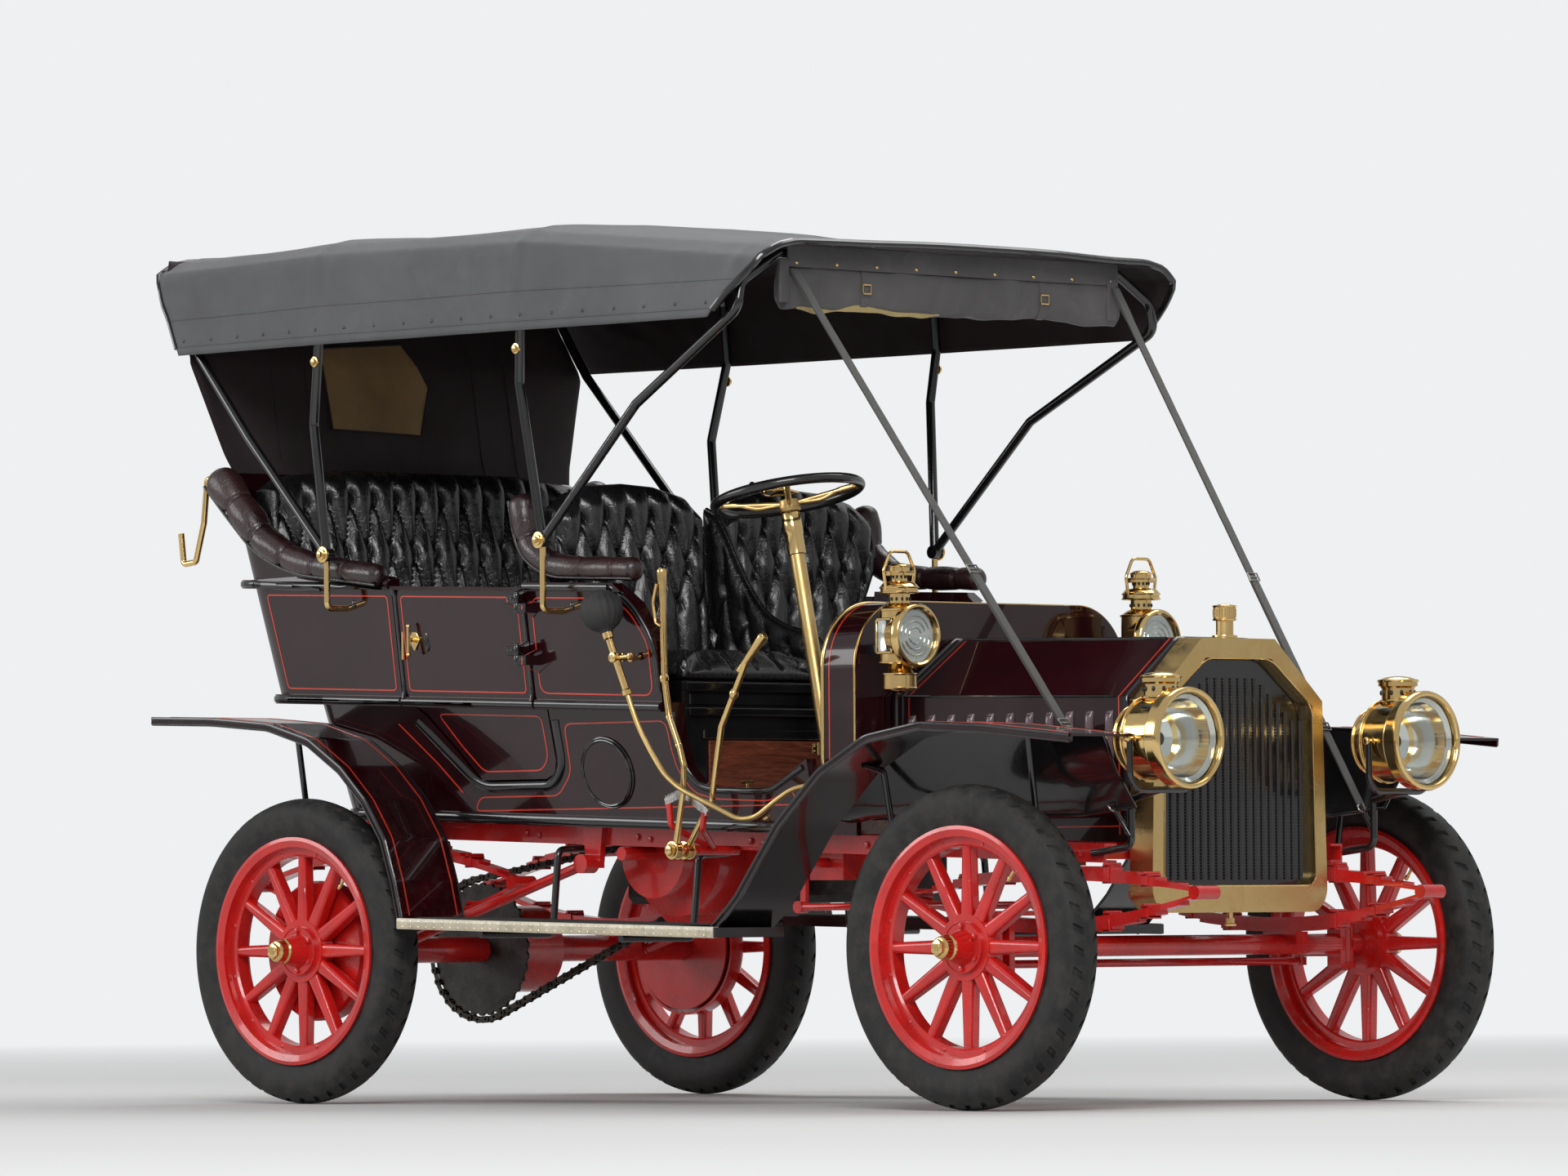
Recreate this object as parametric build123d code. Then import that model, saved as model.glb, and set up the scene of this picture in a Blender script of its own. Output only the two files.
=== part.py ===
from build123d import *
import math
import os

# A brass era touring car with a two-cylinder engine under the floor and one driving chain.
# Sizes are in millimetres. X runs forward from the front axle, Y to the car's left
# and Z up from the ground. Everything is moved to the middle of its plan at the end.

# Wheels and tyres
WHEELBASE = 2337.0
TRACK = 1422.0
TYRE_RADIUS = 387.5
TYRE_WIDTH = 106.0
RIM_RADIUS = 289.0
RIM_HALF_WIDTH = 50.0
RIM_SEAT_RADIUS = 268.0
FELLOE_OUTER = 262.0
FELLOE_INNER = 240.0
FELLOE_HALF_WIDTH = 24.0
SPOKES = 12
SPOKE_AT_HUB = (37.0, 42.0)
NAVE_RADIUS = 80.0
SPOKE_AT_FELLOE = (26.0, 38.0)
HUB_FLANGE_RADIUS = 62.0
HUB_FLANGE = 9.0
HUB_RADIUS = 40.0
HUB_INNER = 45.0
HUB_OUTER = 78.0
CAP_RADIUS = 27.0
CAP_OUTER = 116.0
SPINDLE_RADIUS = 17.0
SPINDLE_REACH = 72.0
RUNNING_GAP = 0.05
DRUM_RADIUS = 178.0
DRUM_WIDTH = 46.0
REAR_AXLE_X = -WHEELBASE

# The body, the frame and the top sit a little nose down on their springs
RAKE_DEG = 2.05
RAKE = math.tan(math.radians(RAKE_DEG))
LEVEL_X = -1450.0

# Frame
RAIL_OUTER = 425.0
RAIL_WIDTH = 42.0
RAIL_DEPTH = 46.0
RAIL_WALL = 6.0
RAIL_TOP = 690.0
FRAME_FRONT = 170.0
FRAME_REAR = -2550.0
CROSS_DEPTH = 38.0
CROSS_STATIONS = (-2520.0, -2120.0, -1010.0, -560.0, 115.0)
CROSS_WIDTH = 44.0

# Springs, full elliptic, one over each end of each axle
SPRING_Y = 404.0
SPRING_WIDTH = 42.0
SPRING_HALF = 472.0
LEAF = 7.0
LEAVES = 5
EYE_RADIUS = 17.0
EYE_LENGTH = 76.0
FRONT_EYE_Z = 513.0
REAR_EYE_Z = 556.0

# Axles and steering
FRONT_TUBE = 25.0
KINGPIN_Y = 628.0
KINGPIN_RADIUS = 11.0
KINGPIN_BOSS = 20.0
KINGPIN_HALF = 66.0
YOKE_OPEN = 46.0
YOKE_EAR = 14.0
YOKE_BACK = 34.0
TIE_ARM = 150.0
TIE_PIN_Z = -24.0
TIE_ROD = 10.0
DRAG_ARM = 150.0
DRAG_PIN_Z = 86.0
DRAG_ROD = 9.0
PITMAN_LENGTH = 108.0
PITMAN_X = -800.0
REAR_TUBE = 34.0
DIFF_RADIUS = 112.0
DIFF_Y = (-80.0, 115.0)
CHAIN_Y = -95.0
CHAIN_WIDTH = 24.0
CHAIN_THICK = 20.0
REAR_SPROCKET = 172.0
FRONT_SPROCKET = 62.0
SPROCKET_WIDTH = 9.0

# Engine, flywheel and two-speed drums on one cross shaft
CRANK_X = -1450.0
CRANK_Z = 625.0
ENGINE_SPAN = (-1880.0, -1032.3)
ENGINE_Y = (-30.0, 300.0)
ENGINE_Z = (500.0, 668.0)
CRANK_STEPS = (
    # outer_radius, y_start, y_end
    (30.0, -138.0, -30.3),
    (212.0, -175.0, -138.0),
    (158.0, -262.0, -175.0),
    (112.0, -345.0, -262.0),
    (17.0, -455.0, -345.0),
)

# Body
BODY_REAR = -2430.0
BODY_FRONT = -720.0
SILL_HALF = 492.0
LEDGE_RISE = 304.0
LEDGE_THICK = 24.0
LEDGE_HALF = 560.0
UPPER_REAR = -2605.0
UPPER_HALF = 600.0
SHOULDER_REAR = -2738.0
SHOULDER_HALF = 690.0
SHOULDER_RISE = 970.0
BELT_RISE = 597.0
BELT_HALF = 648.0
MOULD = 12.0
WALL = 32.0
QUARTER_FRONT = -1150.0
DOOR_REAR = -2088.0
DOOR_FRONT = -1602.0
DOOR_GAP = 5.0
HINGE_Y = 665.0
HINGE_BARREL = 7.0
HINGES = ((1250.0, 628.0), (1120.0, 610.0))
FLOOR_THICK = 22.0
FLOOR_JOINTS = (-2450.0, -1688.0, -1110.0, -600.0)
FLYWHEEL_COVER = (-1680.0, -1591.0)
FLYWHEEL_Y = (-284.0, -104.0)
ARM_ROLL = 36.0

# Scuttle, hood and radiator
DASH_X = -600.0
COWL_HALF = 482.0
COWL_TOP = 1232.0
COWL_ROUND = 165.0
COWL_WALL = 16.0
HOOD_REAR = -599.7
HOOD_WALL = 10.0
RADIATOR_FRONT = 221.0
RADIATOR_REAR = 146.0
SHELL_WALL = 40.0
CORE_TUBES = 19

# Fenders and boards
FENDER_OUTER = 765.0
FENDER_WIDTH = 212.0
FENDER_PLATE = 6.0
FENDER_LIP = 20.0
BOARD_REAR = -1900.0
BOARD_FRONT = -770.0
BOARD_THICK = 24.0
BOARD_OUTER = 800.0
BOARD_WIDTH = 235.0
MAT_THICK = 3.0

# Lamps
HEADLAMP_PLACE = (426.0, 425.0, 878.0)
HEADLAMP_RIM = 120.0
SIDELAMP_PLACE = (-452.0, 432.0, 1143.0)
SIDELAMP_RIM = 78.0

# Top
TOP_FRONT = -655.0
TOP_REAR = -2920.0
REAR_HEM = -2775.0
TOP_HALF = 779.0
VALANCE_Z = 1922.0
TOP_SKIN = 9.0
CURTAIN_X = (-758.0, -712.0)
BOW_RADIUS = 12.0
BOW_LIFT = 0.2
FRONT_BOW = (-735.0, 2082.0)
FRONT_PIVOT = (-1470.0, 700.0, 1403.0)
REAR_PIVOT = (-2262.0, 700.0, 1392.0)

# Driver's controls
COLUMN_Y = -300.0
COLUMN_FOOT = (-820.0, COLUMN_Y, 626.0)
COLUMN_HEAD = (-1000.0, COLUMN_Y, 1466.0)
COLUMN_RADIUS = 19.0
WHEEL_RADIUS = 182.0
WHEEL_RIM = 12.0
LEVER_PIVOT = (-1070.0, -540.0, 629.0)

SEAT_GAP = 0.3

# From the front axle to the middle of the plan
REST_REAR = -2930.0
REST_RADIUS = 8.0
PLAN_CENTRE = -(SPRING_HALF + EYE_RADIUS + REST_REAR - REST_RADIUS) / 2


def fall(x):
    """How far the raked body line stands above its middle height at a station."""
    return -RAKE * (x - LEVEL_X)


def block(x0, x1, y0, y1, z0, z1):
    """A box between two corners."""
    size = Box(x1 - x0, y1 - y0, z1 - z0)
    return Pos((x0 + x1) / 2, (y0 + y1) / 2, (z0 + z1) / 2) * size


def plate(points, y0, y1):
    """A flat piece drawn in side view as (x, z) points, from y0 to y1."""
    outline = Polyline(*[(x, y0, z) for x, z in points], close=True)
    return extrude(make_face(outline), amount=y1 - y0, dir=(0, 1, 0))


def round_plate(points, radius, y0, y1):
    """As plate, with every corner rounded."""
    outline = FilletPolyline(*[(x, y0, z) for x, z in points], radius=radius, close=True)
    return extrude(make_face(outline), amount=y1 - y0, dir=(0, 1, 0))


def cross_plate(points, x0, x1):
    """A flat piece drawn from the front as (y, z) points, from x0 to x1."""
    outline = Polyline(*[(x0, y, z) for y, z in points], close=True)
    return extrude(make_face(outline), amount=x1 - x0, dir=(1, 0, 0))


def bar(start, end, radius):
    """A round bar between two points."""
    reach = Vector(*end) - Vector(*start)
    place = Plane(origin=start, z_dir=reach)
    return Solid.make_cylinder(radius, reach.length, place)


def bent_bar(points, radius, bend):
    """A round bar along straight runs joined by tangent bends."""
    path = FilletPolyline(*points, radius=bend) if len(points) > 2 else Line(*points)
    section = Plane(origin=path @ 0, z_dir=path % 0) * Circle(radius)
    return sweep(section, path=path)


def bent_strip(points, width, thick, bend):
    """A flat strip bent along a side-view path, its width across the car."""
    path = FilletPolyline(*points, radius=bend)
    start = Plane(origin=path @ 0, x_dir=(0, 1, 0), z_dir=path % 0)
    return sweep(start * Rectangle(width, thick), path=path)


def turned(profile):
    """A ring or disc from (radius, along) points, turned about the Y axis."""
    return revolve(make_face(Polyline(*profile, close=True)), Axis.Y)


def other_side(piece):
    """The same piece on the car's other side."""
    return mirror(piece, about=Plane.XZ)


def together(*pieces):
    """Several separate pieces as one node."""
    return Compound([solid for piece in pieces for solid in piece.solids()])


def both_sides(piece):
    """A piece and its mirror image, as one node of two solids."""
    return together(piece, other_side(piece))


def tub(levels, corner, inset):
    """A flared body shell as a solid, from (x_rear, x_front, half_width, height) levels."""
    slices = []
    for rear, front, half, rise in levels:
        middle = (rear + front) / 2
        lean = math.radians(RAKE_DEG)
        place = Plane(
            origin=(middle, 0, RAIL_TOP + rise + fall(middle)),
            x_dir=(math.cos(lean), 0, -math.sin(lean)),
            z_dir=(math.sin(lean), 0, math.cos(lean)),
        )
        slices.append(place * RectangleRounded(front - rear - 2 * inset, 2 * (half - inset), corner - inset))
    return loft(slices, ruled=True)


# Wheels. Each is drawn about the Y axis at the origin, its outer side towards +Y.

def spoke():
    """One tapered wooden spoke, standing on the hub and let into the felloe."""
    foot = Plane(origin=(0, 0, NAVE_RADIUS - 5)) * RectangleRounded(SPOKE_AT_HUB[0], SPOKE_AT_HUB[1] - 4, 11)
    head = Plane(origin=(0, 0, FELLOE_INNER + 3)) * RectangleRounded(*SPOKE_AT_FELLOE, 11)
    return loft([foot, head], ruled=True)


def hub():
    """The turned hub with its bolted flange, bored for the spindle."""
    half = SPOKE_AT_HUB[1] / 2
    profile = [
        (SPINDLE_RADIUS + RUNNING_GAP, -HUB_INNER),
        (HUB_RADIUS - 5, -HUB_INNER),
        (HUB_RADIUS - 5, -half - HUB_FLANGE),
        (HUB_FLANGE_RADIUS, -half - HUB_FLANGE),
        (HUB_FLANGE_RADIUS, -half),
        (NAVE_RADIUS, -half),
        (NAVE_RADIUS, half),
        (HUB_FLANGE_RADIUS, half),
        (HUB_FLANGE_RADIUS, half + HUB_FLANGE),
        (HUB_RADIUS + 4, half + HUB_FLANGE),
        (CAP_RADIUS + 3, HUB_OUTER),
        (SPINDLE_RADIUS + RUNNING_GAP, HUB_OUTER),
    ]
    return turned(profile)


def rim():
    """The wooden felloe under a steel rim with turned-up edges."""
    profile = [
        (FELLOE_INNER, -FELLOE_HALF_WIDTH + 5),
        (FELLOE_INNER, FELLOE_HALF_WIDTH - 5),
        (FELLOE_INNER + 5, FELLOE_HALF_WIDTH),
        (FELLOE_OUTER, FELLOE_HALF_WIDTH),
        (FELLOE_OUTER + 2, RIM_HALF_WIDTH - 6),
        (RIM_RADIUS - 9, RIM_HALF_WIDTH),
        (RIM_RADIUS, RIM_HALF_WIDTH - 2),
        (RIM_RADIUS, RIM_HALF_WIDTH - 9),
        (RIM_SEAT_RADIUS, RIM_HALF_WIDTH - 9),
        (RIM_SEAT_RADIUS, -RIM_HALF_WIDTH + 9),
        (RIM_RADIUS, -RIM_HALF_WIDTH + 9),
        (RIM_RADIUS, -RIM_HALF_WIDTH + 2),
        (RIM_RADIUS - 9, -RIM_HALF_WIDTH),
        (FELLOE_OUTER + 2, -RIM_HALF_WIDTH + 6),
        (FELLOE_OUTER, -FELLOE_HALF_WIDTH),
        (FELLOE_INNER + 5, -FELLOE_HALF_WIDTH),
    ]
    return turned(profile)


def brake_drum():
    """The drum on the inner side of a driven wheel, open towards the car."""
    start = -SPOKE_AT_HUB[1] / 2 - HUB_FLANGE
    end = start - DRUM_WIDTH
    profile = [
        (HUB_FLANGE_RADIUS - 6, start + 3),
        (DRUM_RADIUS - 6, start + 3),
        (DRUM_RADIUS, start - 6),
        (DRUM_RADIUS, end),
        (DRUM_RADIUS - 7, end),
        (DRUM_RADIUS - 7, start - 7),
        (HUB_FLANGE_RADIUS - 6, start - 7),
    ]
    return turned(profile)


def wheel(driven):
    """A wooden wheel with its rim, and its brake drum where it is driven."""
    spokes = [Rot(0, index * 360 / SPOKES, 0) * spoke() for index in range(SPOKES)]
    whole = rim() + [hub(), hub_cap(), *spokes]
    if driven:
        whole += brake_drum()
    return whole


def tyre():
    """A closed ring tyre seated between the rim's edges."""
    bead = RIM_HALF_WIDTH - 9 - SEAT_GAP
    inner = RIM_SEAT_RADIUS + SEAT_GAP
    top = RIM_RADIUS + 4
    middle = (RIM_RADIUS + TYRE_RADIUS) / 2
    half = TYRE_WIDTH / 2
    tread = 34.0
    right = ThreePointArc((top, bead), (middle, half), (TYRE_RADIUS - 9, tread))
    crown = ThreePointArc((TYRE_RADIUS - 9, tread), (TYRE_RADIUS, 0), (TYRE_RADIUS - 9, -tread))
    left = ThreePointArc((TYRE_RADIUS - 9, -tread), (middle, -half), (top, -bead))
    seat = Polyline((top, -bead), (inner, -bead), (inner, bead), (top, bead))
    return revolve(make_face([*right.edges(), *crown.edges(), *left.edges(), *seat.edges()]), Axis.Y)


def hub_cap():
    """The brass cap over the hub's end, with a six-sided end."""
    skirt = turned([
        (0, HUB_OUTER - 2),
        (CAP_RADIUS, HUB_OUTER - 2),
        (CAP_RADIUS, CAP_OUTER - 14),
        (CAP_RADIUS - 4, CAP_OUTER - 10),
        (0, CAP_OUTER - 10),
    ])
    place = Plane(origin=(0, CAP_OUTER - 10, 0), z_dir=(0, 1, 0))
    return skirt + extrude(place * RegularPolygon(CAP_RADIUS - 8, 6), amount=10)


def at_corner(piece, axle_x, side):
    """A wheel piece at one corner of the car, its outer side outwards."""
    if side < 0:
        piece = other_side(piece)
    return Pos(axle_x, side * TRACK / 2, TYRE_RADIUS) * piece


# Springs and axles

def leaf(middle_x, end_z, crown_z, half, offset, share, y):
    """One curved leaf: an arc strip centred on the spring, share of the full length."""
    rise = crown_z - end_z
    radius = (half * half + rise * rise) / (2 * abs(rise))
    up = 1 if rise > 0 else -1
    centre_z = crown_z - up * radius
    reach = math.asin(half / radius) * share
    inner, outer = radius + offset, radius + offset + LEAF

    def on_arc(size, angle):
        return (middle_x + size * math.sin(angle), y, centre_z + up * size * math.cos(angle))

    edges = [
        ThreePointArc(on_arc(inner, -reach), on_arc(inner, 0), on_arc(inner, reach)),
        Line(on_arc(inner, reach), on_arc(outer, reach)),
        ThreePointArc(on_arc(outer, reach), on_arc(outer, 0), on_arc(outer, -reach)),
        Line(on_arc(outer, -reach), on_arc(inner, -reach)),
    ]
    return extrude(make_face(edges), amount=SPRING_WIDTH, dir=(0, 1, 0))


def elliptic_spring(middle_x, eye_z, top_z, seat_z):
    """Two packs of leaves, joined by rollers at their ends."""
    low_y = SPRING_Y - SPRING_WIDTH / 2
    pack = LEAF * LEAVES
    whole = None
    for crown in (top_z - pack, seat_z + pack):
        for index in range(LEAVES):
            share = 1.0 - 0.15 * index
            piece = leaf(middle_x, eye_z, crown, SPRING_HALF, index * LEAF, share, low_y)
            whole = piece if whole is None else whole + piece
    for end in (-1, 1):
        x = middle_x + end * SPRING_HALF
        whole += bar((x, SPRING_Y - EYE_LENGTH / 2, eye_z), (x, SPRING_Y + EYE_LENGTH / 2, eye_z), EYE_RADIUS)
    return whole


def spring_top(x):
    """The height of the frame's underside, where a spring's crown seats."""
    return RAIL_TOP + fall(x) - RAIL_DEPTH


def front_springs():
    spring = elliptic_spring(0, FRONT_EYE_Z, spring_top(0) - 12, TYRE_RADIUS + FRONT_TUBE + 6)
    return both_sides(spring)


def rear_springs():
    top = spring_top(REAR_AXLE_X) - 12
    spring = elliptic_spring(REAR_AXLE_X, REAR_EYE_Z, top, TYRE_RADIUS + REAR_TUBE + 8)
    return both_sides(spring)


def axle_seat(x, tube, lift):
    """A saddle on the axle that a spring stands on."""
    low_y = SPRING_Y - SPRING_WIDTH / 2
    return block(x - 55, x + 55, low_y, low_y + SPRING_WIDTH, TYRE_RADIUS, TYRE_RADIUS + tube + lift)


def front_axle():
    """The tube between two yokes that hold the kingpins."""
    z = TYRE_RADIUS
    back = KINGPIN_Y - YOKE_BACK - 6
    inner = KINGPIN_Y - KINGPIN_BOSS - 8
    whole = bar((0, -back, z), (0, back, z), FRONT_TUBE)
    ear_low, ear_high = YOKE_OPEN, YOKE_OPEN + YOKE_EAR
    yoke = block(-22, 22, back - 6, inner, z - ear_high, z + ear_high)
    for up in (-1, 1):
        low, high = sorted((z + up * ear_low, z + up * ear_high))
        yoke += block(-22, 22, back, KINGPIN_Y, low, high)
        yoke += Pos(0, KINGPIN_Y, (low + high) / 2) * Cylinder(22, YOKE_EAR)
    yoke -= Pos(0, KINGPIN_Y, z) * Cylinder(KINGPIN_RADIUS + RUNNING_GAP, 3 * ear_high)
    seat = axle_seat(0, FRONT_TUBE, 6)
    whole += yoke + other_side(yoke) + seat + other_side(seat)
    return whole


def knuckle():
    """The left knuckle: kingpin, spindle and the arm for the tie rod."""
    z = TYRE_RADIUS
    pin = Pos(0, KINGPIN_Y, z) * Cylinder(KINGPIN_RADIUS, 2 * KINGPIN_HALF)
    boss = Pos(0, KINGPIN_Y, z) * Cylinder(KINGPIN_BOSS, 2 * (YOKE_OPEN - 0.5))
    reach = TRACK / 2 + SPINDLE_REACH
    spindle = bar((0, KINGPIN_Y, z), (0, reach, z), SPINDLE_RADIUS)
    collar = bar((0, KINGPIN_Y, z), (0, TRACK / 2 - HUB_INNER - 1, z), SPINDLE_RADIUS + 8)
    arm_z = z + TIE_PIN_Z
    arm = block(-TIE_ARM, -6, KINGPIN_Y - 8, KINGPIN_Y + 8, arm_z - 7, arm_z + 7)
    arm += Pos(-TIE_ARM, KINGPIN_Y, arm_z) * Cylinder(15, 14)
    arm -= Pos(-TIE_ARM, KINGPIN_Y, arm_z) * Cylinder(7 + RUNNING_GAP, 40)
    return pin + boss + spindle + collar + arm


def knuckle_right():
    """The right knuckle also carries the ball arm that the drag link pulls."""
    z = TYRE_RADIUS
    whole = other_side(knuckle())
    high = z + YOKE_OPEN + YOKE_EAR
    top = z + DRAG_PIN_Z
    whole += Pos(0, -KINGPIN_Y, (high + 1 + top) / 2) * Cylinder(17, top - high - 1)
    whole += block(-9, 9, -KINGPIN_Y, -KINGPIN_Y + DRAG_ARM, top - 12, top)
    whole += Pos(0, -KINGPIN_Y + DRAG_ARM, top - 6) * Cylinder(14, 12)
    whole += Pos(0, -KINGPIN_Y + DRAG_ARM, top + 8) * Cylinder(6, 18)
    return whole


def tie_rod():
    """The rod behind the axle that joins the two knuckle arms."""
    z = TYRE_RADIUS + TIE_PIN_Z - 18
    whole = bar((-TIE_ARM, -KINGPIN_Y, z), (-TIE_ARM, KINGPIN_Y, z), TIE_ROD)
    for side in (-1, 1):
        whole += Pos(-TIE_ARM, side * KINGPIN_Y, z) * Cylinder(14, 21)
        whole += Pos(-TIE_ARM, side * KINGPIN_Y, z + 16) * Cylinder(7, 20)
    return whole


def drag_link():
    """The fore and aft rod from the steering gear to the right knuckle."""
    z = TYRE_RADIUS + DRAG_PIN_Z + 14
    y = -KINGPIN_Y + DRAG_ARM
    eye = Pos(0, y, z) * Cylinder(14, 24) - Pos(0, y, z) * Cylinder(6 + RUNNING_GAP, 40)
    rod = bar((-9, y, z), (PITMAN_X + 8, y, z), DRAG_ROD)
    return eye + rod + bar((PITMAN_X, y - 10, z), (PITMAN_X, y + 9.5, z), 15)


def pitman_top():
    """The height of the cross shaft that swings the drop arm."""
    return TYRE_RADIUS + DRAG_PIN_Z + 14 + PITMAN_LENGTH


def pitman_arm():
    """The drop arm on the steering gear's cross shaft."""
    y = -KINGPIN_Y + DRAG_ARM + 10
    top = pitman_top()
    whole = block(PITMAN_X - 9, PITMAN_X + 9, y, y + 12, top - PITMAN_LENGTH, top)
    whole += bar((PITMAN_X, y, top - PITMAN_LENGTH), (PITMAN_X, y + 12, top - PITMAN_LENGTH), 14)
    whole += bar((PITMAN_X, y, top), (PITMAN_X, y + 12, top), 17)
    return whole


def steering_gear():
    """The gear case inside the right frame rail, and the column up to the wheel."""
    top = pitman_top()
    gear_y = -RAIL_OUTER + RAIL_WIDTH
    case = block(PITMAN_X - 60, PITMAN_X + 55, gear_y + 1, COLUMN_Y + 40, top - 42, top + 45)
    shaft = bar((PITMAN_X, -KINGPIN_Y + DRAG_ARM + 22 + SEAT_GAP, top), (PITMAN_X, gear_y + 5, top), 12)
    column = bar(COLUMN_FOOT, COLUMN_HEAD, COLUMN_RADIUS)
    lower_end = Vector(*COLUMN_FOOT) - (Vector(*COLUMN_HEAD) - Vector(*COLUMN_FOOT)).normalized() * SEAT_GAP
    socket = bar(lower_end, COLUMN_HEAD, COLUMN_RADIUS + SEAT_GAP)
    return case + shaft - socket, column


def steering_wheel():
    """The rim, four curved arms and the boss, square to the column."""
    up = (Vector(*COLUMN_HEAD) - Vector(*COLUMN_FOOT)).normalized()
    place = Plane(origin=COLUMN_HEAD, z_dir=up, x_dir=(up.Z, 0, -up.X))
    lift = 42.0
    rim_ring = Pos(0, 0, lift) * Torus(WHEEL_RADIUS, WHEEL_RIM)
    boss = Pos(0, 0, 1 + 14) * Cylinder(24, 28)
    arms = None
    for index in range(4):
        arm = Rot(0, 0, 45 + 90 * index) * bar((10, 0, 20), (WHEEL_RADIUS, 0, lift), 6.5)
        arms = arm if arms is None else arms + arm
    return place * (rim_ring + arms + boss)


def rear_axle():
    """The axle tubes, the differential case and the spring saddles."""
    z = TYRE_RADIUS
    reach = TRACK / 2 - HUB_INNER - 2
    whole = bar((REAR_AXLE_X, -reach, z), (REAR_AXLE_X, reach, z), REAR_TUBE)
    case = bar((REAR_AXLE_X, DIFF_Y[0], z), (REAR_AXLE_X, DIFF_Y[1], z), DIFF_RADIUS)
    whole += chamfer(case.edges().filter_by(GeomType.CIRCLE), 26)
    for side in (-1, 1):
        inner = TRACK / 2 - HUB_INNER - 2
        whole += bar((REAR_AXLE_X, side * inner, z), (REAR_AXLE_X, side * (TRACK / 2 + SPINDLE_REACH), z), SPINDLE_RADIUS)
        backing = SPOKE_AT_HUB[1] / 2 + HUB_FLANGE + DRUM_WIDTH + 2
        edge = TRACK / 2 - backing
        whole += bar((REAR_AXLE_X, side * edge, z), (REAR_AXLE_X, side * (edge - 6), z), DRUM_RADIUS - 14)
    seat = axle_seat(REAR_AXLE_X, REAR_TUBE, 8)
    whole += seat + other_side(seat)
    return whole


def radius_rods():
    """The two rods that hold the rear axle off the frame, with their frame brackets."""
    front_x = -1565.0
    rear_x = REAR_AXLE_X + 40
    rod_y = RAIL_OUTER + 40.0
    hang = spring_top(front_x)
    rod = bar((rear_x, rod_y, TYRE_RADIUS), (front_x, rod_y, 601), 13)
    eye = bar((front_x, rod_y - 22, 601), (front_x, rod_y + 22, 601), 24)
    lug = bar((REAR_AXLE_X + 40 + 1, rod_y, TYRE_RADIUS), (REAR_AXLE_X + REAR_TUBE + 1, rod_y, TYRE_RADIUS), 16)
    bracket = plate([(front_x - 35, hang + 44), (front_x + 35, hang + 44), (front_x + 24, 601), (front_x - 24, 601)],
                    RAIL_OUTER + SEAT_GAP, RAIL_OUTER + 18)
    bracket += block(front_x - 24, front_x + 24, RAIL_OUTER + SEAT_GAP, rod_y - 22, 590, 612)
    return both_sides(rod + eye + lug + bracket)


def toothed_wheel(radius, teeth, tooth):
    """A sprocket blank with plain wedge teeth, about the Y axis."""
    points = []
    for index in range(teeth):
        for step, size in ((0.0, radius - tooth), (0.3, radius), (0.5, radius), (0.8, radius - tooth)):
            angle = 2 * math.pi * (index + step) / teeth
            points.append((size * math.cos(angle), size * math.sin(angle)))
    return plate(points, -SPROCKET_WIDTH / 2, SPROCKET_WIDTH / 2)


def chain_run(thick_in, thick_out, width):
    """The closed loop of the chain round both sprockets, as a band."""
    x1, z1, r1 = REAR_AXLE_X, TYRE_RADIUS, REAR_SPROCKET
    x2, z2, r2 = CRANK_X, CRANK_Z, FRONT_SPROCKET
    span = math.hypot(x2 - x1, z2 - z1)
    tilt = math.atan2(z2 - z1, x2 - x1)
    lean = math.acos((r1 - r2) / span)

    def outline(extra):
        def at(x, z, r, angle):
            return (x + (r + extra) * math.cos(angle), CHAIN_Y - width / 2, z + (r + extra) * math.sin(angle))

        upper_rear = at(x1, z1, r1, tilt + lean)
        rear_mid = at(x1, z1, r1, tilt + math.pi)
        lower_rear = at(x1, z1, r1, tilt - lean)
        upper_front = at(x2, z2, r2, tilt + lean)
        front_mid = at(x2, z2, r2, tilt)
        lower_front = at(x2, z2, r2, tilt - lean)
        return make_face([
            ThreePointArc(upper_rear, rear_mid, lower_rear),
            Line(lower_rear, lower_front),
            ThreePointArc(lower_front, front_mid, upper_front),
            Line(upper_front, upper_rear),
        ])

    ring = extrude(outline(thick_out), amount=width, dir=(0, 1, 0))
    return ring - extrude(outline(-thick_in), amount=width, dir=(0, 1, 0))


def chain():
    """The driving chain."""
    return chain_run(-SEAT_GAP, CHAIN_THICK, CHAIN_WIDTH)


def sprockets():
    """The large sprocket on the differential and the small one on the cross shaft."""
    z = TYRE_RADIUS
    rear = Pos(REAR_AXLE_X, CHAIN_Y, z) * toothed_wheel(REAR_SPROCKET, 34, 6)
    rear -= bar((REAR_AXLE_X, CHAIN_Y - 20, z), (REAR_AXLE_X, CHAIN_Y + 20, z), REAR_TUBE + SEAT_GAP)
    front = Pos(CRANK_X, CHAIN_Y, CRANK_Z) * toothed_wheel(FRONT_SPROCKET, 12, 6)
    front -= bar((CRANK_X, CHAIN_Y - 20, CRANK_Z), (CRANK_X, CHAIN_Y + 20, CRANK_Z), CRANK_STEPS[0][0] + SEAT_GAP)
    return together(rear, front)


# Frame and machinery

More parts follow.
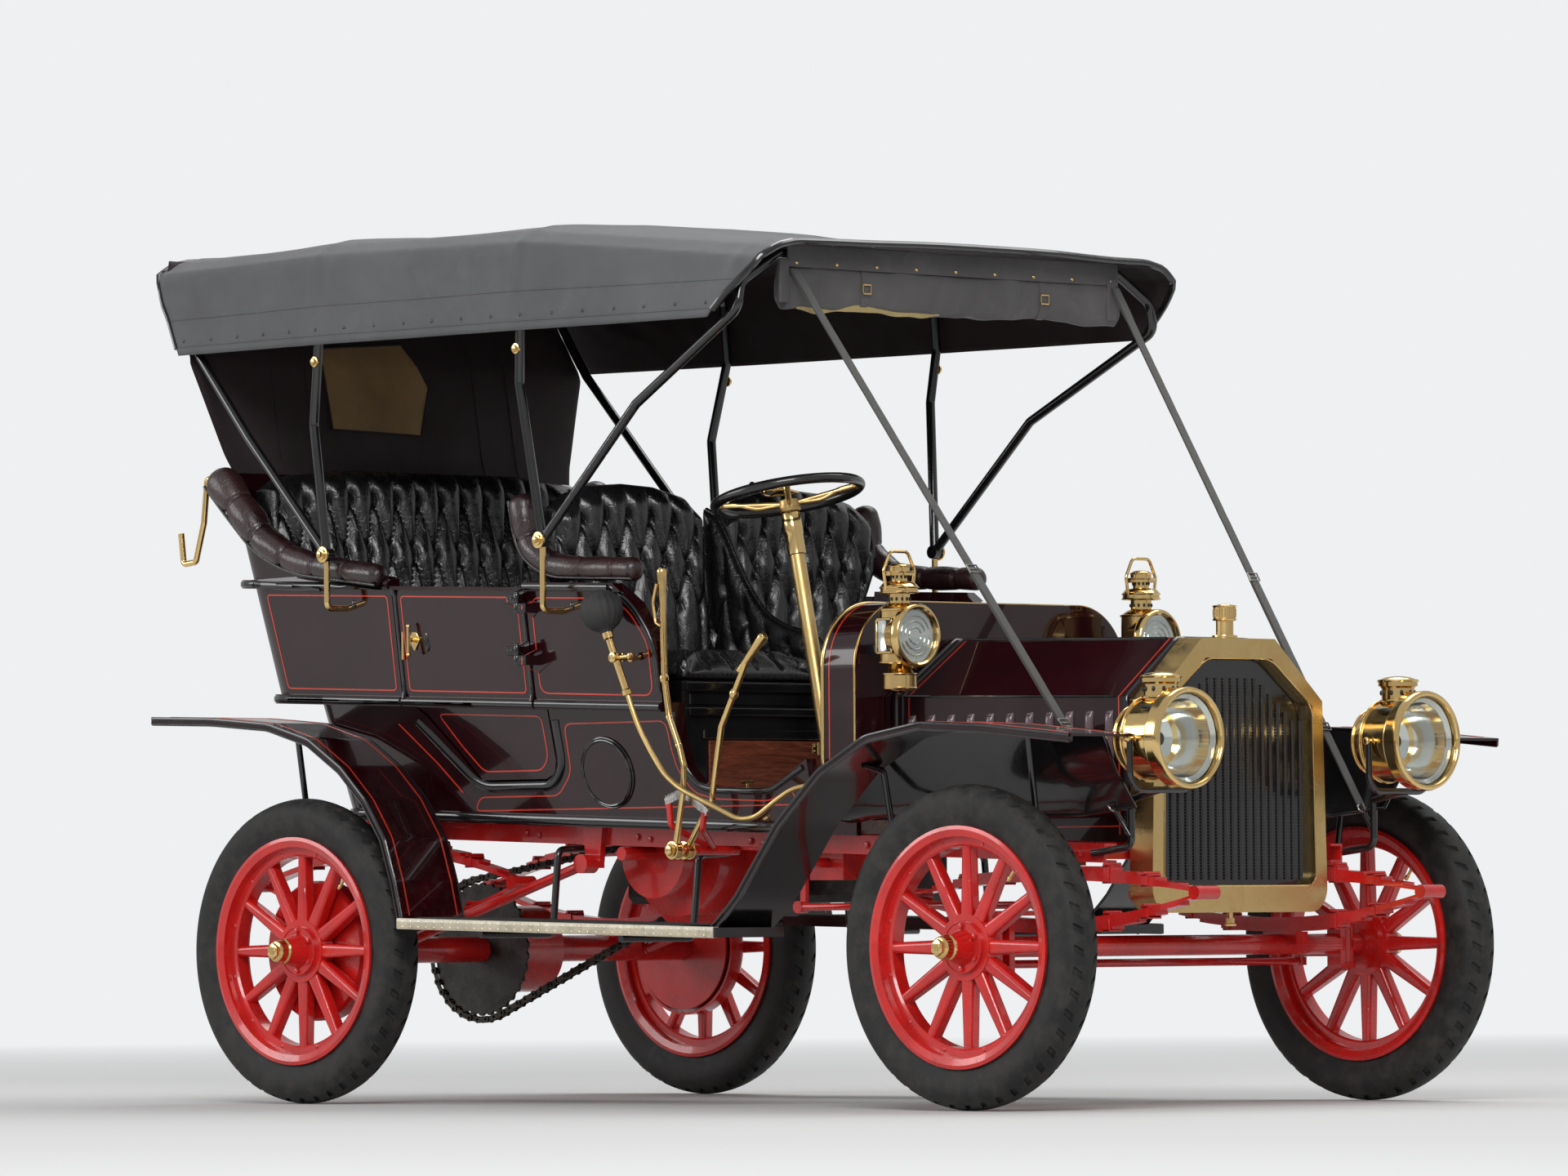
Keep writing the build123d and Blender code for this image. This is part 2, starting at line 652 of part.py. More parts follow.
def frame():
    """Two channel rails and their cross members, following the rake of the body."""
    def rail_outline(inset):
        top, low = -inset, -RAIL_DEPTH + inset
        return [
            (FRAME_REAR, RAIL_TOP + fall(FRAME_REAR) + top),
            (FRAME_FRONT, RAIL_TOP + fall(FRAME_FRONT) + top),
            (FRAME_FRONT, RAIL_TOP + fall(FRAME_FRONT) + low),
            (FRAME_REAR, RAIL_TOP + fall(FRAME_REAR) + low),
        ]

    rail = plate(rail_outline(0), RAIL_OUTER - RAIL_WIDTH, RAIL_OUTER)
    rail -= plate(rail_outline(RAIL_WALL), RAIL_OUTER - RAIL_WIDTH - 1, RAIL_OUTER - RAIL_WALL)
    whole = rail + other_side(rail)
    reach = RAIL_OUTER - RAIL_WALL + 1
    for x in CROSS_STATIONS:
        top = RAIL_TOP + fall(x) - RAIL_WALL + 1
        whole += block(x - CROSS_WIDTH / 2, x + CROSS_WIDTH / 2, -reach, reach, top - CROSS_DEPTH + 4, top - 2)
    for x, pad in ((0.0, 70.0), (REAR_AXLE_X, 70.0)):
        low = spring_top(x) - 12 + SEAT_GAP
        seat = block(x - pad, x + pad, SPRING_Y - SPRING_WIDTH / 2, RAIL_OUTER, low, spring_top(x) + RAIL_WALL)
        whole += seat + other_side(seat)
    return whole


def engine_block():
    """The two-cylinder engine under the floor, as one plain mass."""
    whole = block(*ENGINE_SPAN, *ENGINE_Y, *ENGINE_Z)
    return chamfer(whole.edges(), 18)


def flywheel_and_drums():
    """The flywheel and the stepped drums on the cross shaft, out to the crank socket."""
    whole = None
    for radius, start, end in CRANK_STEPS:
        piece = bar((CRANK_X, start, CRANK_Z), (CRANK_X, end, CRANK_Z), radius)
        whole = piece if whole is None else whole + piece
    return whole


# Body

def lower_levels():
    return (
        # x_rear, x_front, half_width, height above the rails
        (BODY_REAR, BODY_FRONT + 60, SILL_HALF, 0.0),
        (BODY_REAR - 45, BODY_FRONT + 60, LEDGE_HALF, LEDGE_RISE - LEDGE_THICK / 2 - SEAT_GAP),
    )


def upper_levels():
    return (
        (UPPER_REAR, QUARTER_FRONT + 140, UPPER_HALF, LEDGE_RISE),
        (SHOULDER_REAR, QUARTER_FRONT + 140, SHOULDER_HALF, SHOULDER_RISE),
    )


def ring(rear, half, rise, thick, inner_rear, inner_half):
    """A moulding or ledge that runs round the body at one height."""
    front = QUARTER_FRONT + 140
    outside = tub(((rear, front, half, rise - thick / 2), (rear, front, half, rise + thick / 2)), 80, 0)
    hole = ((inner_rear, front + 200, inner_half, rise - thick), (inner_rear, front + 200, inner_half, rise + thick))
    return outside - tub(hole, 60, 0)


def lower_shell():
    shell = tub(lower_levels(), 70, 0) - tub(lower_levels(), 70, WALL)
    shell -= block(BODY_FRONT, 0, -900, 900, 0, 1300)
    return shell


def upper_shell():
    shell = tub(upper_levels(), 100, 0) - tub(upper_levels(), 100, WALL)
    shell += ring(UPPER_REAR - 6, UPPER_HALF + 8, LEDGE_RISE, LEDGE_THICK, BODY_REAR + WALL, LEDGE_HALF - WALL)
    shell += ring(-2692, BELT_HALF, BELT_RISE, 22, -2640, BELT_HALF - 30)
    return shell


def line_z(rise, x):
    return RAIL_TOP + rise + fall(x)


def door_outline(gap):
    """The door in side view, its lower rear edge following the rear fender."""
    top = BELT_RISE + 60
    ledge = LEDGE_RISE - 10
    rear, front = DOOR_REAR + gap, DOOR_FRONT - gap
    bottom = 812.0 + gap
    return [
        (front, line_z(top, front)),
        (front, bottom + 45),
        (front - 13, bottom + 13),
        (front - 45, bottom),
        (-1886 + gap, bottom),
        (-1962 + gap, 896 + gap),
        (-2048 + gap, line_z(ledge, -2048) - 24 + gap),
        (rear, line_z(ledge, rear)),
        (rear, line_z(top, rear)),
    ]


def door_left():
    """A rear door: its upper and lower panels with the mouldings that cross it."""
    above = upper_shell() & plate(door_outline(DOOR_GAP / 2), 300, 900)
    above -= plate([(-2700, 1330), (-2700, 2000), (-1100, 2000), (-1100, 1330 + fall(-1100) - fall(-2700))], 200, 900)
    below = lower_shell() & plate(door_outline(DOOR_GAP / 2), 300, 900)
    seam = ring(UPPER_REAR, LEDGE_HALF, LEDGE_RISE - LEDGE_THICK / 2, 4, BODY_REAR + WALL, LEDGE_HALF - WALL)
    return above + below + (seam & plate(door_outline(DOOR_GAP / 2), 300, 900))


def hinge_half(towards, low, high, surface):
    """The barrel and leaf of half a door hinge, on the left side, reaching forward or back to its panel."""
    near, far = sorted((DOOR_FRONT, DOOR_FRONT + towards * 34))
    foot_near, foot_far = sorted((DOOR_FRONT + towards * 16, DOOR_FRONT + towards * 34))
    leaf = block(near, far, HINGE_Y - 3, HINGE_Y + 3, low, high)
    foot = block(foot_near, foot_far, surface, HINGE_Y + 3, low, high)
    return bar((DOOR_FRONT, HINGE_Y, low), (DOOR_FRONT, HINGE_Y, high), HINGE_BARREL) + leaf + foot


def with_hinges(panel, towards):
    """A panel with its halves of the two hinges: the door's lie on top of the body's."""
    for height, surface in HINGES:
        low, high = (height, height + 24) if towards < 0 else (height - 24, height - SEAT_GAP)
        panel += hinge_half(towards, low, high, surface)
    return panel


def tonneau_path():
    return ((-2722, 1618), (-2638, 1530), (-2545, 1432), (-2422, 1376), (-2237, 1350), (-2110, 1334))


def arm_roll_rear():
    points = [(x, 662 - 0.06 * (1600 - z), z) for x, z in tonneau_path()]
    return bent_bar(points, ARM_ROLL, 60)


def tonneau_shell():
    """The rear of the body above the ledge: both quarters and the back in one wrap."""
    keep = [(-2820, 900), (-2820, 1632), (-2722, 1622)]
    keep += [(x, z) for x, z in tonneau_path()[1:]]
    keep += [(DOOR_REAR - DOOR_GAP / 2, 1325), (DOOR_REAR - DOOR_GAP / 2, 900)]
    whole = upper_shell() & plate(keep, -900, 900)
    roll = bent_bar([(x, 662 - 0.06 * (1600 - z), z) for x, z in tonneau_path()], ARM_ROLL + SEAT_GAP, 60)
    whole -= roll
    whole -= other_side(roll)
    return whole


def front_quarter_left():
    """The upper side panel beside the front seat."""
    front = QUARTER_FRONT
    keep = [
        (DOOR_FRONT + DOOR_GAP / 2, 900), (DOOR_FRONT + DOOR_GAP / 2, line_z(BELT_RISE + 11, DOOR_FRONT)),
        (front - 130, line_z(BELT_RISE + 11, front - 130)), (front - 60, line_z(BELT_RISE - 35, front - 60)),
        (front, line_z(BELT_RISE - 130, front)), (front, 900),
    ]
    return upper_shell() & plate(keep, 300, 900)


def body_lower():
    """The lower tub from the sill to the ledge, cut for the doors and the front entrance."""
    whole = lower_shell()
    whole -= plate(door_outline(-DOOR_GAP / 2), -900, 900)
    entrance = [
        (QUARTER_FRONT, 1300), (QUARTER_FRONT, 900), (QUARTER_FRONT + 8, 840), (QUARTER_FRONT + 45, 797),
        (QUARTER_FRONT + 100, 785), (-860, 779), (BODY_FRONT, 848), (BODY_FRONT + 200, 848), (BODY_FRONT + 200, 1300),
    ]
    whole -= plate(entrance, -900, 900)
    boss = side_boss()
    return whole + ring_sill() + boss + other_side(boss)


def side_boss():
    """The low round cover on the body's side."""
    middle = Vector(-1423, 523.9, 825)
    outward = Vector(0, 0.974, -0.2267)
    return bar(middle - outward * 12, middle + outward * 6, 85)


def ring_sill():
    """The moulding along the foot of the body."""
    levels = (
        (BODY_REAR - MOULD, BODY_FRONT + 60, SILL_HALF + MOULD, 2.0),
        (BODY_REAR - MOULD, BODY_FRONT + 60, SILL_HALF + MOULD, 26.0),
    )
    hole = (
        (BODY_REAR + 10, BODY_FRONT + 60, SILL_HALF - 10, -20.0),
        (BODY_REAR + 10, BODY_FRONT + 60, SILL_HALF - 10, 60.0),
    )
    moulding = tub(levels, 80, 0) - tub(hole, 60, 0)
    return moulding - block(BODY_FRONT, 0, -900, 900, 0, 1300)


def cabin_space():
    """The room inside the lower tub and the ledge, which the floor and seat boxes fill."""
    top = LEDGE_RISE - LEDGE_THICK / 2
    narrow = tub(lower_levels(), 70, WALL + SEAT_GAP)
    plan = (BODY_REAR + WALL, QUARTER_FRONT + 340, LEDGE_HALF - WALL)
    return narrow + tub(((*plan, top - 1), (*plan, top + 120)), 60, SEAT_GAP)


def floor():
    """The floor boards on the rails, and the sloping toe board under the scuttle."""
    half = SILL_HALF
    rear, front = BODY_REAR, BODY_FRONT - 40
    boards = plate([
        (rear, line_z(SEAT_GAP, rear)), (front, line_z(SEAT_GAP, front)),
        (front, line_z(FLOOR_THICK, front)), (rear, line_z(FLOOR_THICK, rear)),
    ], -half, half) & cabin_space()
    toe = plate([
        (front, line_z(SEAT_GAP, front)), (front, line_z(FLOOR_THICK, front)),
        (DASH_X - 38, 846), (DASH_X - 20, 838),
    ], -half + 66, half - 66)
    column = bar(COLUMN_FOOT, COLUMN_HEAD, COLUMN_RADIUS + 1)
    boards -= column
    boards -= block(DOOR_FRONT + 40, QUARTER_FRONT - 40, -352, 330, 600, 900)
    boards -= block(FLYWHEEL_COVER[0] + 8, DOOR_FRONT + 60, FLYWHEEL_Y[0] + 8, FLYWHEEL_Y[1] - 8, 600, 900)
    cover = block(*FLYWHEEL_COVER, *FLYWHEEL_Y, line_z(FLOOR_THICK + SEAT_GAP, -1640), 852)
    cover -= block(FLYWHEEL_COVER[0] + 8, 0, FLYWHEEL_Y[0] + 8, FLYWHEEL_Y[1] - 8, 600, 844)
    cover -= plate([(-1700, line_z(FLOOR_THICK + SEAT_GAP, -1700)), (-1560, line_z(FLOOR_THICK + SEAT_GAP, -1560)),
                    (-1560, 600), (-1700, 600)], -900, 900)
    pieces = [toe - column, cover]
    for rear_end, front_end in zip(FLOOR_JOINTS, FLOOR_JOINTS[1:]):
        pieces.append(boards & block(rear_end + SEAT_GAP, front_end, -900, 900, 600, 900))
    return together(*pieces)


def seat_boxes():
    """The boxes that carry the front and rear seat cushions."""
    half = LEDGE_HALF - WALL
    base = FLOOR_THICK + SEAT_GAP
    narrow = SILL_HALF - WALL
    boxes = []
    for rear, front in ((DOOR_FRONT + 12, QUARTER_FRONT - 5), (BODY_REAR + WALL, DOOR_REAR - 25)):
        box = None
        for skin in (0.0, 18.0):
            outline = [
                (-narrow + skin, line_z(base, front) - 2 * skin), (narrow - skin, line_z(base, front) - 2 * skin),
                (half - skin, line_z(LEDGE_RISE - 12, front)), (half - skin, 1050 - skin),
                (-half + skin, 1050 - skin), (-half + skin, line_z(LEDGE_RISE - 12, front)),
            ]
            solid = cross_plate(outline, rear + skin, front - skin)
            box = solid if box is None else box - solid
        box -= plate([(rear - 500, line_z(base, rear - 500)), (front + 500, line_z(base, front + 500)),
                      (front + 500, 0), (rear - 500, 0)], -900, 900)
        if rear > DOOR_REAR:
            box -= block(rear - 5, rear + 25, FLYWHEEL_Y[0] + 8, FLYWHEEL_Y[1] - 8, 600, 844)
        boxes.append(box & cabin_space())
    return Compound(boxes)


def cushion(rear, front, y0, y1, z0, z1):
    """A plain seat cushion with softened upper edges."""
    pad = block(rear, front, y0, y1, z0, z1)
    return fillet(pad.edges().group_by(Axis.Z)[-1], 22)


def front_seat_cushions():
    half = LEDGE_HALF - WALL - 8
    left = cushion(DOOR_FRONT + 110, QUARTER_FRONT - 8, 34, half, 1050 + SEAT_GAP, 1116)
    return both_sides(left)


def rear_seat_cushion():
    half = LEDGE_HALF - WALL - 8
    return cushion(BODY_REAR - 20, DOOR_REAR - 30, -half, half, 1050 + SEAT_GAP, 1160)


def seat_back(outline, foot_x, foot_z, lean, thick):
    """A padded back drawn from the front as (y, height) points and leaning rearwards."""
    place = Plane(origin=(foot_x, 0, foot_z), x_dir=(0, 1, 0), z_dir=(math.cos(lean), 0, math.sin(lean)))
    face = make_face(FilletPolyline(*outline, radius=30, close=True))
    pad = extrude(place * face, amount=thick)
    return fillet(pad.faces().sort_by(Axis.X)[-1].edges(), 18)


def front_seat_backs():
    """Two separate rounded backs, one to each front seat."""
    outline = [(34, 0), (34, 400), (90, 475), (200, 502), (420, 500), (560, 460), (588, 300), (520, 200), (515, 0)]
    left = seat_back(outline, DOOR_FRONT + 14, 1050 + SEAT_GAP, math.radians(4), 84)
    return both_sides(left - front_arm_roll(ARM_ROLL - 4 + SEAT_GAP))


def rear_seat_back():
    """The full-width rear back, high in the middle."""
    outline = [(-520, 0), (520, 0), (592, 300), (592, 555), (300, 596), (-300, 596), (-592, 555), (-592, 300)]
    return seat_back(outline, -2560, 1042.5, math.radians(11), 96)


def front_arm_roll(radius):
    """The left padded roll along the top of the front quarter and up the seat's back."""
    base = line_z(BELT_RISE + 11, -1400) + ARM_ROLL
    points = [(-1640, 610, base + 195), (-1610, 610, base + 60), (-1520, 612, base + 8),
              (-1400, 612, base), (-1215, 612, base - 8)]
    return bent_bar(points, radius, 50)


def front_arm_rolls():
    return both_sides(front_arm_roll(ARM_ROLL - 4) - front_quarter_left())


# Scuttle, hood and radiator

def cowl_outline(inset, low):
    half, top = COWL_HALF - inset, COWL_TOP - inset
    return [(half, low), (half, top), (-half, top), (-half, low)]


def cowl():
    """The rounded scuttle between the dash and the driver's feet."""
    low = line_z(0, DASH_X)

    def solid(inset, foot, x0, x1):
        points = [(x0, y, z) for y, z in cowl_outline(inset, foot)]
        radius = [1, COWL_ROUND - inset, COWL_ROUND - inset, 1]
        return extrude(make_face(FilletPolyline(*points, radius=radius, close=True)), amount=x1 - x0, dir=(1, 0, 0))

    shell = solid(0, low, BODY_FRONT + SEAT_GAP, DASH_X) - solid(COWL_WALL, low - 50, BODY_FRONT - 5, DASH_X + 5)
    dash = solid(COWL_WALL - 1, 850, DASH_X - 14, DASH_X)
    whole = shell + dash
    whole -= plate([(-2000, line_z(0, -2000) + SEAT_GAP), (0, line_z(0, 0) + SEAT_GAP), (0, 0), (-2000, 0)], -900, 900)
    return whole - bar(COLUMN_FOOT, COLUMN_HEAD, COLUMN_RADIUS + 1)


def hood_sections(inset):
    """Eight-sided sections of the hood: (x, side half width, side top, top half width, top height)."""
    return (
        (HOOD_REAR, 352.0 - inset, 1000.0 - inset * 0.4, 144.0 - inset * 0.4, 1140.0 - inset),
        (RADIATOR_REAR - SEAT_GAP, 306.0 - inset, 984.0 - inset * 0.4, 124.0 - inset * 0.4, 1126.0 - inset),
    )


def hood_face(x, half, side_top, top_half, top, low):
    points = [(half, low), (half, side_top), (top_half, top), (-top_half, top), (-half, side_top), (-half, low)]
    return make_face(Polyline(*[(x, y, z) for y, z in points], close=True))


def hood():
    """The hood, with a row of louvres along each side."""
    outer = loft([hood_face(*row, line_z(2, row[0])) for row in hood_sections(0)], ruled=True)
    inner = [hood_face(*row, line_z(-80, row[0])) for row in hood_sections(HOOD_WALL)]
    whole = outer - loft(inner, ruled=True)
    spare = (RADIATOR_REAR - HOOD_REAR) / 12
    for index in range(11):
        x = HOOD_REAR + spare * (index + 1)
        half = 352.0 + (306.0 - 352.0) * (x - HOOD_REAR) / (RADIATOR_REAR - HOOD_REAR)
        for side in (-1, 1):
            louvre = Pos(x, side * half, 885) * Cylinder(9, 120)
            whole += louvre
    return whole


def radiator_outline(inset, base):
    """Half width and height points of the brass shell, less an inset."""
    return [
        (314 - inset, base), (300 - inset * 0.9, 977 - inset * 0.3), (130 - inset * 0.35, 1126 - inset * 1.2),
    ]


def radiator_face(x, inset, base, corner):
    half = radiator_outline(inset, base)
    points = [(x, y, z) for y, z in half] + [(x, -y, z) for y, z in reversed(half)]
    radius = [corner, 6, 6, 6, 6, corner]
    return make_face(FilletPolyline(*points, radius=radius, close=True))


def radiator_shell():
    """The brass shell round the core, with its filler neck and cap."""
    depth = RADIATOR_FRONT - RADIATOR_REAR
    whole = extrude(radiator_face(RADIATOR_REAR, 0, 466, 60), amount=depth, dir=(1, 0, 0))
    whole -= extrude(radiator_face(RADIATOR_REAR - 5, SHELL_WALL, 528, 40), amount=depth + 10, dir=(1, 0, 0))
    neck = Pos(RADIATOR_REAR + 30, 0, 1126 + 20) * Cylinder(21, 50)
    cap = Pos(RADIATOR_REAR + 30, 0, 1126 + 62) * Cylinder(27, 36)
    return whole + neck + cap


def radiator_core():
    """The black core: a slab with upright tubes on its front."""
    depth = 36.0
    start = RADIATOR_REAR + 14
    whole = extrude(radiator_face(start, SHELL_WALL + SEAT_GAP, 528 + SEAT_GAP, 40), amount=depth, dir=(1, 0, 0))
    pitch = 2 * (300 - SHELL_WALL - 16) / (CORE_TUBES - 1)
    for index in range(CORE_TUBES):
        y = (index - (CORE_TUBES - 1) / 2) * pitch
        top = 930 if abs(y) > 200 else 1030 - max(0.0, abs(y) - 90) * 0.8
        whole += bar((start + depth, y, 545), (start + depth, y, top), 7)
    return whole


# Fenders and boards

def fender_strip(points, bend, slack=0.0):
    """A blade with its outer edge turned down, swept along a side-view path.

    Slack thickens the blade, to shape what fits under it."""
    left = [(x, FENDER_OUTER - FENDER_WIDTH / 2, z) for x, z in points]
    path = FilletPolyline(*left, radius=bend)
    start = Plane(origin=path @ 0, x_dir=(0, 1, 0), z_dir=path % 0)
    half, thick = FENDER_WIDTH / 2, FENDER_PLATE + slack
    high = 12.0 if slack else 0.0
    section = make_face(Polyline(
        (-half, high), (half, high), (half, -FENDER_LIP), (half - thick, -FENDER_LIP), (half - thick, -thick),
        (-half, -thick), close=True,
    ))
    return sweep(start * section, path=path)


def front_fender_path():
    return ((-838, 428), (-742, 512), (-600, 690), (-455, 818), (-295, 898), (-112, 926), (84, 917), (384, 888))


def rear_fender_path():
    return ((-1912, 452), (-1941, 562), (-1980, 672), (-2051, 770), (-2141, 852), (-2263, 926), (-2417, 968),
            (-2628, 985), (-2864, 992))


def front_fenders():
    """The front fenders with the apron that closes each towards the hood."""
    blade = fender_strip(front_fender_path(), 90)
    return both_sides(blade)


def rear_fenders():
    blade = fender_strip(list(reversed(rear_fender_path())), 70)
    return both_sides(blade)


def board_z(x):
    return 452.0 - (x + 1300) * 0.025


def running_boards():
    """The step boards between the fenders."""
    points = [
        (BOARD_REAR, board_z(BOARD_REAR)), (BOARD_FRONT, board_z(BOARD_FRONT)),
        (BOARD_FRONT, board_z(BOARD_FRONT) - BOARD_THICK), (BOARD_REAR, board_z(BOARD_REAR) - BOARD_THICK),
    ]
    board = plate(points, BOARD_OUTER - BOARD_WIDTH, BOARD_OUTER)
    for piece in (front_fenders(), rear_fenders()):
        for solid in piece.solids():
            board = board - solid
    mat = plate([
        (BOARD_REAR + 40, board_z(BOARD_REAR + 40) - 1), (BOARD_FRONT - 130, board_z(BOARD_FRONT - 130) - 1),
        (BOARD_FRONT - 130, board_z(BOARD_FRONT - 130) + MAT_THICK), (BOARD_REAR + 40, board_z(BOARD_REAR + 40) + MAT_THICK),
    ], BOARD_OUTER - BOARD_WIDTH + 15, BOARD_OUTER - 15)
    return both_sides(board + mat)


def board_irons():
    """The bent irons that carry the running boards off the frame."""
    irons = None
    for x in (-1620.0, -1120.0):
        top = spring_top(x)
        low = board_z(x) - BOARD_THICK - 9 - SEAT_GAP
        points = [(x, RAIL_OUTER - 18, top - 9 - SEAT_GAP), (x, RAIL_OUTER + 84, top - 14), (x, RAIL_OUTER + 105, low),
                  (x, BOARD_OUTER - 20, low)]
        iron = bent_bar(points, 9, 20)
        irons = iron if irons is None else irons + iron
    return both_sides(irons)


def fender_irons():
    """The irons from the frame that hold up the four fenders."""
    rows = (
        # x, height of the blade above the iron
        (60.0, 922.0),
        (-420.0, 836.0),
        (-2141.0, 851.0),
        (-2520.0, 978.0),
    )
    irons = None
    for x, high in rows:
        low = line_z(-RAIL_DEPTH / 2, x)
        points = [(x, RAIL_OUTER + SEAT_GAP, low), (x, 532, low), (x, 572, high - 22), (x, 640, high - 8)]
        iron = bent_bar(points, 8, 14)
        irons = iron if irons is None else irons + iron
    spaces = (
        fender_strip(front_fender_path(), 90, SEAT_GAP),
        fender_strip(list(reversed(rear_fender_path())), 70, SEAT_GAP),
    )
    for space in spaces:
        irons -= space
    kept = [solid for solid in irons.solids() if solid.bounding_box().min.Y < RAIL_OUTER + 5]
    return both_sides(Compound(kept))


# Lamps

def headlamp():
    """A drum headlamp facing forward, about the Y axis before it is turned, hollow behind its glass."""
    outer = turned([(0, -170), (34, -170), (78, -150), (98, -110), (100, -14), (HEADLAMP_RIM, -12),
                    (HEADLAMP_RIM, 16), (HEADLAMP_RIM - 14, 20), (0, 20)])
    cavity = turned([(0, -120), (40, -112), (86, -60), (94, 0), (HEADLAMP_RIM - 14, 0), (HEADLAMP_RIM - 14, 30), (0, 30)])
    body = Rot(0, 0, -90) * (outer - cavity)
    chimney = Pos(-70, 0, 112) * Cylinder(40, 44)
    chimney += Pos(-70, 0, 140) * Cylinder(48, 12)
    chimney -= Rot(0, 0, -90) * turned([(0, -168), (80, -148), (92, -100), (92, 0), (0, 0)])
    trunnions = bar((-70, 90, 0), (-70, 100, 0), 11) + bar((-70, -100, 0), (-70, -90, 0), 11)
    return body + chimney + trunnions


def headlamps():
    return both_sides(Pos(*HEADLAMP_PLACE) * headlamp())


def headlamp_glasses():
    glass = Rot(0, 0, -90) * turned([(0, 1), (HEADLAMP_RIM - 15, 1), (HEADLAMP_RIM - 15, 8), (0, 8)])
    return both_sides(Pos(*HEADLAMP_PLACE) * glass)


def strap_line():
    """The left top strap: its upper end, its lower end and its direction."""
    start = Vector(CURTAIN_X[1] + SEAT_GAP + 2.5, 574, 2040)
    end = Vector(212, 446, 727)
    return start, end, (end - start).normalized()


def lamp_irons():
    """The fork under each headlamp and its post on the frame."""
    x, y, z = HEADLAMP_PLACE
    post_x = 266.0
    base = line_z(-RAIL_DEPTH / 2, FRAME_FRONT)
    points = [(FRAME_FRONT - 30, RAIL_OUTER + 9, base), (post_x, RAIL_OUTER + 9, base + 14), (post_x, RAIL_OUTER + 9, 740)]
    post = bent_bar(points, 9, 24)
    yoke_z = z - HEADLAMP_RIM * 0.86 - 12
    fork_x = x - 70
    arm = bar((post_x, RAIL_OUTER + 9, 735), (fork_x, RAIL_OUTER + 9, yoke_z - 6), 9)
    reach = 100 + 8 + SEAT_GAP
    fork = bent_bar([(fork_x, y - reach, z), (fork_x, y - reach, yoke_z - 6), (fork_x, y + reach, yoke_z - 6),
                     (fork_x, y + reach, z)], 8, 40)
    end, along = strap_line()[1:]
    tab = bar(end + along * SEAT_GAP, end + along * 95, 6)
    return both_sides(post + arm + fork + tab)


def sidelamp():
    """An oil lamp: fount below, round body, chimney and cap above, and its bail."""
    body = Pos(-46, 0, 0) * Cylinder(50, 128)
    front = Rot(0, 0, -90) * turned([(0, -40), (60, -40), (70, 0), (SIDELAMP_RIM, 2), (SIDELAMP_RIM, 14), (0, 14)])
    front -= Rot(0, 0, -90) * turned([(0, 6), (SIDELAMP_RIM - 12, 6), (SIDELAMP_RIM - 12, 20), (0, 20)])
    stack = Pos(-46, 0, 82) * Cylinder(26, 50) + Pos(-46, 0, 112) * Cylinder(46, 12)
    stack += Pos(-46, 0, 134) * Cylinder(20, 40) + Pos(-46, 0, 152) * Cylinder(36, 10) + Pos(-46, 0, 162) * Cylinder(26, 12)
    fount = Pos(-46, 0, -78) * Cylinder(22, 34) + Pos(-46, 0, -110) * Cylinder(42, 34)
    bail = bent_bar([(-46, -46, 112), (-46, -54, 160), (-46, -30, 206), (-46, 30, 206), (-46, 54, 160), (-46, 46, 112)], 4, 18)
    return body + front + stack + fount + bail


def sidelamps():
    return both_sides(Pos(*SIDELAMP_PLACE) * sidelamp())


def sidelamp_glasses():
    glass = Rot(0, 0, -90) * turned([(0, 7), (SIDELAMP_RIM - 13, 7), (SIDELAMP_RIM - 13, 12), (0, 12)])
    return both_sides(Pos(*SIDELAMP_PLACE) * glass)


def sidelamp_brackets():
    """The flat arms that hold the side lamps off the scuttle."""
    x, y, z = SIDELAMP_PLACE
    arm = block(DASH_X + SEAT_GAP, x - 46 - 50 - SEAT_GAP, y - 14, y + 14, z - 40, z - 20)
    return both_sides(arm)


# Top

def top_section(x, half_width, inset, shoulder_z, crown_z, low):
    half = half_width - inset
    shoulder, crown = shoulder_z - inset, crown_z - inset
    points = [
        (x, half, low), (x, half - 26, shoulder - 70), (x, half - 150, shoulder),
        (x, 0, crown),
        (x, -half + 150, shoulder), (x, -half + 26, shoulder - 70), (x, -half, low),
    ]
    return make_face(FilletPolyline(*points, radius=[2, 60, 90, 600, 90, 60, 2], close=True))


TOP_STATIONS = (
    # x, half width, shoulder height, crown height
    (TOP_FRONT, TOP_HALF, 2106.0, 2118.0),
    (-1500.0, TOP_HALF, 2188.0, 2204.0),
    (-2250.0, 768.0, 2194.0, 2212.0),
    (TOP_REAR, 722.0, 2180.0, 2194.0),
)


def top_solid(inset, low):
    sections = [top_section(x, half, inset, shoulder, crown, low) for x, half, shoulder, crown in TOP_STATIONS]
    return loft(sections, ruled=True)


def top_side(inset):
    """The side outline that cuts the cover's slanted ends."""
    return [
        (TOP_FRONT - inset * 0.2, 2130), (TOP_FRONT - inset * 0.2, 2096), (-822, 1880), (REAR_HEM + inset, 1880),
        (TOP_REAR + inset, 2140), (TOP_REAR + inset, 2230), (TOP_FRONT, 2230),
    ]


def top_cover():
    """The cloth top: roof, side valances and the back of the roof, open below and in front."""
    outer = top_solid(0, VALANCE_Z) & plate(top_side(0), -900, 900)
    inner = top_solid(TOP_SKIN, VALANCE_Z - 60)
    inner &= plate([(0, 1800), (-2720, 1800), (REAR_HEM + TOP_SKIN, 1880), (TOP_REAR + TOP_SKIN, 2140),
                    (TOP_REAR + TOP_SKIN, 2230), (0, 2230)], -900, 900)
    return outer - inner


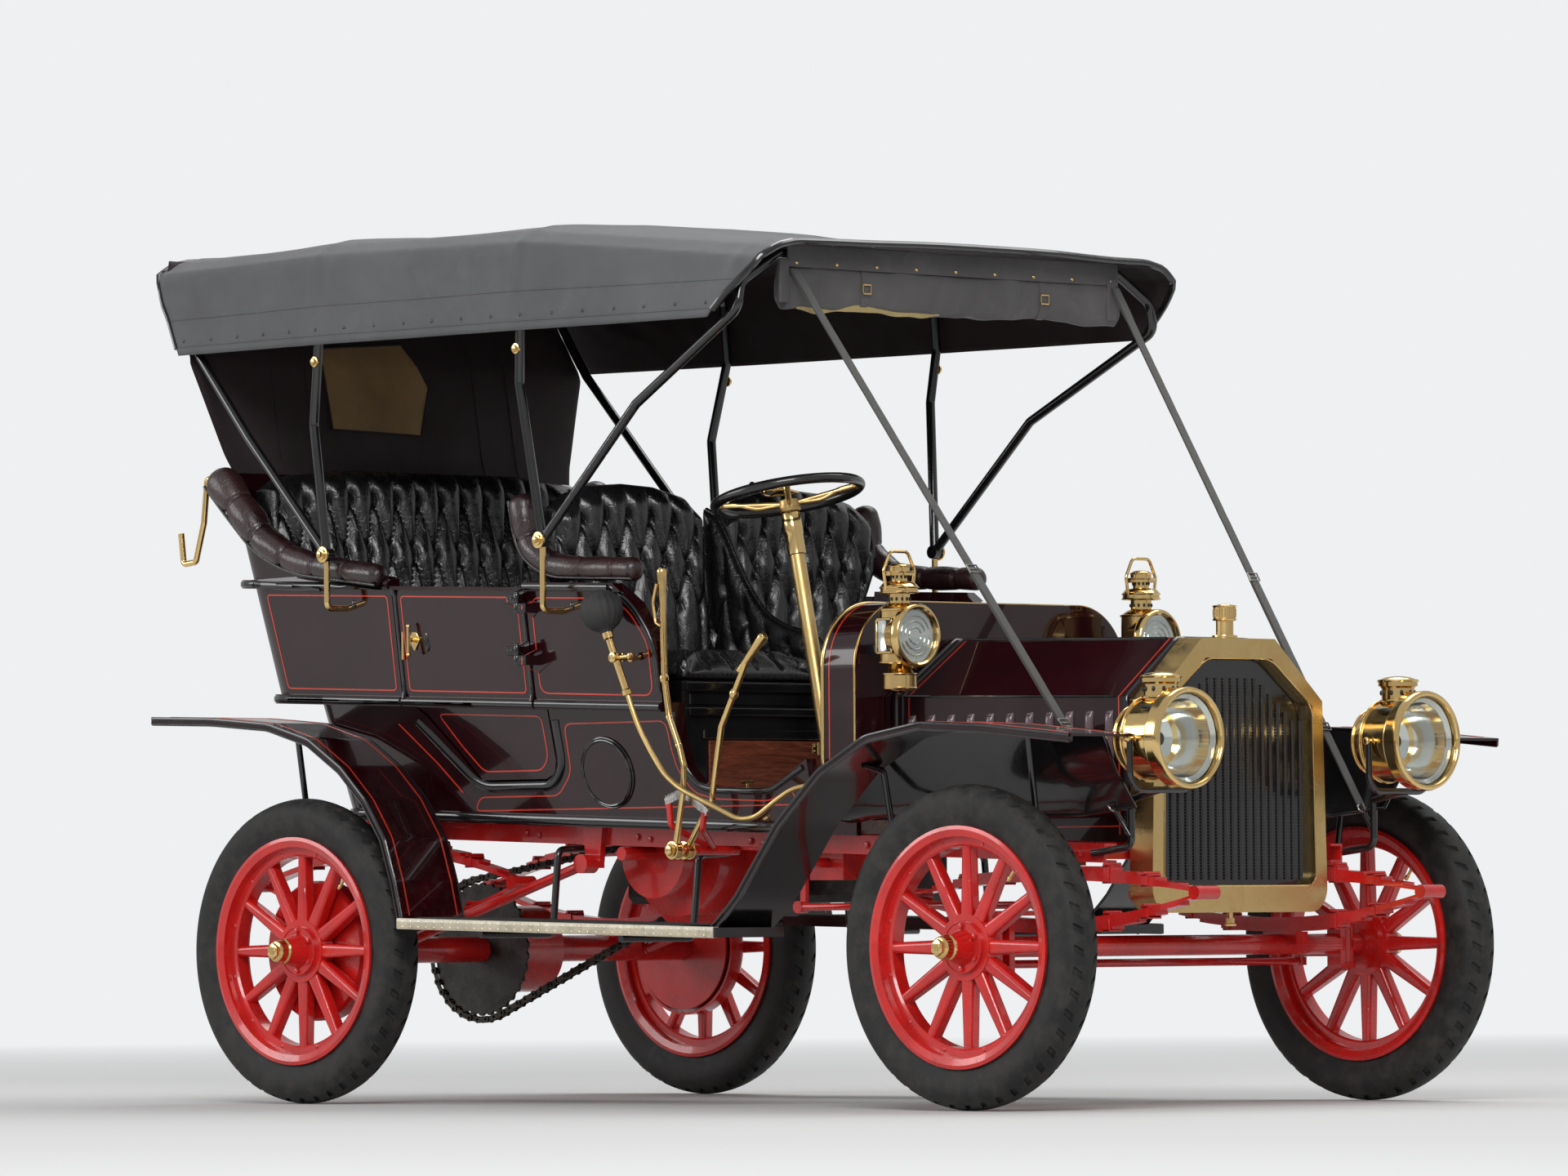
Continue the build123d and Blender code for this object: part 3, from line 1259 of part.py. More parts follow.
def rear_curtain():
    """The curtain from the rear bow down to the back of the body, narrower below."""
    face = [(-2899.4, 2120), (-2788.9, 1922), (-2745, 1665), (-2723.7, 1600)]
    whole = plate(face + [(x + 7, z) for x, z in reversed(face)], -702, 702)
    return whole & cross_plate([(-592, 1590), (592, 1590), (700, 1900), (644, 2130), (-644, 2130), (-700, 1900)], -3000, -2600)


def front_curtain():
    """The rolled curtain strapped up under the front bow."""
    pack = block(*CURTAIN_X, -596, 596, 1950, FRONT_BOW[1] - BOW_RADIUS - SEAT_GAP)
    return fillet(pack.edges().filter_by(Axis.Y), 20)


def hoop(points, radius, bend):
    """A bow from one pivot up and across to the other, drawn for the left side."""
    left = [tuple(p) for p in points]
    right = [(x, -y, z) for x, y, z in reversed(points)]
    return bent_bar(left + right, radius, bend)


def top_bows():
    """The jointed irons and bows that carry the cloth."""
    fx, fy, fz = FRONT_PIVOT
    rx, ry, rz = REAR_PIVOT
    side = TOP_HALF - TOP_SKIN - BOW_RADIUS - 14

    def arch(x, shoulder, low_z, side=side):
        high = shoulder - TOP_SKIN - BOW_RADIUS + BOW_LIFT
        return [(x, side, low_z), (x, side - 14, high - 74), (x, side - 140, high)]

    front_set = hoop([(fx, fy, fz), (-1514, side - 10, 1793), *arch(-1500, 2188, 1930)], BOW_RADIUS, 40)
    front_set += hoop([(fx, fy, fz), (-1131, side - 40, 1726), *arch(FRONT_BOW[0], FRONT_BOW[1] + TOP_SKIN + BOW_RADIUS - BOW_LIFT, 1940)], BOW_RADIUS, 40)
    rear_set = hoop([(rx, ry, rz), (-2297, side - 34, 1724), *arch(-2256, 2194, 1930, side - 14)], BOW_RADIUS, 40)
    rear_set += hoop([(rx, ry, rz), (-2553, 700, 1697), (-2750, 690, 1915), (-2856, 676, 2088),
                      (-2872, 550, 2160)], BOW_RADIUS, 40)
    for set_part, (px, py, pz) in ((0, FRONT_PIVOT), (1, REAR_PIVOT)):
        eye = bar((px, py - 12, pz), (px, py + 16, pz), 17)
        eyes = eye + other_side(eye)
        front_set, rear_set = (front_set + eyes, rear_set) if set_part == 0 else (front_set, rear_set + eyes)
    whole = [front_set, rear_set]
    return together(*whole)


def pivot_brackets():
    """The brackets on the body's shoulders that the irons turn on."""
    solids = []
    for x, y, z in (FRONT_PIVOT, REAR_PIVOT):
        foot = line_z(BELT_RISE - 60, x)
        post = bent_bar([(x, 610, foot), (x, y, foot), (x, y, z - 17 - SEAT_GAP)], 8, 16)
        solids += [post, other_side(post)]
    return Compound(solids)


def top_straps():
    """The two long straps from the front bow down to the lamp irons."""
    start, end, along = strap_line()
    place = Plane(origin=start, x_dir=(0, 1, 0), z_dir=along)
    return both_sides(extrude(place * Rectangle(26, 4), amount=(end - start).length))


def rest_irons():
    """The brackets behind the body that the folded top rests on."""
    points = [(-2690, 600, 1585), (-2760, 600, 1590), (-2827, 600, 1611), (-2841, 600, 1495), (-2873, 600, 1395), (-2920, 600, 1390), (REST_REAR, 600, 1470)]
    return both_sides(bent_bar(points, REST_RADIUS, 10))


# Controls

def hand_levers():
    """The two brass hand levers outside the body."""
    x, _, z = LEVER_PIVOT
    outer_y, inner_y = -640.0, -600.0
    outer = [(x, outer_y, z), (-1041, outer_y, 766), (-1037, outer_y, 837), (-1054, outer_y, 885), (-1087, outer_y, 956),
             (-1103, outer_y, 1052), (-1110, outer_y, 1322)]
    inner = [(x, inner_y, z), (-981, inner_y, 751), (-960, inner_y, 859), (-946, inner_y, 930), (-857, inner_y, 1089),
             (-796, inner_y, 1151)]
    solids = []
    for points in (outer, inner):
        y = points[0][1]
        lever = bent_bar(points, 8, 12) + bar((x, y - 10, z), (x, y + 10, z), 20)
        lever -= bar((x, y - 40, z), (x, y + 40, z), 12 + SEAT_GAP)
        solids.append(lever)
    return Compound(solids)


def lever_stand():
    """The cross shaft for the levers and the toothed quadrant on its two supports."""
    x, _, z = LEVER_PIVOT
    shaft = bar((x, -RAIL_OUTER - SEAT_GAP, z), (x, -656, z), 12)
    quadrant = round_plate([(-1120, 738), (-1060, 762), (-975, 712), (-975, 728), (-1055, 780), (-1120, 758)], 3, -624, -616)
    posts = bent_bar([(-1110, -620, 745), (-1110, -614, 690), (-1080, -520, z + 10)], 8, 14)
    posts += bent_bar([(-986, -620, 722), (-1000, -614, 680), (-1060, -520, z + 10)], 8, 14)
    return shaft + quadrant + posts


def horn_bulb():
    return Pos(-1260, -700, 1219) * Sphere(54)


def horn_tube():
    """The neck under the bulb and the flexible tube along the body's side."""
    route = [(-1243, -700, 1168), (-1222, -690, 1100), (-1200, -672, 1014), (-1172, -668, 942), (-1130, -668, 880),
             (-1080, -668, 818), (-1026, -668, 781), (-955, -664, 752), (-900, -655, 728), (-850, -640, 702),
             (-795, -635, 706), (-740, -625, 744), (-687, -610, 778), (-601, -580, 786)]
    return bent_bar(route, 7, 8) + bar((-1224, -600, 1106), (-1224, -690, 1106), 6)


def outside(piece, shells):
    """The largest part of a piece that lies clear of some shells."""
    for shell in shells:
        piece = piece - shell
    return piece.solids().sort_by(SortBy.VOLUME)[-1]


def build():
    """Every node of the car, by name."""
    case, column = steering_gear()
    quarter, door = with_hinges(front_quarter_left(), 1), with_hinges(door_left(), -1)
    shell = tonneau_shell()
    fittings = together(pivot_brackets(), rest_irons())
    fittings = together(*[outside(solid, (shell, quarter, other_side(quarter))) for solid in fittings.solids()])
    signal = outside(horn_tube(), (other_side(quarter),))
    nodes = {
        "frame": frame(),
        "engine_block": engine_block(),
        "flywheel_and_drums": flywheel_and_drums(),
        "sprockets": sprockets(),
        "chain": chain(),
        "front_axle": front_axle(),
        "knuckle_right": knuckle_right(),
        "knuckle_left": knuckle(),
        "tie_rod": tie_rod(),
        "drag_link": drag_link(),
        "pitman_arm": pitman_arm(),
        "steering_column": column,
        "steering_wheel": steering_wheel(),
        "springs": together(front_springs(), rear_springs()),
        "rear_axle": rear_axle(),
        "radius_rods": radius_rods(),
        "body_lower": body_lower(),
        "tonneau_shell": shell,
        "front_quarters": both_sides(quarter),
        "door_left": door,
        "door_right": other_side(door),
        "floor_boards": floor(),
        "seat_boxes": seat_boxes(),
        "seat_cushions": together(front_seat_cushions(), rear_seat_cushion()),
        "seat_backs": together(front_seat_backs(), rear_seat_back()),
        "arm_rolls": together(front_arm_rolls(), both_sides(arm_roll_rear())),
        "cowl": cowl(),
        "hood": hood(),
        "radiator_shell": radiator_shell(),
        "radiator_core": radiator_core(),
        "fenders": together(front_fenders(), rear_fenders()),
        "running_boards": running_boards(),
        "irons": together(board_irons(), fender_irons()),
        "headlamps": headlamps(),
        "side_lamps": sidelamps(),
        "lamp_glasses": together(headlamp_glasses(), sidelamp_glasses()),
        "lamp_irons": together(lamp_irons(), sidelamp_brackets()),
        "top_cover": top_cover(),
        "rear_curtain": rear_curtain(),
        "front_curtain": front_curtain(),
        "top_bows": top_bows(),
        "top_fittings": fittings,
        "top_straps": top_straps(),
        "hand_levers": hand_levers(),
        "control_stands": together(case, lever_stand()),
        "horn": together(horn_bulb(), signal),
    }
    front_wheel, rear_wheel, ring_tyre = wheel(False), wheel(True), tyre()
    for end, axle_x, made in (("front", 0.0, front_wheel), ("rear", REAR_AXLE_X, rear_wheel)):
        for name, side in (("right", -1), ("left", 1)):
            corner = f"{end}_{name}"
            nodes[f"wheel_{corner}"] = at_corner(made, axle_x, side)
            nodes[f"tyre_{corner}"] = at_corner(ring_tyre, axle_x, side)
    return nodes


def main():
    nodes = build()
    os.makedirs("parts", exist_ok=True)
    for name, piece in nodes.items():
        export_step(Pos(PLAN_CENTRE, 0, 0) * piece, f"parts/{name}.step")
    return nodes


if __name__ == "__main__":
    main()
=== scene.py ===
"""Dresses the brass era touring car: paint, brass, leather, cloth and the small parts."""
import math

import bmesh
import bpy
from bpy.props import FloatProperty, FloatVectorProperty, IntProperty, PointerProperty
from mathutils import Matrix, Vector, noise
from mathutils.bvhtree import BVHTree


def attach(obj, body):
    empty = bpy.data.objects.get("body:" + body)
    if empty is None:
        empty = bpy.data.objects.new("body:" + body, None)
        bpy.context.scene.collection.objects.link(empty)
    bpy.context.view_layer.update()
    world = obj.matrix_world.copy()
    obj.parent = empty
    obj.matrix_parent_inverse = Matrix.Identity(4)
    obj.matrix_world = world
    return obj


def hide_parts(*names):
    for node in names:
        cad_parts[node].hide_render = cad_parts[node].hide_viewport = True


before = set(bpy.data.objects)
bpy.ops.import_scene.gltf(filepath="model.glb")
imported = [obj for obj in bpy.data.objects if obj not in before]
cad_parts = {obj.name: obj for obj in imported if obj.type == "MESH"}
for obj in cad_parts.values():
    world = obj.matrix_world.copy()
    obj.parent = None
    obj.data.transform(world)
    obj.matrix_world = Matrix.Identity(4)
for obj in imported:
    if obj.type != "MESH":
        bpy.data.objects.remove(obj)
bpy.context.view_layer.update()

bl_info = {
    "name": "Brass Era Touring Car",
    "version": (1, 0, 0),
    "blender": (4, 5, 0),
    "location": "3D View > Sidebar > Touring Car",
    "description": "Dresses the packed touring car with its paint, leather, cloth and fittings",
    "category": "Object",
}

# Places are in metres from the point on the ground under the middle of the front axle.
AXLE_X = 1.2245
BODY_SLOPE = math.tan(math.radians(2.05))
BODY_LEVEL_X = -1.45
FRAME_TOP = 0.690
SIDES = ((-1, "right"), (1, "left"))
UP = Vector((0, 0, 1))
ACROSS = Vector((0, 1, 0))
AHEAD = Vector((1, 0, 0))
SEAT_LEVEL = 1.0503
SOFTENED_STEPS = 6


def colour(name, default):
    return FloatVectorProperty(name=name, description=name + " of the car", subtype="COLOR", size=3,
                               min=0.0, max=1.0, default=default)


def length(name, default):
    return FloatProperty(name=name, description=name + ", in metres", unit="LENGTH", default=default)


class CarFinish(bpy.types.PropertyGroup):
    """Colours that an owner would choose."""
    coat: colour("Coach paint", (0.017, 0.0016, 0.0032))
    enamel: colour("Wheel enamel", (0.62, 0.012, 0.010))
    brass: colour("Brass", (0.84, 0.60, 0.26))
    leather: colour("Seat leather", (0.007, 0.0065, 0.0075))
    roll: colour("Arm roll leather", (0.024, 0.0075, 0.0085))
    cloth: colour("Top cloth", (0.078, 0.080, 0.084))
    lining: colour("Top lining", (0.020, 0.006, 0.008))
    stripe: colour("Pinstripe", (0.60, 0.035, 0.012))


class CarSizes(bpy.types.PropertyGroup):
    """Sizes of the dressed pieces."""
    tuft_pitch: length("Width of a tufted channel", 0.080)
    tuft_depth: length("Depth of the tufting", 0.024)
    stripe_width: length("Width of the pinstripe", 0.0036)
    seam_pitch: length("Spacing of the arm roll seams", 0.115)
    hem: length("Depth of the hem band of the top", 0.052)
    spoke_bolts: IntProperty(name="Hub bolts", description="Bolts round each hub flange", default=6)


# Shapes

def fall(x):
    """How far the raked body line stands above its middle height."""
    return -BODY_SLOPE * (x - BODY_LEVEL_X)


def line_z(rise, x):
    return FRAME_TOP + rise + fall(x)


def clamp(value, low=0.0, high=1.0):
    return max(low, min(high, value))


def smooth(value):
    value = clamp(value)
    return value * value * (3 - 2 * value)


def between(table, x, ease=clamp):
    """A value read off a table of (place, value) rows, in rising order of place."""
    if x <= table[0][0]:
        return table[0][1]
    for (x0, v0), (x1, v1) in zip(table, table[1:]):
        if x <= x1:
            return v0 + (v1 - v0) * ease((x - x0) / (x1 - x0))
    return table[-1][1]


def clock(count, start=0.0):
    """Even angles round a full turn."""
    return [math.tau * (index + start) / count for index in range(count)]


def side_ray(angle):
    """A ray in side view, at an angle above straight ahead."""
    return Vector((math.cos(angle), 0, math.sin(angle)))


def plan_ray(angle):
    """A level ray, at an angle from straight ahead."""
    return Vector((math.cos(angle), math.sin(angle), 0))


def new_shapes(count):
    return [bmesh.new() for _ in range(count)]


def turned_to(axis):
    """The turn that takes +Z to an axis."""
    return Vector(axis).normalized().to_track_quat("Z", "Y").to_matrix().to_4x4()


def soften(bm, made, edges, bevel, segments):
    """Bevels some edges of a new shape, and gives back all its points."""
    out = bmesh.ops.bevel(bm, geom=edges, offset=bevel, offset_type="OFFSET", segments=segments, profile=0.5,
                          affect="EDGES", material=-1)
    return list({v for f in out["faces"] for v in f.verts} | {v for v in made if v.is_valid})


def box(bm, low, high, bevel=0.0, segments=1, turn=None):
    """A box between two corners, its edges softened, turned about its middle if asked."""
    low, high = Vector(low), Vector(high)
    made = bmesh.ops.create_cube(bm, size=1.0)["verts"]
    bmesh.ops.scale(bm, vec=high - low, verts=made)
    if bevel:
        made = soften(bm, made, list({e for v in made for e in v.link_edges}), bevel, segments)
    if turn is not None:
        bmesh.ops.rotate(bm, cent=(0, 0, 0), matrix=turn.to_3x3(), verts=made)
    bmesh.ops.translate(bm, vec=(low + high) / 2, verts=made)
    return made


def drum(bm, start, end, radius, end_radius=None, sides=24, bevel=0.0):
    """A closed drum or cone from one point to another."""
    start, end = Vector(start), Vector(end)
    far = radius if end_radius is None else end_radius
    made = bmesh.ops.create_cone(bm, cap_ends=True, segments=sides, radius1=radius, radius2=far,
                                 depth=(end - start).length)["verts"]
    if bevel:
        edges = {e for v in made for e in v.link_edges}
        rims = [e for e in edges if len({round(v.co.z, 6) for v in e.verts}) == 1]
        made = soften(bm, made, rims, bevel, 2)
    bmesh.ops.transform(bm, matrix=Matrix.Translation((start + end) / 2) @ turned_to(end - start), verts=made)


def lathe(bm, profile, centre, axis, steps=48):
    """A turned shape: (radius, height) points spun about an axis through the centre."""
    loop = [bm.verts.new((r, 0, h)) for r, h in profile]
    edges = [bm.edges.new(pair) for pair in zip(loop, loop[1:])]
    before = set(bm.verts)
    bmesh.ops.spin(bm, geom=loop + edges, cent=(0, 0, 0), axis=(0, 0, 1), angle=math.tau, steps=steps,
                   use_merge=True)
    made = loop + [v for v in bm.verts if v not in before]
    bmesh.ops.transform(bm, matrix=Matrix.Translation(Vector(centre)) @ turned_to(axis), verts=made)


def ball(bm, centre, radius, stretch=(1, 1, 1), rings=12):
    """A ball, stretched along the axes if asked."""
    made = bmesh.ops.create_uvsphere(bm, u_segments=rings * 2, v_segments=rings, radius=radius)["verts"]
    bmesh.ops.scale(bm, vec=stretch, verts=made)
    bmesh.ops.translate(bm, vec=centre, verts=made)


def nut(bm, place, axis, radius, height, washer=0.0):
    """A hexagon nut standing on a face, on a washer if asked."""
    place, axis = Vector(place), Vector(axis).normalized()
    if washer:
        drum(bm, place, place + axis * 0.002, washer, sides=20)
    drum(bm, place, place + axis * height, radius, sides=6, bevel=radius * 0.12)


def evaluated_mesh(holder):
    """A new mesh of an object with its modifiers applied."""
    return bpy.data.meshes.new_from_object(holder.evaluated_get(bpy.context.evaluated_depsgraph_get()))


def rod(bm, points, radius, bend=0.0, closed=False, rounds=3):
    """A round rod along a path, its corners eased over the bend length."""
    curve = bpy.data.curves.new("path", "CURVE")
    curve.dimensions = "3D"
    curve.twist_mode = "MINIMUM"
    curve.use_fill_caps = not closed
    points = [Vector(p) for p in points]
    if bend and len(points) > 2:
        eased = [points[0]]
        for before, corner, after in zip(points, points[1:], points[2:]):
            back, on = before - corner, after - corner
            eased += [corner + back.normalized() * min(bend, back.length * 0.45), corner,
                      corner + on.normalized() * min(bend, on.length * 0.45)]
        points = eased + [points[-1]]
    spline = curve.splines.new("NURBS" if bend else "POLY")
    spline.points.add(len(points) - 1)
    for point, place in zip(spline.points, points):
        point.co = (*place, 1)
    if bend:
        spline.order_u = 3
        spline.use_endpoint_u = not closed
    spline.use_cyclic_u = closed
    curve.resolution_u = SOFTENED_STEPS
    curve.bevel_depth = radius
    curve.bevel_resolution = rounds
    holder = bpy.data.objects.new("path", curve)
    bpy.context.scene.collection.objects.link(holder)
    bpy.context.view_layer.update()
    mesh = evaluated_mesh(holder)
    bpy.data.objects.remove(holder)
    bpy.data.curves.remove(curve)
    bm.from_mesh(mesh)
    bpy.data.meshes.remove(mesh)


def finish_piece(name, bm, finish, body="chassis", sharp=35.0, stands_for=(), keep_normals=False):
    """Makes a piece of a built shape, in its place in the frame, riding on its body."""
    bmesh.ops.remove_doubles(bm, verts=bm.verts, dist=1e-5)
    if not keep_normals:
        bmesh.ops.recalc_face_normals(bm, faces=bm.faces)
    bmesh.ops.translate(bm, vec=(AXLE_X, 0, 0), verts=bm.verts)
    mesh = bpy.data.meshes.new(name)
    bm.to_mesh(mesh)
    bm.free()
    mesh.polygons.foreach_set("use_smooth", [True] * len(mesh.polygons))
    mesh.set_sharp_from_angle(angle=math.radians(sharp))
    finishes = (finish,) if isinstance(finish, str) else finish
    for one in finishes:
        mesh.materials.append(FINISHES[one])
    piece = bpy.data.objects.new(name, mesh)
    bpy.context.scene.collection.objects.link(piece)
    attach(piece, body)
    if stands_for:
        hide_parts(*stands_for)
    return piece


def swap_mesh(piece, mesh):
    """Gives a piece another mesh in place of its modifiers and its old mesh."""
    piece.modifiers.clear()
    old = piece.data
    piece.data = mesh
    bpy.data.meshes.remove(old)


def apply_modifiers(piece):
    """Bakes a piece's modifiers into its mesh."""
    bpy.context.view_layer.update()
    swap_mesh(piece, evaluated_mesh(piece))


class Panels:
    """The outer surface of some CAD nodes, to lay trim on."""

    def __init__(self, *nodes):
        bm = bmesh.new()
        for name in nodes:
            bm.from_mesh(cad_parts[name].data)
        self.tree = BVHTree.FromBMesh(bm)
        bm.free()

    def touch(self, start, direction):
        """The place where a ray meets the surface, and the way the surface faces there."""
        direction = Vector(direction).normalized()
        hit = self.tree.ray_cast(Vector(start) + Vector((AXLE_X, 0, 0)), direction, 3.0)
        if hit[0] is None:
            return None
        return hit[0] - Vector((AXLE_X, 0, 0)), hit[1] if hit[1].dot(direction) < 0 else -hit[1]

    def beside(self, x, z, side):
        """The same on one side of the car, from a place in side view."""
        return self.touch((x, side * 1.4, z), (0, -side, 0))


# Finishes

class Finish:
    """A material, with short ways to add the nodes that the finishes share."""

    def __init__(self, name, base, rough, metal=0.0, **sockets):
        self.material = bpy.data.materials.new(name)
        self.material.use_nodes = True
        self.tree = self.material.node_tree
        self.shader = self.tree.nodes["Principled BSDF"]
        self.shader.inputs["Base Color"].default_value = (*base, 1)
        self.shader.inputs["Roughness"].default_value = rough
        self.shader.inputs["Metallic"].default_value = metal
        for socket, value in sockets.items():
            self.shader.inputs[socket.replace("_", " ")].default_value = value
        self.place = self.add("ShaderNodeTexCoord").outputs["Object"]
        self.heights = []

    def add(self, kind, inputs=None, **settings):
        node = self.tree.nodes.new(kind)
        for key, value in settings.items():
            setattr(node, key, value)
        for key, value in (inputs or {}).items():
            if isinstance(value, bpy.types.NodeSocket):
                self.tree.links.new(value, node.inputs[key])
            else:
                node.inputs[key].default_value = value
        return node

    def at(self, scale=(1, 1, 1), turn=(0, 0, 0), move=(0, 0, 0), source=None):
        node = self.add("ShaderNodeMapping", {"Vector": source or self.place, "Scale": scale,
                                              "Rotation": turn, "Location": move})
        return node.outputs["Vector"]

    def noise(self, scale, detail=2.0, roughness=0.5, distortion=0.0, at=None):
        node = self.add("ShaderNodeTexNoise", {"Vector": at or self.place, "Scale": scale, "Detail": detail,
                                               "Roughness": roughness, "Distortion": distortion})
        return node.outputs["Fac"]

    def cells(self, scale, feature="F1", at=None):
        node = self.add("ShaderNodeTexVoronoi", {"Vector": at or self.place, "Scale": scale}, feature=feature)
        return node.outputs["Distance"]

    def wave(self, scale, at=None, direction="X", distortion=0.0, profile="SIN"):
        inputs = {"Vector": at or self.place, "Scale": scale, "Distortion": distortion}
        node = self.add("ShaderNodeTexWave", inputs, bands_direction=direction, wave_profile=profile)
        return node.outputs["Fac"]

    def spread(self, value, low, high, to_low=0.0, to_high=1.0):
        node = self.add("ShaderNodeMapRange", {"Value": value, "From Min": low, "From Max": high,
                                               "To Min": to_low, "To Max": to_high})
        return node.outputs["Result"]

    def sum(self, a, b, operation="ADD"):
        node = self.add("ShaderNodeMath", operation=operation)
        for socket, value in zip(node.inputs, (a, b)):
            if isinstance(value, bpy.types.NodeSocket):
                self.tree.links.new(value, socket)
            else:
                socket.default_value = value
        return node.outputs["Value"]

    def mix(self, share, first, second):
        node = self.add("ShaderNodeMix", data_type="RGBA")
        for key, value in ((0, share), (6, first), (7, second)):
            if isinstance(value, bpy.types.NodeSocket):
                self.tree.links.new(value, node.inputs[key])
            else:
                node.inputs[key].default_value = value if key == 0 else (*value, 1)
        return node.outputs[2]

    def paint(self, value):
        self.tree.links.new(value, self.shader.inputs["Base Color"])

    def shine(self, value):
        self.tree.links.new(value, self.shader.inputs["Roughness"])

    def relief(self, height, depth):
        """Adds to the bump, in metres of depth."""
        self.heights.append((height, depth))

    def done(self):
        normal = None
        for height, depth in self.heights:
            inputs = {"Height": height, "Strength": 1.0, "Distance": depth}
            if normal:
                inputs["Normal"] = normal
            normal = self.add("ShaderNodeBump", inputs).outputs["Normal"]
        if normal:
            self.tree.links.new(normal, self.shader.inputs["Normal"])
        return self.material


def shade(base, factor):
    return tuple(clamp(part * factor) for part in base)


def paint_finish(name, base, dust=0.22, rough=0.16):
    """Brushed and flatted coach paint under varnish, dusty low down."""
    made = Finish(name, base, rough, Coat_Weight=0.9, Coat_Roughness=0.03, Coat_IOR=1.45,
                  Specular_IOR_Level=0.2)
    cloudy = made.noise(3.2, 4.0, 0.6)
    toned = made.mix(made.spread(cloudy, 0.35, 0.7), shade(base, 0.8), shade(base, 1.25))
    height = made.add("ShaderNodeSeparateXYZ", {"Vector": made.place}).outputs["Z"]
    low = made.spread(height, 0.95, 0.35)
    specks = made.spread(made.noise(38.0, 5.0, 0.65), 0.48, 0.75)
    grime = made.sum(made.sum(low, specks, "MULTIPLY"), dust, "MULTIPLY")
    made.paint(made.mix(grime, toned, (0.060, 0.045, 0.036)))
    made.shine(made.spread(made.sum(made.noise(7.0, 3.0), grime), 0.3, 1.1, rough * 0.7, rough * 2.6))
    made.relief(made.noise(90.0, 2.0), 0.00012)
    return made.done()


def enamel_finish(name, base, rough=0.2, dust=0.5):
    """Thick enamel on wood and iron: fine runs, dust and small chips."""
    made = Finish(name, base, rough, Coat_Weight=0.7, Coat_Roughness=0.06)
    toned = made.mix(made.spread(made.noise(9.0, 4.0), 0.3, 0.7), shade(base, 0.78), shade(base, 1.08))
    height = made.add("ShaderNodeSeparateXYZ", {"Vector": made.place}).outputs["Z"]
    low = made.spread(height, 0.8, 0.05, 0.15, 1.0)
    specks = made.spread(made.noise(60.0, 6.0, 0.7), 0.5, 0.78)
    grime = made.sum(made.sum(low, specks, "MULTIPLY"), dust, "MULTIPLY")
    made.paint(made.mix(grime, toned, (0.045, 0.03, 0.022)))
    made.shine(made.spread(made.sum(made.noise(14.0, 3.0), grime), 0.3, 1.0, rough * 0.75, rough * 2.4))
    made.relief(made.noise(120.0, 3.0), 0.00025)
    return made.done()


def brass_finish(name, base, rough=0.11, tarnish=0.25, brushed=None):
    """Polished brass with soft smears, a little tarnish and fine wheel marks."""
    made = Finish(name, base, rough, 1.0)
    smears = made.noise(11.0, 5.0, 0.6, 0.6)
    spots = made.spread(made.noise(46.0, 5.0, 0.7), 0.56, 0.82)
    dull = made.sum(made.spread(smears, 0.42, 0.8), made.sum(spots, 0.6, "MULTIPLY"))
    dull = made.sum(dull, tarnish, "MULTIPLY")
    made.paint(made.mix(dull, base, (base[0] * 0.52, base[1] * 0.40, base[2] * 0.25)))
    wear = made.sum(made.spread(smears, 0.3, 0.8), spots)
    made.shine(made.spread(wear, 0.0, 1.4, rough * 0.8, rough * 2.4))
    if brushed:
        made.relief(made.noise(1.0, 3.0, at=made.at(scale=brushed)), 0.00010)
    made.relief(made.noise(150.0, 2.0), 0.00006)
    return made.done()


def leather_finish(name, base, rough=0.23):
    """Oiled hide: pebbled grain, fine creases, and a worn sheen."""
    made = Finish(name, base, rough, Specular_IOR_Level=0.7, Coat_Weight=0.25, Coat_Roughness=0.12)
    patches = made.noise(6.5, 4.0, 0.55)
    made.paint(made.mix(made.spread(patches, 0.35, 0.72), shade(base, 0.7), shade(base, 1.7)))
    made.shine(made.spread(made.sum(patches, made.noise(55.0, 3.0)), 0.6, 1.3, rough * 0.75, rough * 1.6))
    grain = made.cells(420.0, "F1")
    creases = made.cells(62.0, "DISTANCE_TO_EDGE", at=made.at(scale=(1, 1, 0.55)))
    made.relief(made.spread(creases, 0.0, 0.08), 0.00035)
    made.relief(grain, 0.00022)
    made.relief(made.noise(24.0, 4.0, 0.6), 0.0012)
    return made.done()


def cloth_finish(name, base, weave=900.0, rough=0.62, sheen=0.25, marks=0.5):
    """Rubbered cloth: a fine weave in the piece's own UV, mottled by age."""
    made = Finish(name, base, rough, Sheen_Weight=sheen, Sheen_Roughness=0.45, Specular_IOR_Level=0.4)
    threads = made.add("ShaderNodeUVMap").outputs["UV"]
    across = made.wave(weave, at=threads, direction="X")
    along = made.wave(weave, at=threads, direction="Y")
    mottle = made.noise(3.4, 5.0, 0.62, 0.4)
    fine = made.noise(160.0, 3.0, 0.6)
    tone = made.mix(made.spread(mottle, 0.34, 0.72), shade(base, 0.72), shade(base, 1.3))
    chalk = made.sum(made.spread(made.noise(17.0, 6.0, 0.7, 0.8), 0.56, 0.8), marks, "MULTIPLY")
    tone = made.mix(made.sum(chalk, fine, "MULTIPLY"), tone, shade(base, 2.4))
    made.paint(made.mix(made.sum(across, 0.10, "MULTIPLY"), tone, shade(base, 0.5)))
    made.shine(made.spread(mottle, 0.3, 0.75, rough * 0.72, rough * 1.15))
    made.relief(made.sum(across, along), 0.00012)
    made.relief(made.noise(13.0, 5.0, 0.6), 0.0016)
    return made.done()


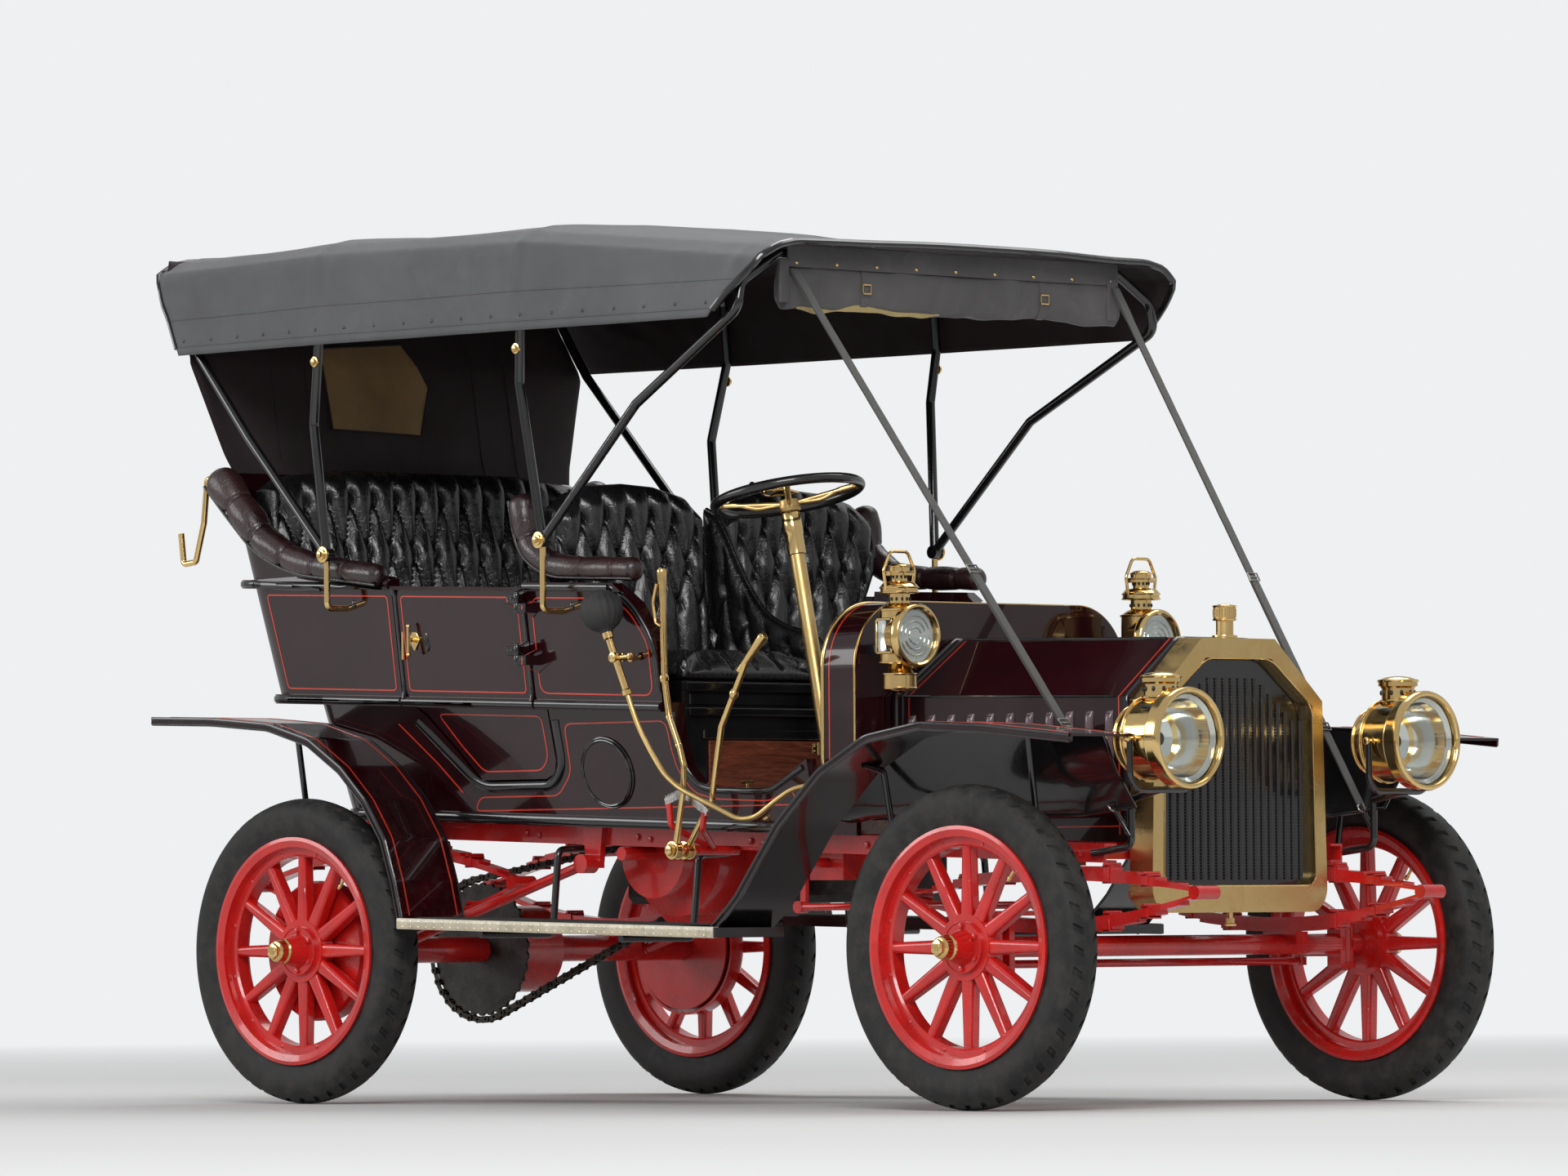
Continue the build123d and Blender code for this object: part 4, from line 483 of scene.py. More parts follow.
def rubber_finish(name, base):
    made = Finish(name, base, 0.62, Specular_IOR_Level=0.35)
    worn = made.noise(22.0, 5.0, 0.65)
    made.paint(made.mix(made.spread(worn, 0.42, 0.8), base, (0.055, 0.050, 0.044)))
    made.shine(made.spread(worn, 0.3, 0.75, 0.5, 0.85))
    made.relief(made.noise(260.0, 3.0, 0.6), 0.00025)
    return made.done()


def iron_finish(name, base, rough=0.45, metal=0.75, oil=0.5):
    """Bare or blackened iron with oil and rust in its pores."""
    made = Finish(name, base, rough, metal)
    blotch = made.noise(18.0, 6.0, 0.68, 0.5)
    tone = made.mix(made.spread(blotch, 0.4, 0.7), shade(base, 0.6), shade(base, 1.5))
    made.paint(made.mix(made.sum(made.spread(made.noise(41.0, 5.0, 0.7), 0.55, 0.8), oil, "MULTIPLY"), tone,
                        (0.045, 0.018, 0.008)))
    made.shine(made.spread(blotch, 0.3, 0.8, rough * 0.6, rough * 1.5))
    made.relief(made.noise(210.0, 4.0, 0.65), 0.0005)
    return made.done()


def wood_finish(name, base, rough=0.28, along="X"):
    """Varnished boards, the grain running along one way."""
    made = Finish(name, base, rough, Coat_Weight=0.5, Coat_Roughness=0.12)
    stretch = {"X": (1.2, 12, 12), "Y": (12, 1.2, 12), "Z": (12, 12, 1.2)}[along]
    at = made.at(scale=stretch)
    rings = made.noise(5.0, 6.0, 0.62, 1.3, at=at)
    fibres = made.noise(38.0, 4.0, 0.6, at=at)
    tone = made.mix(made.spread(rings, 0.35, 0.66), shade(base, 0.45), shade(base, 1.3))
    made.paint(made.mix(made.spread(fibres, 0.45, 0.75, 0.0, 0.55), tone, shade(base, 0.35)))
    made.shine(made.spread(rings, 0.3, 0.7, rough * 0.8, rough * 1.4))
    made.relief(fibres, 0.0003)
    return made.done()


def glass_finish(name, tint=(0.93, 0.97, 0.96), rough=0.02):
    made = Finish(name, tint, rough, Transmission_Weight=1.0, IOR=1.46)
    streaks = made.noise(9.0, 4.0, 0.6, 0.7)
    made.shine(made.spread(streaks, 0.45, 0.85, rough, rough * 5))
    made.relief(made.noise(16.0, 1.0), 0.0006)
    return made.done()


FINISHES = {}


def make_finishes(colours):
    FINISHES.update({
        "coat": paint_finish("coach_paint", tuple(colours.coat)),
        "fender": paint_finish("fender_paint", tuple(colours.coat), dust=0.35, rough=0.2),
        "enamel": enamel_finish("red_enamel", tuple(colours.enamel)),
        "dark_enamel": enamel_finish("black_enamel", (0.007, 0.007, 0.008), 0.13, 0.3),
        "stripe": enamel_finish("pinstripe", tuple(colours.stripe), 0.25, 0.1),
        "brass": brass_finish("polished_brass", tuple(colours.brass)),
        "satin_brass": brass_finish("satin_brass", shade(colours.brass, 0.86), 0.27, 0.5, (6, 6, 400)),
        "shell_brass": brass_finish("radiator_brass", shade(colours.brass, 0.88), 0.24, 0.35, (300, 8, 300)),
        "steel": iron_finish("worn_steel", (0.42, 0.41, 0.39), 0.3, 1.0, 0.25),
        "iron": iron_finish("cast_iron", (0.055, 0.053, 0.050)),
        "chain": iron_finish("oiled_chain", (0.060, 0.054, 0.046), 0.38, 0.9, 0.7),
        "leather": leather_finish("seat_leather", tuple(colours.leather)),
        "roll": leather_finish("roll_leather", tuple(colours.roll), 0.27),
        "cloth": cloth_finish("top_cloth", tuple(colours.cloth)),
        "lining": cloth_finish("top_lining", tuple(colours.lining), sheen=0.1, marks=0.1),
        "webbing": cloth_finish("strap_webbing", (0.060, 0.058, 0.055), weave=420.0, rough=0.75),
        "window": cloth_finish("window_canvas", (0.33, 0.20, 0.085), weave=600.0, rough=0.5, marks=0.3),
        "rubber": rubber_finish("tyre_rubber", (0.014, 0.014, 0.014)),
        "bulb": rubber_finish("bulb_rubber", (0.028, 0.028, 0.030)),
        "wood": wood_finish("floor_wood", (0.16, 0.085, 0.042)),
        "panel_wood": wood_finish("panel_wood", (0.20, 0.050, 0.022), 0.2, "Y"),
        "cream": enamel_finish("cream_edge", (0.58, 0.52, 0.38), 0.4, 0.9),
        "glass": glass_finish("lamp_glass"),
        # the louvres get a pale mauve grey in place of the dark coach paint: a painted highlight where their
        # puffed faces catch the light
        "louvre": paint_finish("louvre_painted_highlight", (0.16, 0.11, 0.125)),
        "silver": brass_finish("silvered_reflector", (0.80, 0.80, 0.78), 0.10, 0.2),
        "rim_black": enamel_finish("steering_rim", (0.010, 0.009, 0.009), 0.22, 0.15),
        "roll_cloth": cloth_finish("rolled_cloth", (0.085, 0.080, 0.082), marks=0.7),
        "celluloid": cloth_finish("celluloid_edge", (0.34, 0.26, 0.10), weave=40.0, rough=0.35, marks=0.3),
    })


NODE_FINISH = {
    "coat": ("body_lower", "tonneau_shell", "front_quarters", "door_left", "door_right", "cowl", "hood"),
    "fender": ("fenders",),
    "enamel": ("frame", "front_axle", "knuckle_left", "knuckle_right", "tie_rod", "drag_link", "pitman_arm",
               "springs", "rear_axle", "radius_rods", "flywheel_and_drums", "control_stands",
               "wheel_front_left", "wheel_front_right", "wheel_rear_left", "wheel_rear_right"),
    "dark_enamel": ("seat_boxes", "running_boards", "irons", "lamp_irons", "top_bows", "radiator_core"),
    "brass": ("headlamps", "side_lamps", "hand_levers", "horn", "top_fittings"),
    "satin_brass": ("steering_column", "steering_wheel"),
    "shell_brass": ("radiator_shell",),
    "iron": ("engine_block", "sprockets"),
    "chain": ("chain",),
    "leather": ("seat_cushions", "seat_backs"),
    "roll": ("arm_rolls",),
    "cloth": ("top_cover", "front_curtain"),
    "lining": ("rear_curtain",),
    "webbing": ("top_straps",),
    "rubber": ("tyre_front_left", "tyre_front_right", "tyre_rear_left", "tyre_rear_right"),
    "wood": ("floor_boards",),
    "glass": ("lamp_glasses",),
}


def coat_nodes():
    """Gives every CAD node its finish."""
    for finish, names in NODE_FINISH.items():
        for name in names:
            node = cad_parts[name]
            node.data.materials.clear()
            node.data.materials.append(FINISHES[finish])


# The top

ROOF_SPAN = (-0.655, -2.920)
ROOF_SHOULDER = ((-2.920, 2.180), (-2.250, 2.194), (-1.500, 2.188), (-0.655, 2.106))
ROOF_CROWN = ((-2.920, 2.194), (-2.250, 2.212), (-1.500, 2.204), (-0.655, 2.118))
ROOF_HALF = ((-2.920, 0.722), (-2.250, 0.768), (-1.500, 0.779), (-0.655, 0.779))
ROOF_FRONT = ((1.880, -0.822), (2.096, -0.655), (2.130, -0.655), (2.230, -0.655))
ROOF_REAR = ((1.880, -2.775), (2.140, -2.920), (2.230, -2.920))
VALANCE_LOW = 1.922
BOWS = (-0.735, -1.500, -2.256, -2.872)


def roof_section(x):
    """Half the roof line at a station, from the hem up to the middle, as (y, z) corners."""
    shoulder, crown, half = between(ROOF_SHOULDER, x), between(ROOF_CROWN, x), between(ROOF_HALF, x)
    return [(half, VALANCE_LOW), (half - 0.006, VALANCE_LOW + 0.05), (half - 0.026, shoulder - 0.070),
            (half - 0.036, shoulder - 0.045), (half - 0.090, shoulder - 0.013),
            (half - 0.150, shoulder - 0.001), (0.30, crown - 0.004), (0.0, crown)]


def along(points, share):
    """A point a share of the way along a line of corners."""
    lengths = [math.dist(a, b) for a, b in zip(points, points[1:])]
    target = share * sum(lengths)
    for (a, b), size in zip(zip(points, points[1:]), lengths):
        if target <= size or (a, b) == (points[-2], points[-1]):
            part = clamp(target / size)
            return tuple(p + (q - p) * part for p, q in zip(a, b))
        target -= size
    return points[-1]


def roof_point(u, v):
    """The cloth's place: u from the front to the back, v from the right hem over to the left one."""
    side = 1 if v >= 0.5 else -1
    share = 1 - abs(v - 0.5) * 2
    middle_x = ROOF_SPAN[0] + (ROOF_SPAN[1] - ROOF_SPAN[0]) * u
    y, z = along(roof_section(middle_x), share)
    front, rear = between(ROOF_FRONT, z, smooth), between(ROOF_REAR, z)
    x = front + (rear - front) * u
    # the cloth sags between the bows and is held up in a ridge over each one
    gap = min(abs(x - bow) for bow in BOWS)
    span = clamp(gap / 0.36)
    roofness = smooth((share - 0.22) / 0.25)
    sag = 0.016 * smooth(span) * roofness
    ridge = 0.0055 * math.exp(-(gap / 0.020) ** 2) * smooth((share - 0.05) / 0.1)
    hollow = 0.012 * smooth(span) * math.exp(-((share - 0.17) / 0.13) ** 2)
    place = Vector((x, side * y, z))
    lift = ridge - sag
    place.z += lift * roofness
    place.y += side * (ridge - hollow) * (1 - roofness)
    # tension folds running down from the bows, and slack waves along the hem
    seed = Vector((x * 3.1, side * 7.0, z * 5.0))
    run = math.sin((x * 1.0 + z * 1.7) * 41 + 3 * noise.noise(seed)) * noise.noise(seed * 1.7)
    place.y += side * 0.0042 * run * (1 - roofness) * smooth(share / 0.12)
    place.z += 0.0030 * noise.noise(Vector((x * 5, y * 4 * side, 3.3))) * roofness
    hem_wave = 0.0035 * noise.noise(Vector((x * 9, side * 3.0, 0.5)))
    place.y += side * hem_wave * (1 - smooth(share / 0.2))
    return place


def sheet_grid(columns, rows, place):
    """A sheet of cloth: a grid laid by a rule, with its UV in metres."""
    bm = bmesh.new()
    bm.loops.layers.uv.new("UVMap")
    bmesh.ops.create_grid(bm, x_segments=columns, y_segments=rows, size=0.5, calc_uvs=True)
    spots = {v: (v.co.x + 0.5, v.co.y + 0.5) for v in bm.verts}
    for vert, (u, v) in spots.items():
        vert.co = place(u, v)
    return bm


def scale_uv(bm, width, depth):
    layer = bm.loops.layers.uv.active
    for face in bm.faces:
        for loop in face.loops:
            loop[layer].uv = (loop[layer].uv.x * width, loop[layer].uv.y * depth)


def sheet_size(place):
    """The flat size of a laid sheet, measured down its middle lines."""
    steps = 200
    run = [place(i / steps, 0.5) for i in range(steps + 1)]
    girth = [place(0.5, i / steps) for i in range(steps + 1)]
    return tuple(sum((b - a).length for a, b in zip(line, line[1:])) for line in (run, girth))


class CAR_OT_top(bpy.types.Operator):
    """Stretch the cloth top over its bows, with its hem, piping and lining"""
    bl_idname = "touring_car.top"
    bl_label = "Cloth Top"

    def execute(self, context):
        sizes = context.scene.car_sizes
        bm = sheet_grid(190, 150, roof_point)
        width, depth = sheet_size(roof_point)
        scale_uv(bm, width, depth)
        piece = finish_piece("cloth_top", bm, ("cloth", "lining"), sharp=60, stands_for=("top_cover",))
        wall = piece.modifiers.new("cloth thickness", "SOLIDIFY")
        wall.thickness = 0.0025
        wall.offset = -1.0
        wall.material_offset = 1
        wall.material_offset_rim = 0
        trim = bmesh.new()
        for v in (0.0, 1.0):
            edge_gap = Vector((0, 0.0006 if v else -0.0006, 0))
            for share in (0.012, sizes.hem / 1.02):
                level = 1 - share if v else share
                rod(trim, [roof_point(0.004 + 0.992 * i / 90, level) + edge_gap for i in range(91)], 0.0013,
                    rounds=1)
        finish_piece("top_stitching", trim, "cloth")
        piping = bmesh.new()
        for u, ahead, radius in ((0.0, 0.004, 0.009), (1.0, 0.0, 0.006)):
            edge = [roof_point(u, 0.01 + 0.98 * i / 80) + Vector((ahead, 0, 0)) for i in range(81)]
            rod(piping, edge, radius)
        finish_piece("top_piping", piping, "dark_enamel")
        return {"FINISHED"}


# Seats

def tuft_height(across, up, pitch, rows):
    """The pillow height, from 0 in a pleat to 1, and the nearness of a button, of diamond tufting."""
    level = 0
    while level < len(rows) and up > rows[level]:
        level += 1
    place = across / pitch
    if level == 0 or level == len(rows):
        shift = 0.0 if level == 0 else 0.5 * ((len(rows) - 1) % 2)
        base = (place - shift) % 1.0
        gap = min(base, 1 - base)
    else:
        share = (up - rows[level - 1]) / (rows[level] - rows[level - 1])
        base = (place - 0.5 * ((level - 1) % 2)) % 1.0
        gap = min(abs(base - share / 2), abs(base - (1 - share / 2)),
                  abs(base - 1 - share / 2), abs(base + share / 2))
        gap *= 0.9
    pillow = 1 - (1 - clamp(gap * 2)) ** 2.6
    button = 0.0
    for index, row in enumerate(rows):
        base = (place - 0.5 * (index % 2)) % 1.0
        side = min(base, 1 - base) * pitch
        button = max(button, math.exp(-((side / 0.013) ** 2 + ((up - row) / 0.019) ** 2)))
    return pillow, button


def seat_back(edges, rows, tuft, thick, place, behind, grid, roll=0.07):
    """A tufted back: its front pillows between the buttons and rolls over the edges; its rear is plain."""
    left_edge, right_edge, top_edge = edges
    pitch, depth = tuft
    bm = bmesh.new()
    made = bmesh.ops.create_grid(bm, x_segments=grid[0], y_segments=grid[1], size=0.5)["verts"]
    outer = {e for v in made for e in v.link_edges if e.is_boundary}
    for vert in made:
        u, v = vert.co.x + 0.5, vert.co.y + 0.5
        top = top_edge(u)
        up = v * top
        y0, y1 = left_edge(up), right_edge(up)
        across = y0 + (y1 - y0) * u
        border = min(across - y0, y1 - across, top - up)
        round_off = math.sqrt(clamp(1 - (1 - clamp(border / roll)) ** 2))
        pillow, button = tuft_height(across, up, pitch, [r * top for r in rows])
        fade = smooth(border / 0.05)
        height = thick * (0.30 + 0.70 * round_off)
        height += depth * (pillow - 0.55) * fade - depth * 0.75 * button * fade
        wrinkle = noise.noise(Vector((across * 26, up * 14, 1.7))) * 0.0035 * fade
        vert.co = place(across, up, height + wrinkle)
    rim = bmesh.ops.extrude_edge_only(bm, edges=list(outer))["geom"]
    for vert in [g for g in rim if isinstance(g, bmesh.types.BMVert)]:
        vert.co = behind(vert.co)
    bmesh.ops.holes_fill(bm, edges=[g for g in rim if isinstance(g, bmesh.types.BMEdge)], sides=0)
    return bm


def leaning(foot_x, foot_z, lean):
    """Places (across, up, forward) points on a back that leans rearwards."""
    along_up = Vector((-math.sin(lean), 0, math.cos(lean)))
    forward = Vector((math.cos(lean), 0, math.sin(lean)))
    foot = Vector((foot_x, 0, foot_z))
    return lambda across, up, out: foot + Vector((0, across, 0)) + along_up * up + forward * out


def make_back(name, edges, rows, thick, foot, grid, sizes):
    place = leaning(*foot)
    normal = place(0, 0, 1) - place(0, 0, 0)
    origin = place(0, 0, 0.012)
    bm = seat_back(edges, rows, (sizes.tuft_pitch, sizes.tuft_depth), thick, place,
                   lambda spot: spot - normal * (spot - origin).dot(normal), grid)
    piece = finish_piece(name, bm, "leather", sharp=75, stands_for=("seat_backs",))


FRONT_TOP = ((0.034, 0.400), (0.060, 0.445), (0.100, 0.480), (0.200, 0.503), (0.300, 0.508), (0.420, 0.500),
             (0.500, 0.478), (0.560, 0.440), (0.588, 0.330))
FRONT_OUTER = ((0.0, 0.512), (0.18, 0.518), (0.30, 0.580), (0.36, 0.588), (0.52, 0.588))
REAR_TOP = ((-0.592, 0.535), (-0.540, 0.565), (-0.480, 0.578), (-0.30, 0.596), (0.30, 0.596), (0.480, 0.578),
            (0.540, 0.565), (0.592, 0.535))
REAR_OUTER = ((0.0, 0.52), (0.30, 0.592), (0.60, 0.592))


class CAR_OT_seat_backs(bpy.types.Operator):
    """Upholster the two front backs and the wide rear back in tufted leather"""
    bl_idname = "touring_car.seat_backs"
    bl_label = "Tufted Seat Backs"

    def execute(self, context):
        sizes = context.scene.car_sizes
        for side, word in SIDES:
            def inner(up, side=side):
                return 0.034 if side > 0 else -between(FRONT_OUTER, up)

            def outer(up, side=side):
                return between(FRONT_OUTER, up) if side > 0 else -0.034

            def top(u, side=side):
                return between(FRONT_TOP, 0.034 + 0.554 * (u if side > 0 else 1 - u))

            make_back(f"front_back_{word}", (inner, outer, top), (0.40, 0.62, 0.84), 0.070,
                      (-1.588, SEAT_LEVEL, math.radians(4)), (150, 140), sizes)
        wide = (lambda up: -between(REAR_OUTER, up), lambda up: between(REAR_OUTER, up),
                lambda u: between(REAR_TOP, -0.592 + 1.184 * u))
        make_back("rear_back", wide, (0.36, 0.62, 0.86), 0.080, (-2.560, 1.0423, math.radians(11)),
                  (280, 150), sizes)
        return {"FINISHED"}


WIDE_VOXEL = 0.0085
NARROW_VOXEL = 0.0075
PLEAT_PITCH = 0.085


class CAR_OT_cushions(bpy.types.Operator):
    """Stuff the seat cushions"""
    bl_idname = "touring_car.cushions"
    bl_label = "Seat Cushions"

    def execute(self, context):
        for name, x0, x1, y0, y1, z0, z1 in (
            ("front_cushion_left", -1.492, -1.158, 0.036, 0.520, SEAT_LEVEL, 1.108),
            ("front_cushion_right", -1.492, -1.158, -0.520, -0.036, SEAT_LEVEL, 1.108),
            ("rear_cushion", -2.450, -2.118, -0.520, 0.520, SEAT_LEVEL, 1.150),
        ):
            bm = bmesh.new()
            made = bmesh.ops.create_cube(bm, size=1.0)["verts"]
            bmesh.ops.scale(bm, vec=(x1 - x0, y1 - y0, z1 - z0), verts=made)
            bmesh.ops.translate(bm, vec=((x0 + x1) / 2, (y0 + y1) / 2, (z0 + z1) / 2), verts=made)
            soften(bm, made, list(bm.edges), 0.018, 3)
            piece = finish_piece(name, bm, "leather", sharp=80, stands_for=("seat_cushions",))
            stuff(piece, WIDE_VOXEL if y1 - y0 > 0.8 else NARROW_VOXEL, 2.5, 0.022)
            pleat(piece, z1 + 0.010)
        return {"FINISHED"}


def pleat(piece, top):
    """Draws shallow, evenly spaced pleats across the upper face and front of a cushion."""
    forwards = [vert.normal.x > 0.5 for vert in piece.data.vertices]
    for vert, forward in zip(piece.data.vertices, forwards):
        gap = (vert.co.y + PLEAT_PITCH / 2) % PLEAT_PITCH - PLEAT_PITCH / 2
        share = smooth((vert.co.z - top + 0.045) / 0.02)
        dip = math.exp(-(gap / 0.007) ** 2) * share
        vert.co.z -= 0.0065 * dip
        if forward:
            vert.co.x -= 0.005 * dip
    piece.data.update()


def stuff(piece, voxel, pressure, cap):
    """Inflates a cushion with a cloth simulation, its underside held flat, and keeps the result."""
    remesh = piece.modifiers.new("remesh", "REMESH")
    remesh.mode = "VOXEL"
    remesh.voxel_size = voxel
    apply_modifiers(piece)
    start = [v.co.copy() for v in piece.data.vertices]
    floor_level = min(v.z for v in start)
    group = piece.vertex_groups.new(name="held")
    held = [i for i, v in enumerate(start) if v.z < floor_level + 0.012]
    group.add(held, 1.0, "REPLACE")
    cloth = piece.modifiers.new("stuffing", "CLOTH")
    cloth.settings.vertex_group_mass = "held"
    cloth.settings.use_pressure = True
    cloth.settings.uniform_pressure_force = pressure
    cloth.settings.quality = 5
    cloth.settings.effector_weights.gravity = 0.0
    cloth.settings.tension_stiffness = 12
    cloth.settings.compression_stiffness = 12
    cloth.settings.bending_stiffness = 0.4
    for number in range(1, 21):
        bpy.context.scene.frame_set(number)
    mesh = evaluated_mesh(piece)
    for vert, home in zip(mesh.vertices, start):
        move = vert.co - home
        if move.length > cap:
            vert.co = home + move * (cap / move.length)
    piece.modifiers.clear()
    bpy.context.scene.frame_set(1)
    swap_mesh(piece, mesh)
    piece.vertex_groups.clear()
    piece.data.polygons.foreach_set("use_smooth", [True] * len(piece.data.polygons))
    finer = piece.modifiers.new("finish", "SUBSURF")
    finer.levels = 1
    finer.render_levels = 1
    apply_modifiers(piece)
    if not piece.data.materials:
        piece.data.materials.append(FINISHES["leather"])


# Laying trim on the body

def skin(bm, rings, closed=False):
    """A tube through rings of points: a grid rolled up, its seam merged and its ends closed."""
    columns, rows = len(rings) - (0 if closed else 1), len(rings[0])
    made = bmesh.ops.create_grid(bm, x_segments=columns, y_segments=rows, size=0.5)["verts"]
    for vert in made:
        step, turn = round((vert.co.x + 0.5) * columns), round((vert.co.y + 0.5) * rows)
        vert.co = rings[step % len(rings)][turn % rows]
    bmesh.ops.remove_doubles(bm, verts=made, dist=1e-6)
    if not closed:
        open_edges = {e for v in made if v.is_valid for e in v.link_edges if e.is_boundary}
        bmesh.ops.holes_fill(bm, edges=list(open_edges), sides=0)


def rounded(corners, radius, closed=True, steps=5):
    """A line with its corners rounded."""
    line, count = [], len(corners)
    for index, corner in enumerate(corners):
        corner = Vector(corner)
        if not closed and index in (0, count - 1):
            line.append(corner)
            continue
        back, on = Vector(corners[index - 1]) - corner, Vector(corners[(index + 1) % count]) - corner
        reach = min(radius, back.length * 0.45, on.length * 0.45)
        start, end = corner + back.normalized() * reach, corner + on.normalized() * reach
        for step in range(steps + 1):
            t = step / steps
            line.append(start * (1 - t) ** 2 + corner * 2 * t * (1 - t) + end * t * t)
    return line


def stepped(line, pitch, closed=False):
    """The same line, with no step longer than the pitch."""
    fine = []
    run = list(zip(line, line[1:])) + ([(line[-1], line[0])] if closed else [])
    for start, end in run:
        count = max(1, math.ceil((end - start).length / pitch))
        fine += [start + (end - start) * (i / count) for i in range(count)]
    if not closed:
        fine.append(line[-1])
    return fine


def carried(trace, section, closed=False):
    """Rings of a section (across, out), carried along (place, normal) steps."""
    rings, count = [], len(trace)
    for index, (place, normal) in enumerate(trace):
        before = trace[index - 1][0] if index or closed else place
        after = trace[(index + 1) % count][0] if closed or index < count - 1 else place
        across = (after - before).cross(normal).normalized()
        rings.append([place + across * a + normal * b for a, b in section])
    return rings


def flat_section(width, thick, sink=0.0008):
    return [(-width / 2, -sink), (-width / 2, thick), (width / 2, thick), (width / 2, -sink)]


def bead_section(width, thick, sink=0.0015):
    """A half-round moulding."""
    half = width / 2
    return [(-half, -sink), (-half, thick * 0.25), (-half * 0.72, thick * 0.78), (-half * 0.28, thick),
            (half * 0.28, thick), (half * 0.72, thick * 0.78), (half, thick * 0.25), (half, -sink)]


def tube_rings(line, radius, sides=12):
    """Round rings along a line; the radius is a number, a list, or a rule of the length run and the whole."""
    lengths = [0.0]
    for start, end in zip(line, line[1:]):
        lengths.append(lengths[-1] + (end - start).length)
    sizes = radius if isinstance(radius, list) else [radius] * len(line)
    if callable(radius):
        sizes = [radius(run, lengths[-1]) for run in lengths]
    rings = []
    for index, (place, size) in enumerate(zip(line, sizes)):
        ahead = (line[min(index + 1, len(line) - 1)] - line[max(index - 1, 0)]).normalized()
        first = (ACROSS - ahead * ahead.y).normalized()
        second = ahead.cross(first)
        rings.append([place + first * (math.cos(a) * size) + second * (math.sin(a) * size)
                      for a in clock(sides)])
    return rings


def torus(bm, centre, axis, major, minor, steps=64, sides=12):
    """A ring of round section."""
    profile = [(major + minor * math.cos(math.tau * k / sides), minor * math.sin(math.tau * k / sides))
               for k in range(sides + 1)]
    lathe(bm, profile, centre, axis, steps)


def lay(bm, surface, corners, side, section, radius=0.03, closed=False, pitch=0.022):
    """A band laid on the side of the body along (x, z) corners."""
    line = stepped(rounded([Vector(c) for c in corners], radius, closed), pitch, closed)
    trace = [spot for spot in (surface.beside(p.x, p.y, side) for p in line) if spot]
    if len(trace) > 2:
        skin(bm, carried(trace, section, closed), closed)


def ring_trace(surface, rise, start_x, rear_x=-2.86, half=0.86, corner=0.20):
    """Where a moulding goes round the back of the body at one height above the frame."""
    plan = rounded([Vector((start_x, half)), Vector((rear_x, half)),
                    Vector((rear_x, -half)), Vector((start_x, -half))],
                   corner, closed=False, steps=14)
    plan = stepped(plan, 0.03)
    trace = []
    for index, spot in enumerate(plan):
        run = (plan[min(index + 1, len(plan) - 1)] - plan[max(index - 1, 0)]).normalized()
        inwards = Vector((-run.y, run.x, 0))
        if inwards.dot(Vector((-1.6 - spot.x, -spot.y, 0))) < 0:
            inwards = -inwards
        x = max(spot.x, -2.62)
        hit = surface.touch((spot.x, spot.y, line_z(rise, x)), inwards)
        if hit is not None:
            again = surface.touch((spot.x, spot.y, line_z(rise, hit[0].x)), inwards)
            trace.append(again or hit)
    return trace


LEDGE_RISE = 0.304
BELT_RISE = 0.597
DOOR_SPAN = (-2.088, -1.602)
QUARTER_EDGE = -1.150
STRIPE_INSET = 0.016
PANEL_TOP = BELT_RISE - 0.011
PANEL_FOOT = LEDGE_RISE + 0.012
BODY_NODES = ("body_lower", "tonneau_shell", "front_quarters", "door_left", "door_right")
BEAD_WIDTH = 0.017
PILLAR_GAP = 0.004
LOWER_STRIPE = ((-1.552, 0.950), (-1.186, 0.950), (-1.184, 0.885), (-1.172, 0.825), (-1.128, 0.772),
                (-1.062, 0.756), (-0.868, 0.748), (-0.790, 0.778), (-0.770, 0.738), (-1.93, 0.738),
                (-1.905, 0.772), (-1.615, 0.772), (-1.556, 0.828))
FOOT_BEAD = ((-1.160, 0.958), (-1.160, 0.895), (-1.149, 0.832), (-1.110, 0.788), (-1.052, 0.776),
             (-0.866, 0.770), (-0.735, 0.828))
GUARD_BEAD = ((-2.085, 0.966), (-1.972, 0.865), (-1.893, 0.796), (-1.632, 0.796), (-1.584, 0.845),
              (-1.584, 0.960))
REAR_STRIPE = ((-2.16, 0.962), (-2.04, 0.860), (-1.965, 0.785))
BACK_STRIPE = ((0.46, PANEL_TOP - 0.02), (-0.46, PANEL_TOP - 0.02), (-0.46, PANEL_FOOT + 0.02),
               (0.46, PANEL_FOOT + 0.02))
ROUND_COVER = (-1.423, 0.825)
BODY_BUTTONS = ((-2.235, 1.268), (-1.436, 1.240))


def raked(rise, *places):
    """Corners at some stations, all at one height above the frame."""
    return [(x, line_z(rise, x)) for x in places]


def upper_corners(rear_low, rear_high, front):
    top, foot = PANEL_TOP - STRIPE_INSET, PANEL_FOOT + STRIPE_INSET
    return raked(foot, rear_low) + raked(top, rear_high, front) + raked(foot, front)


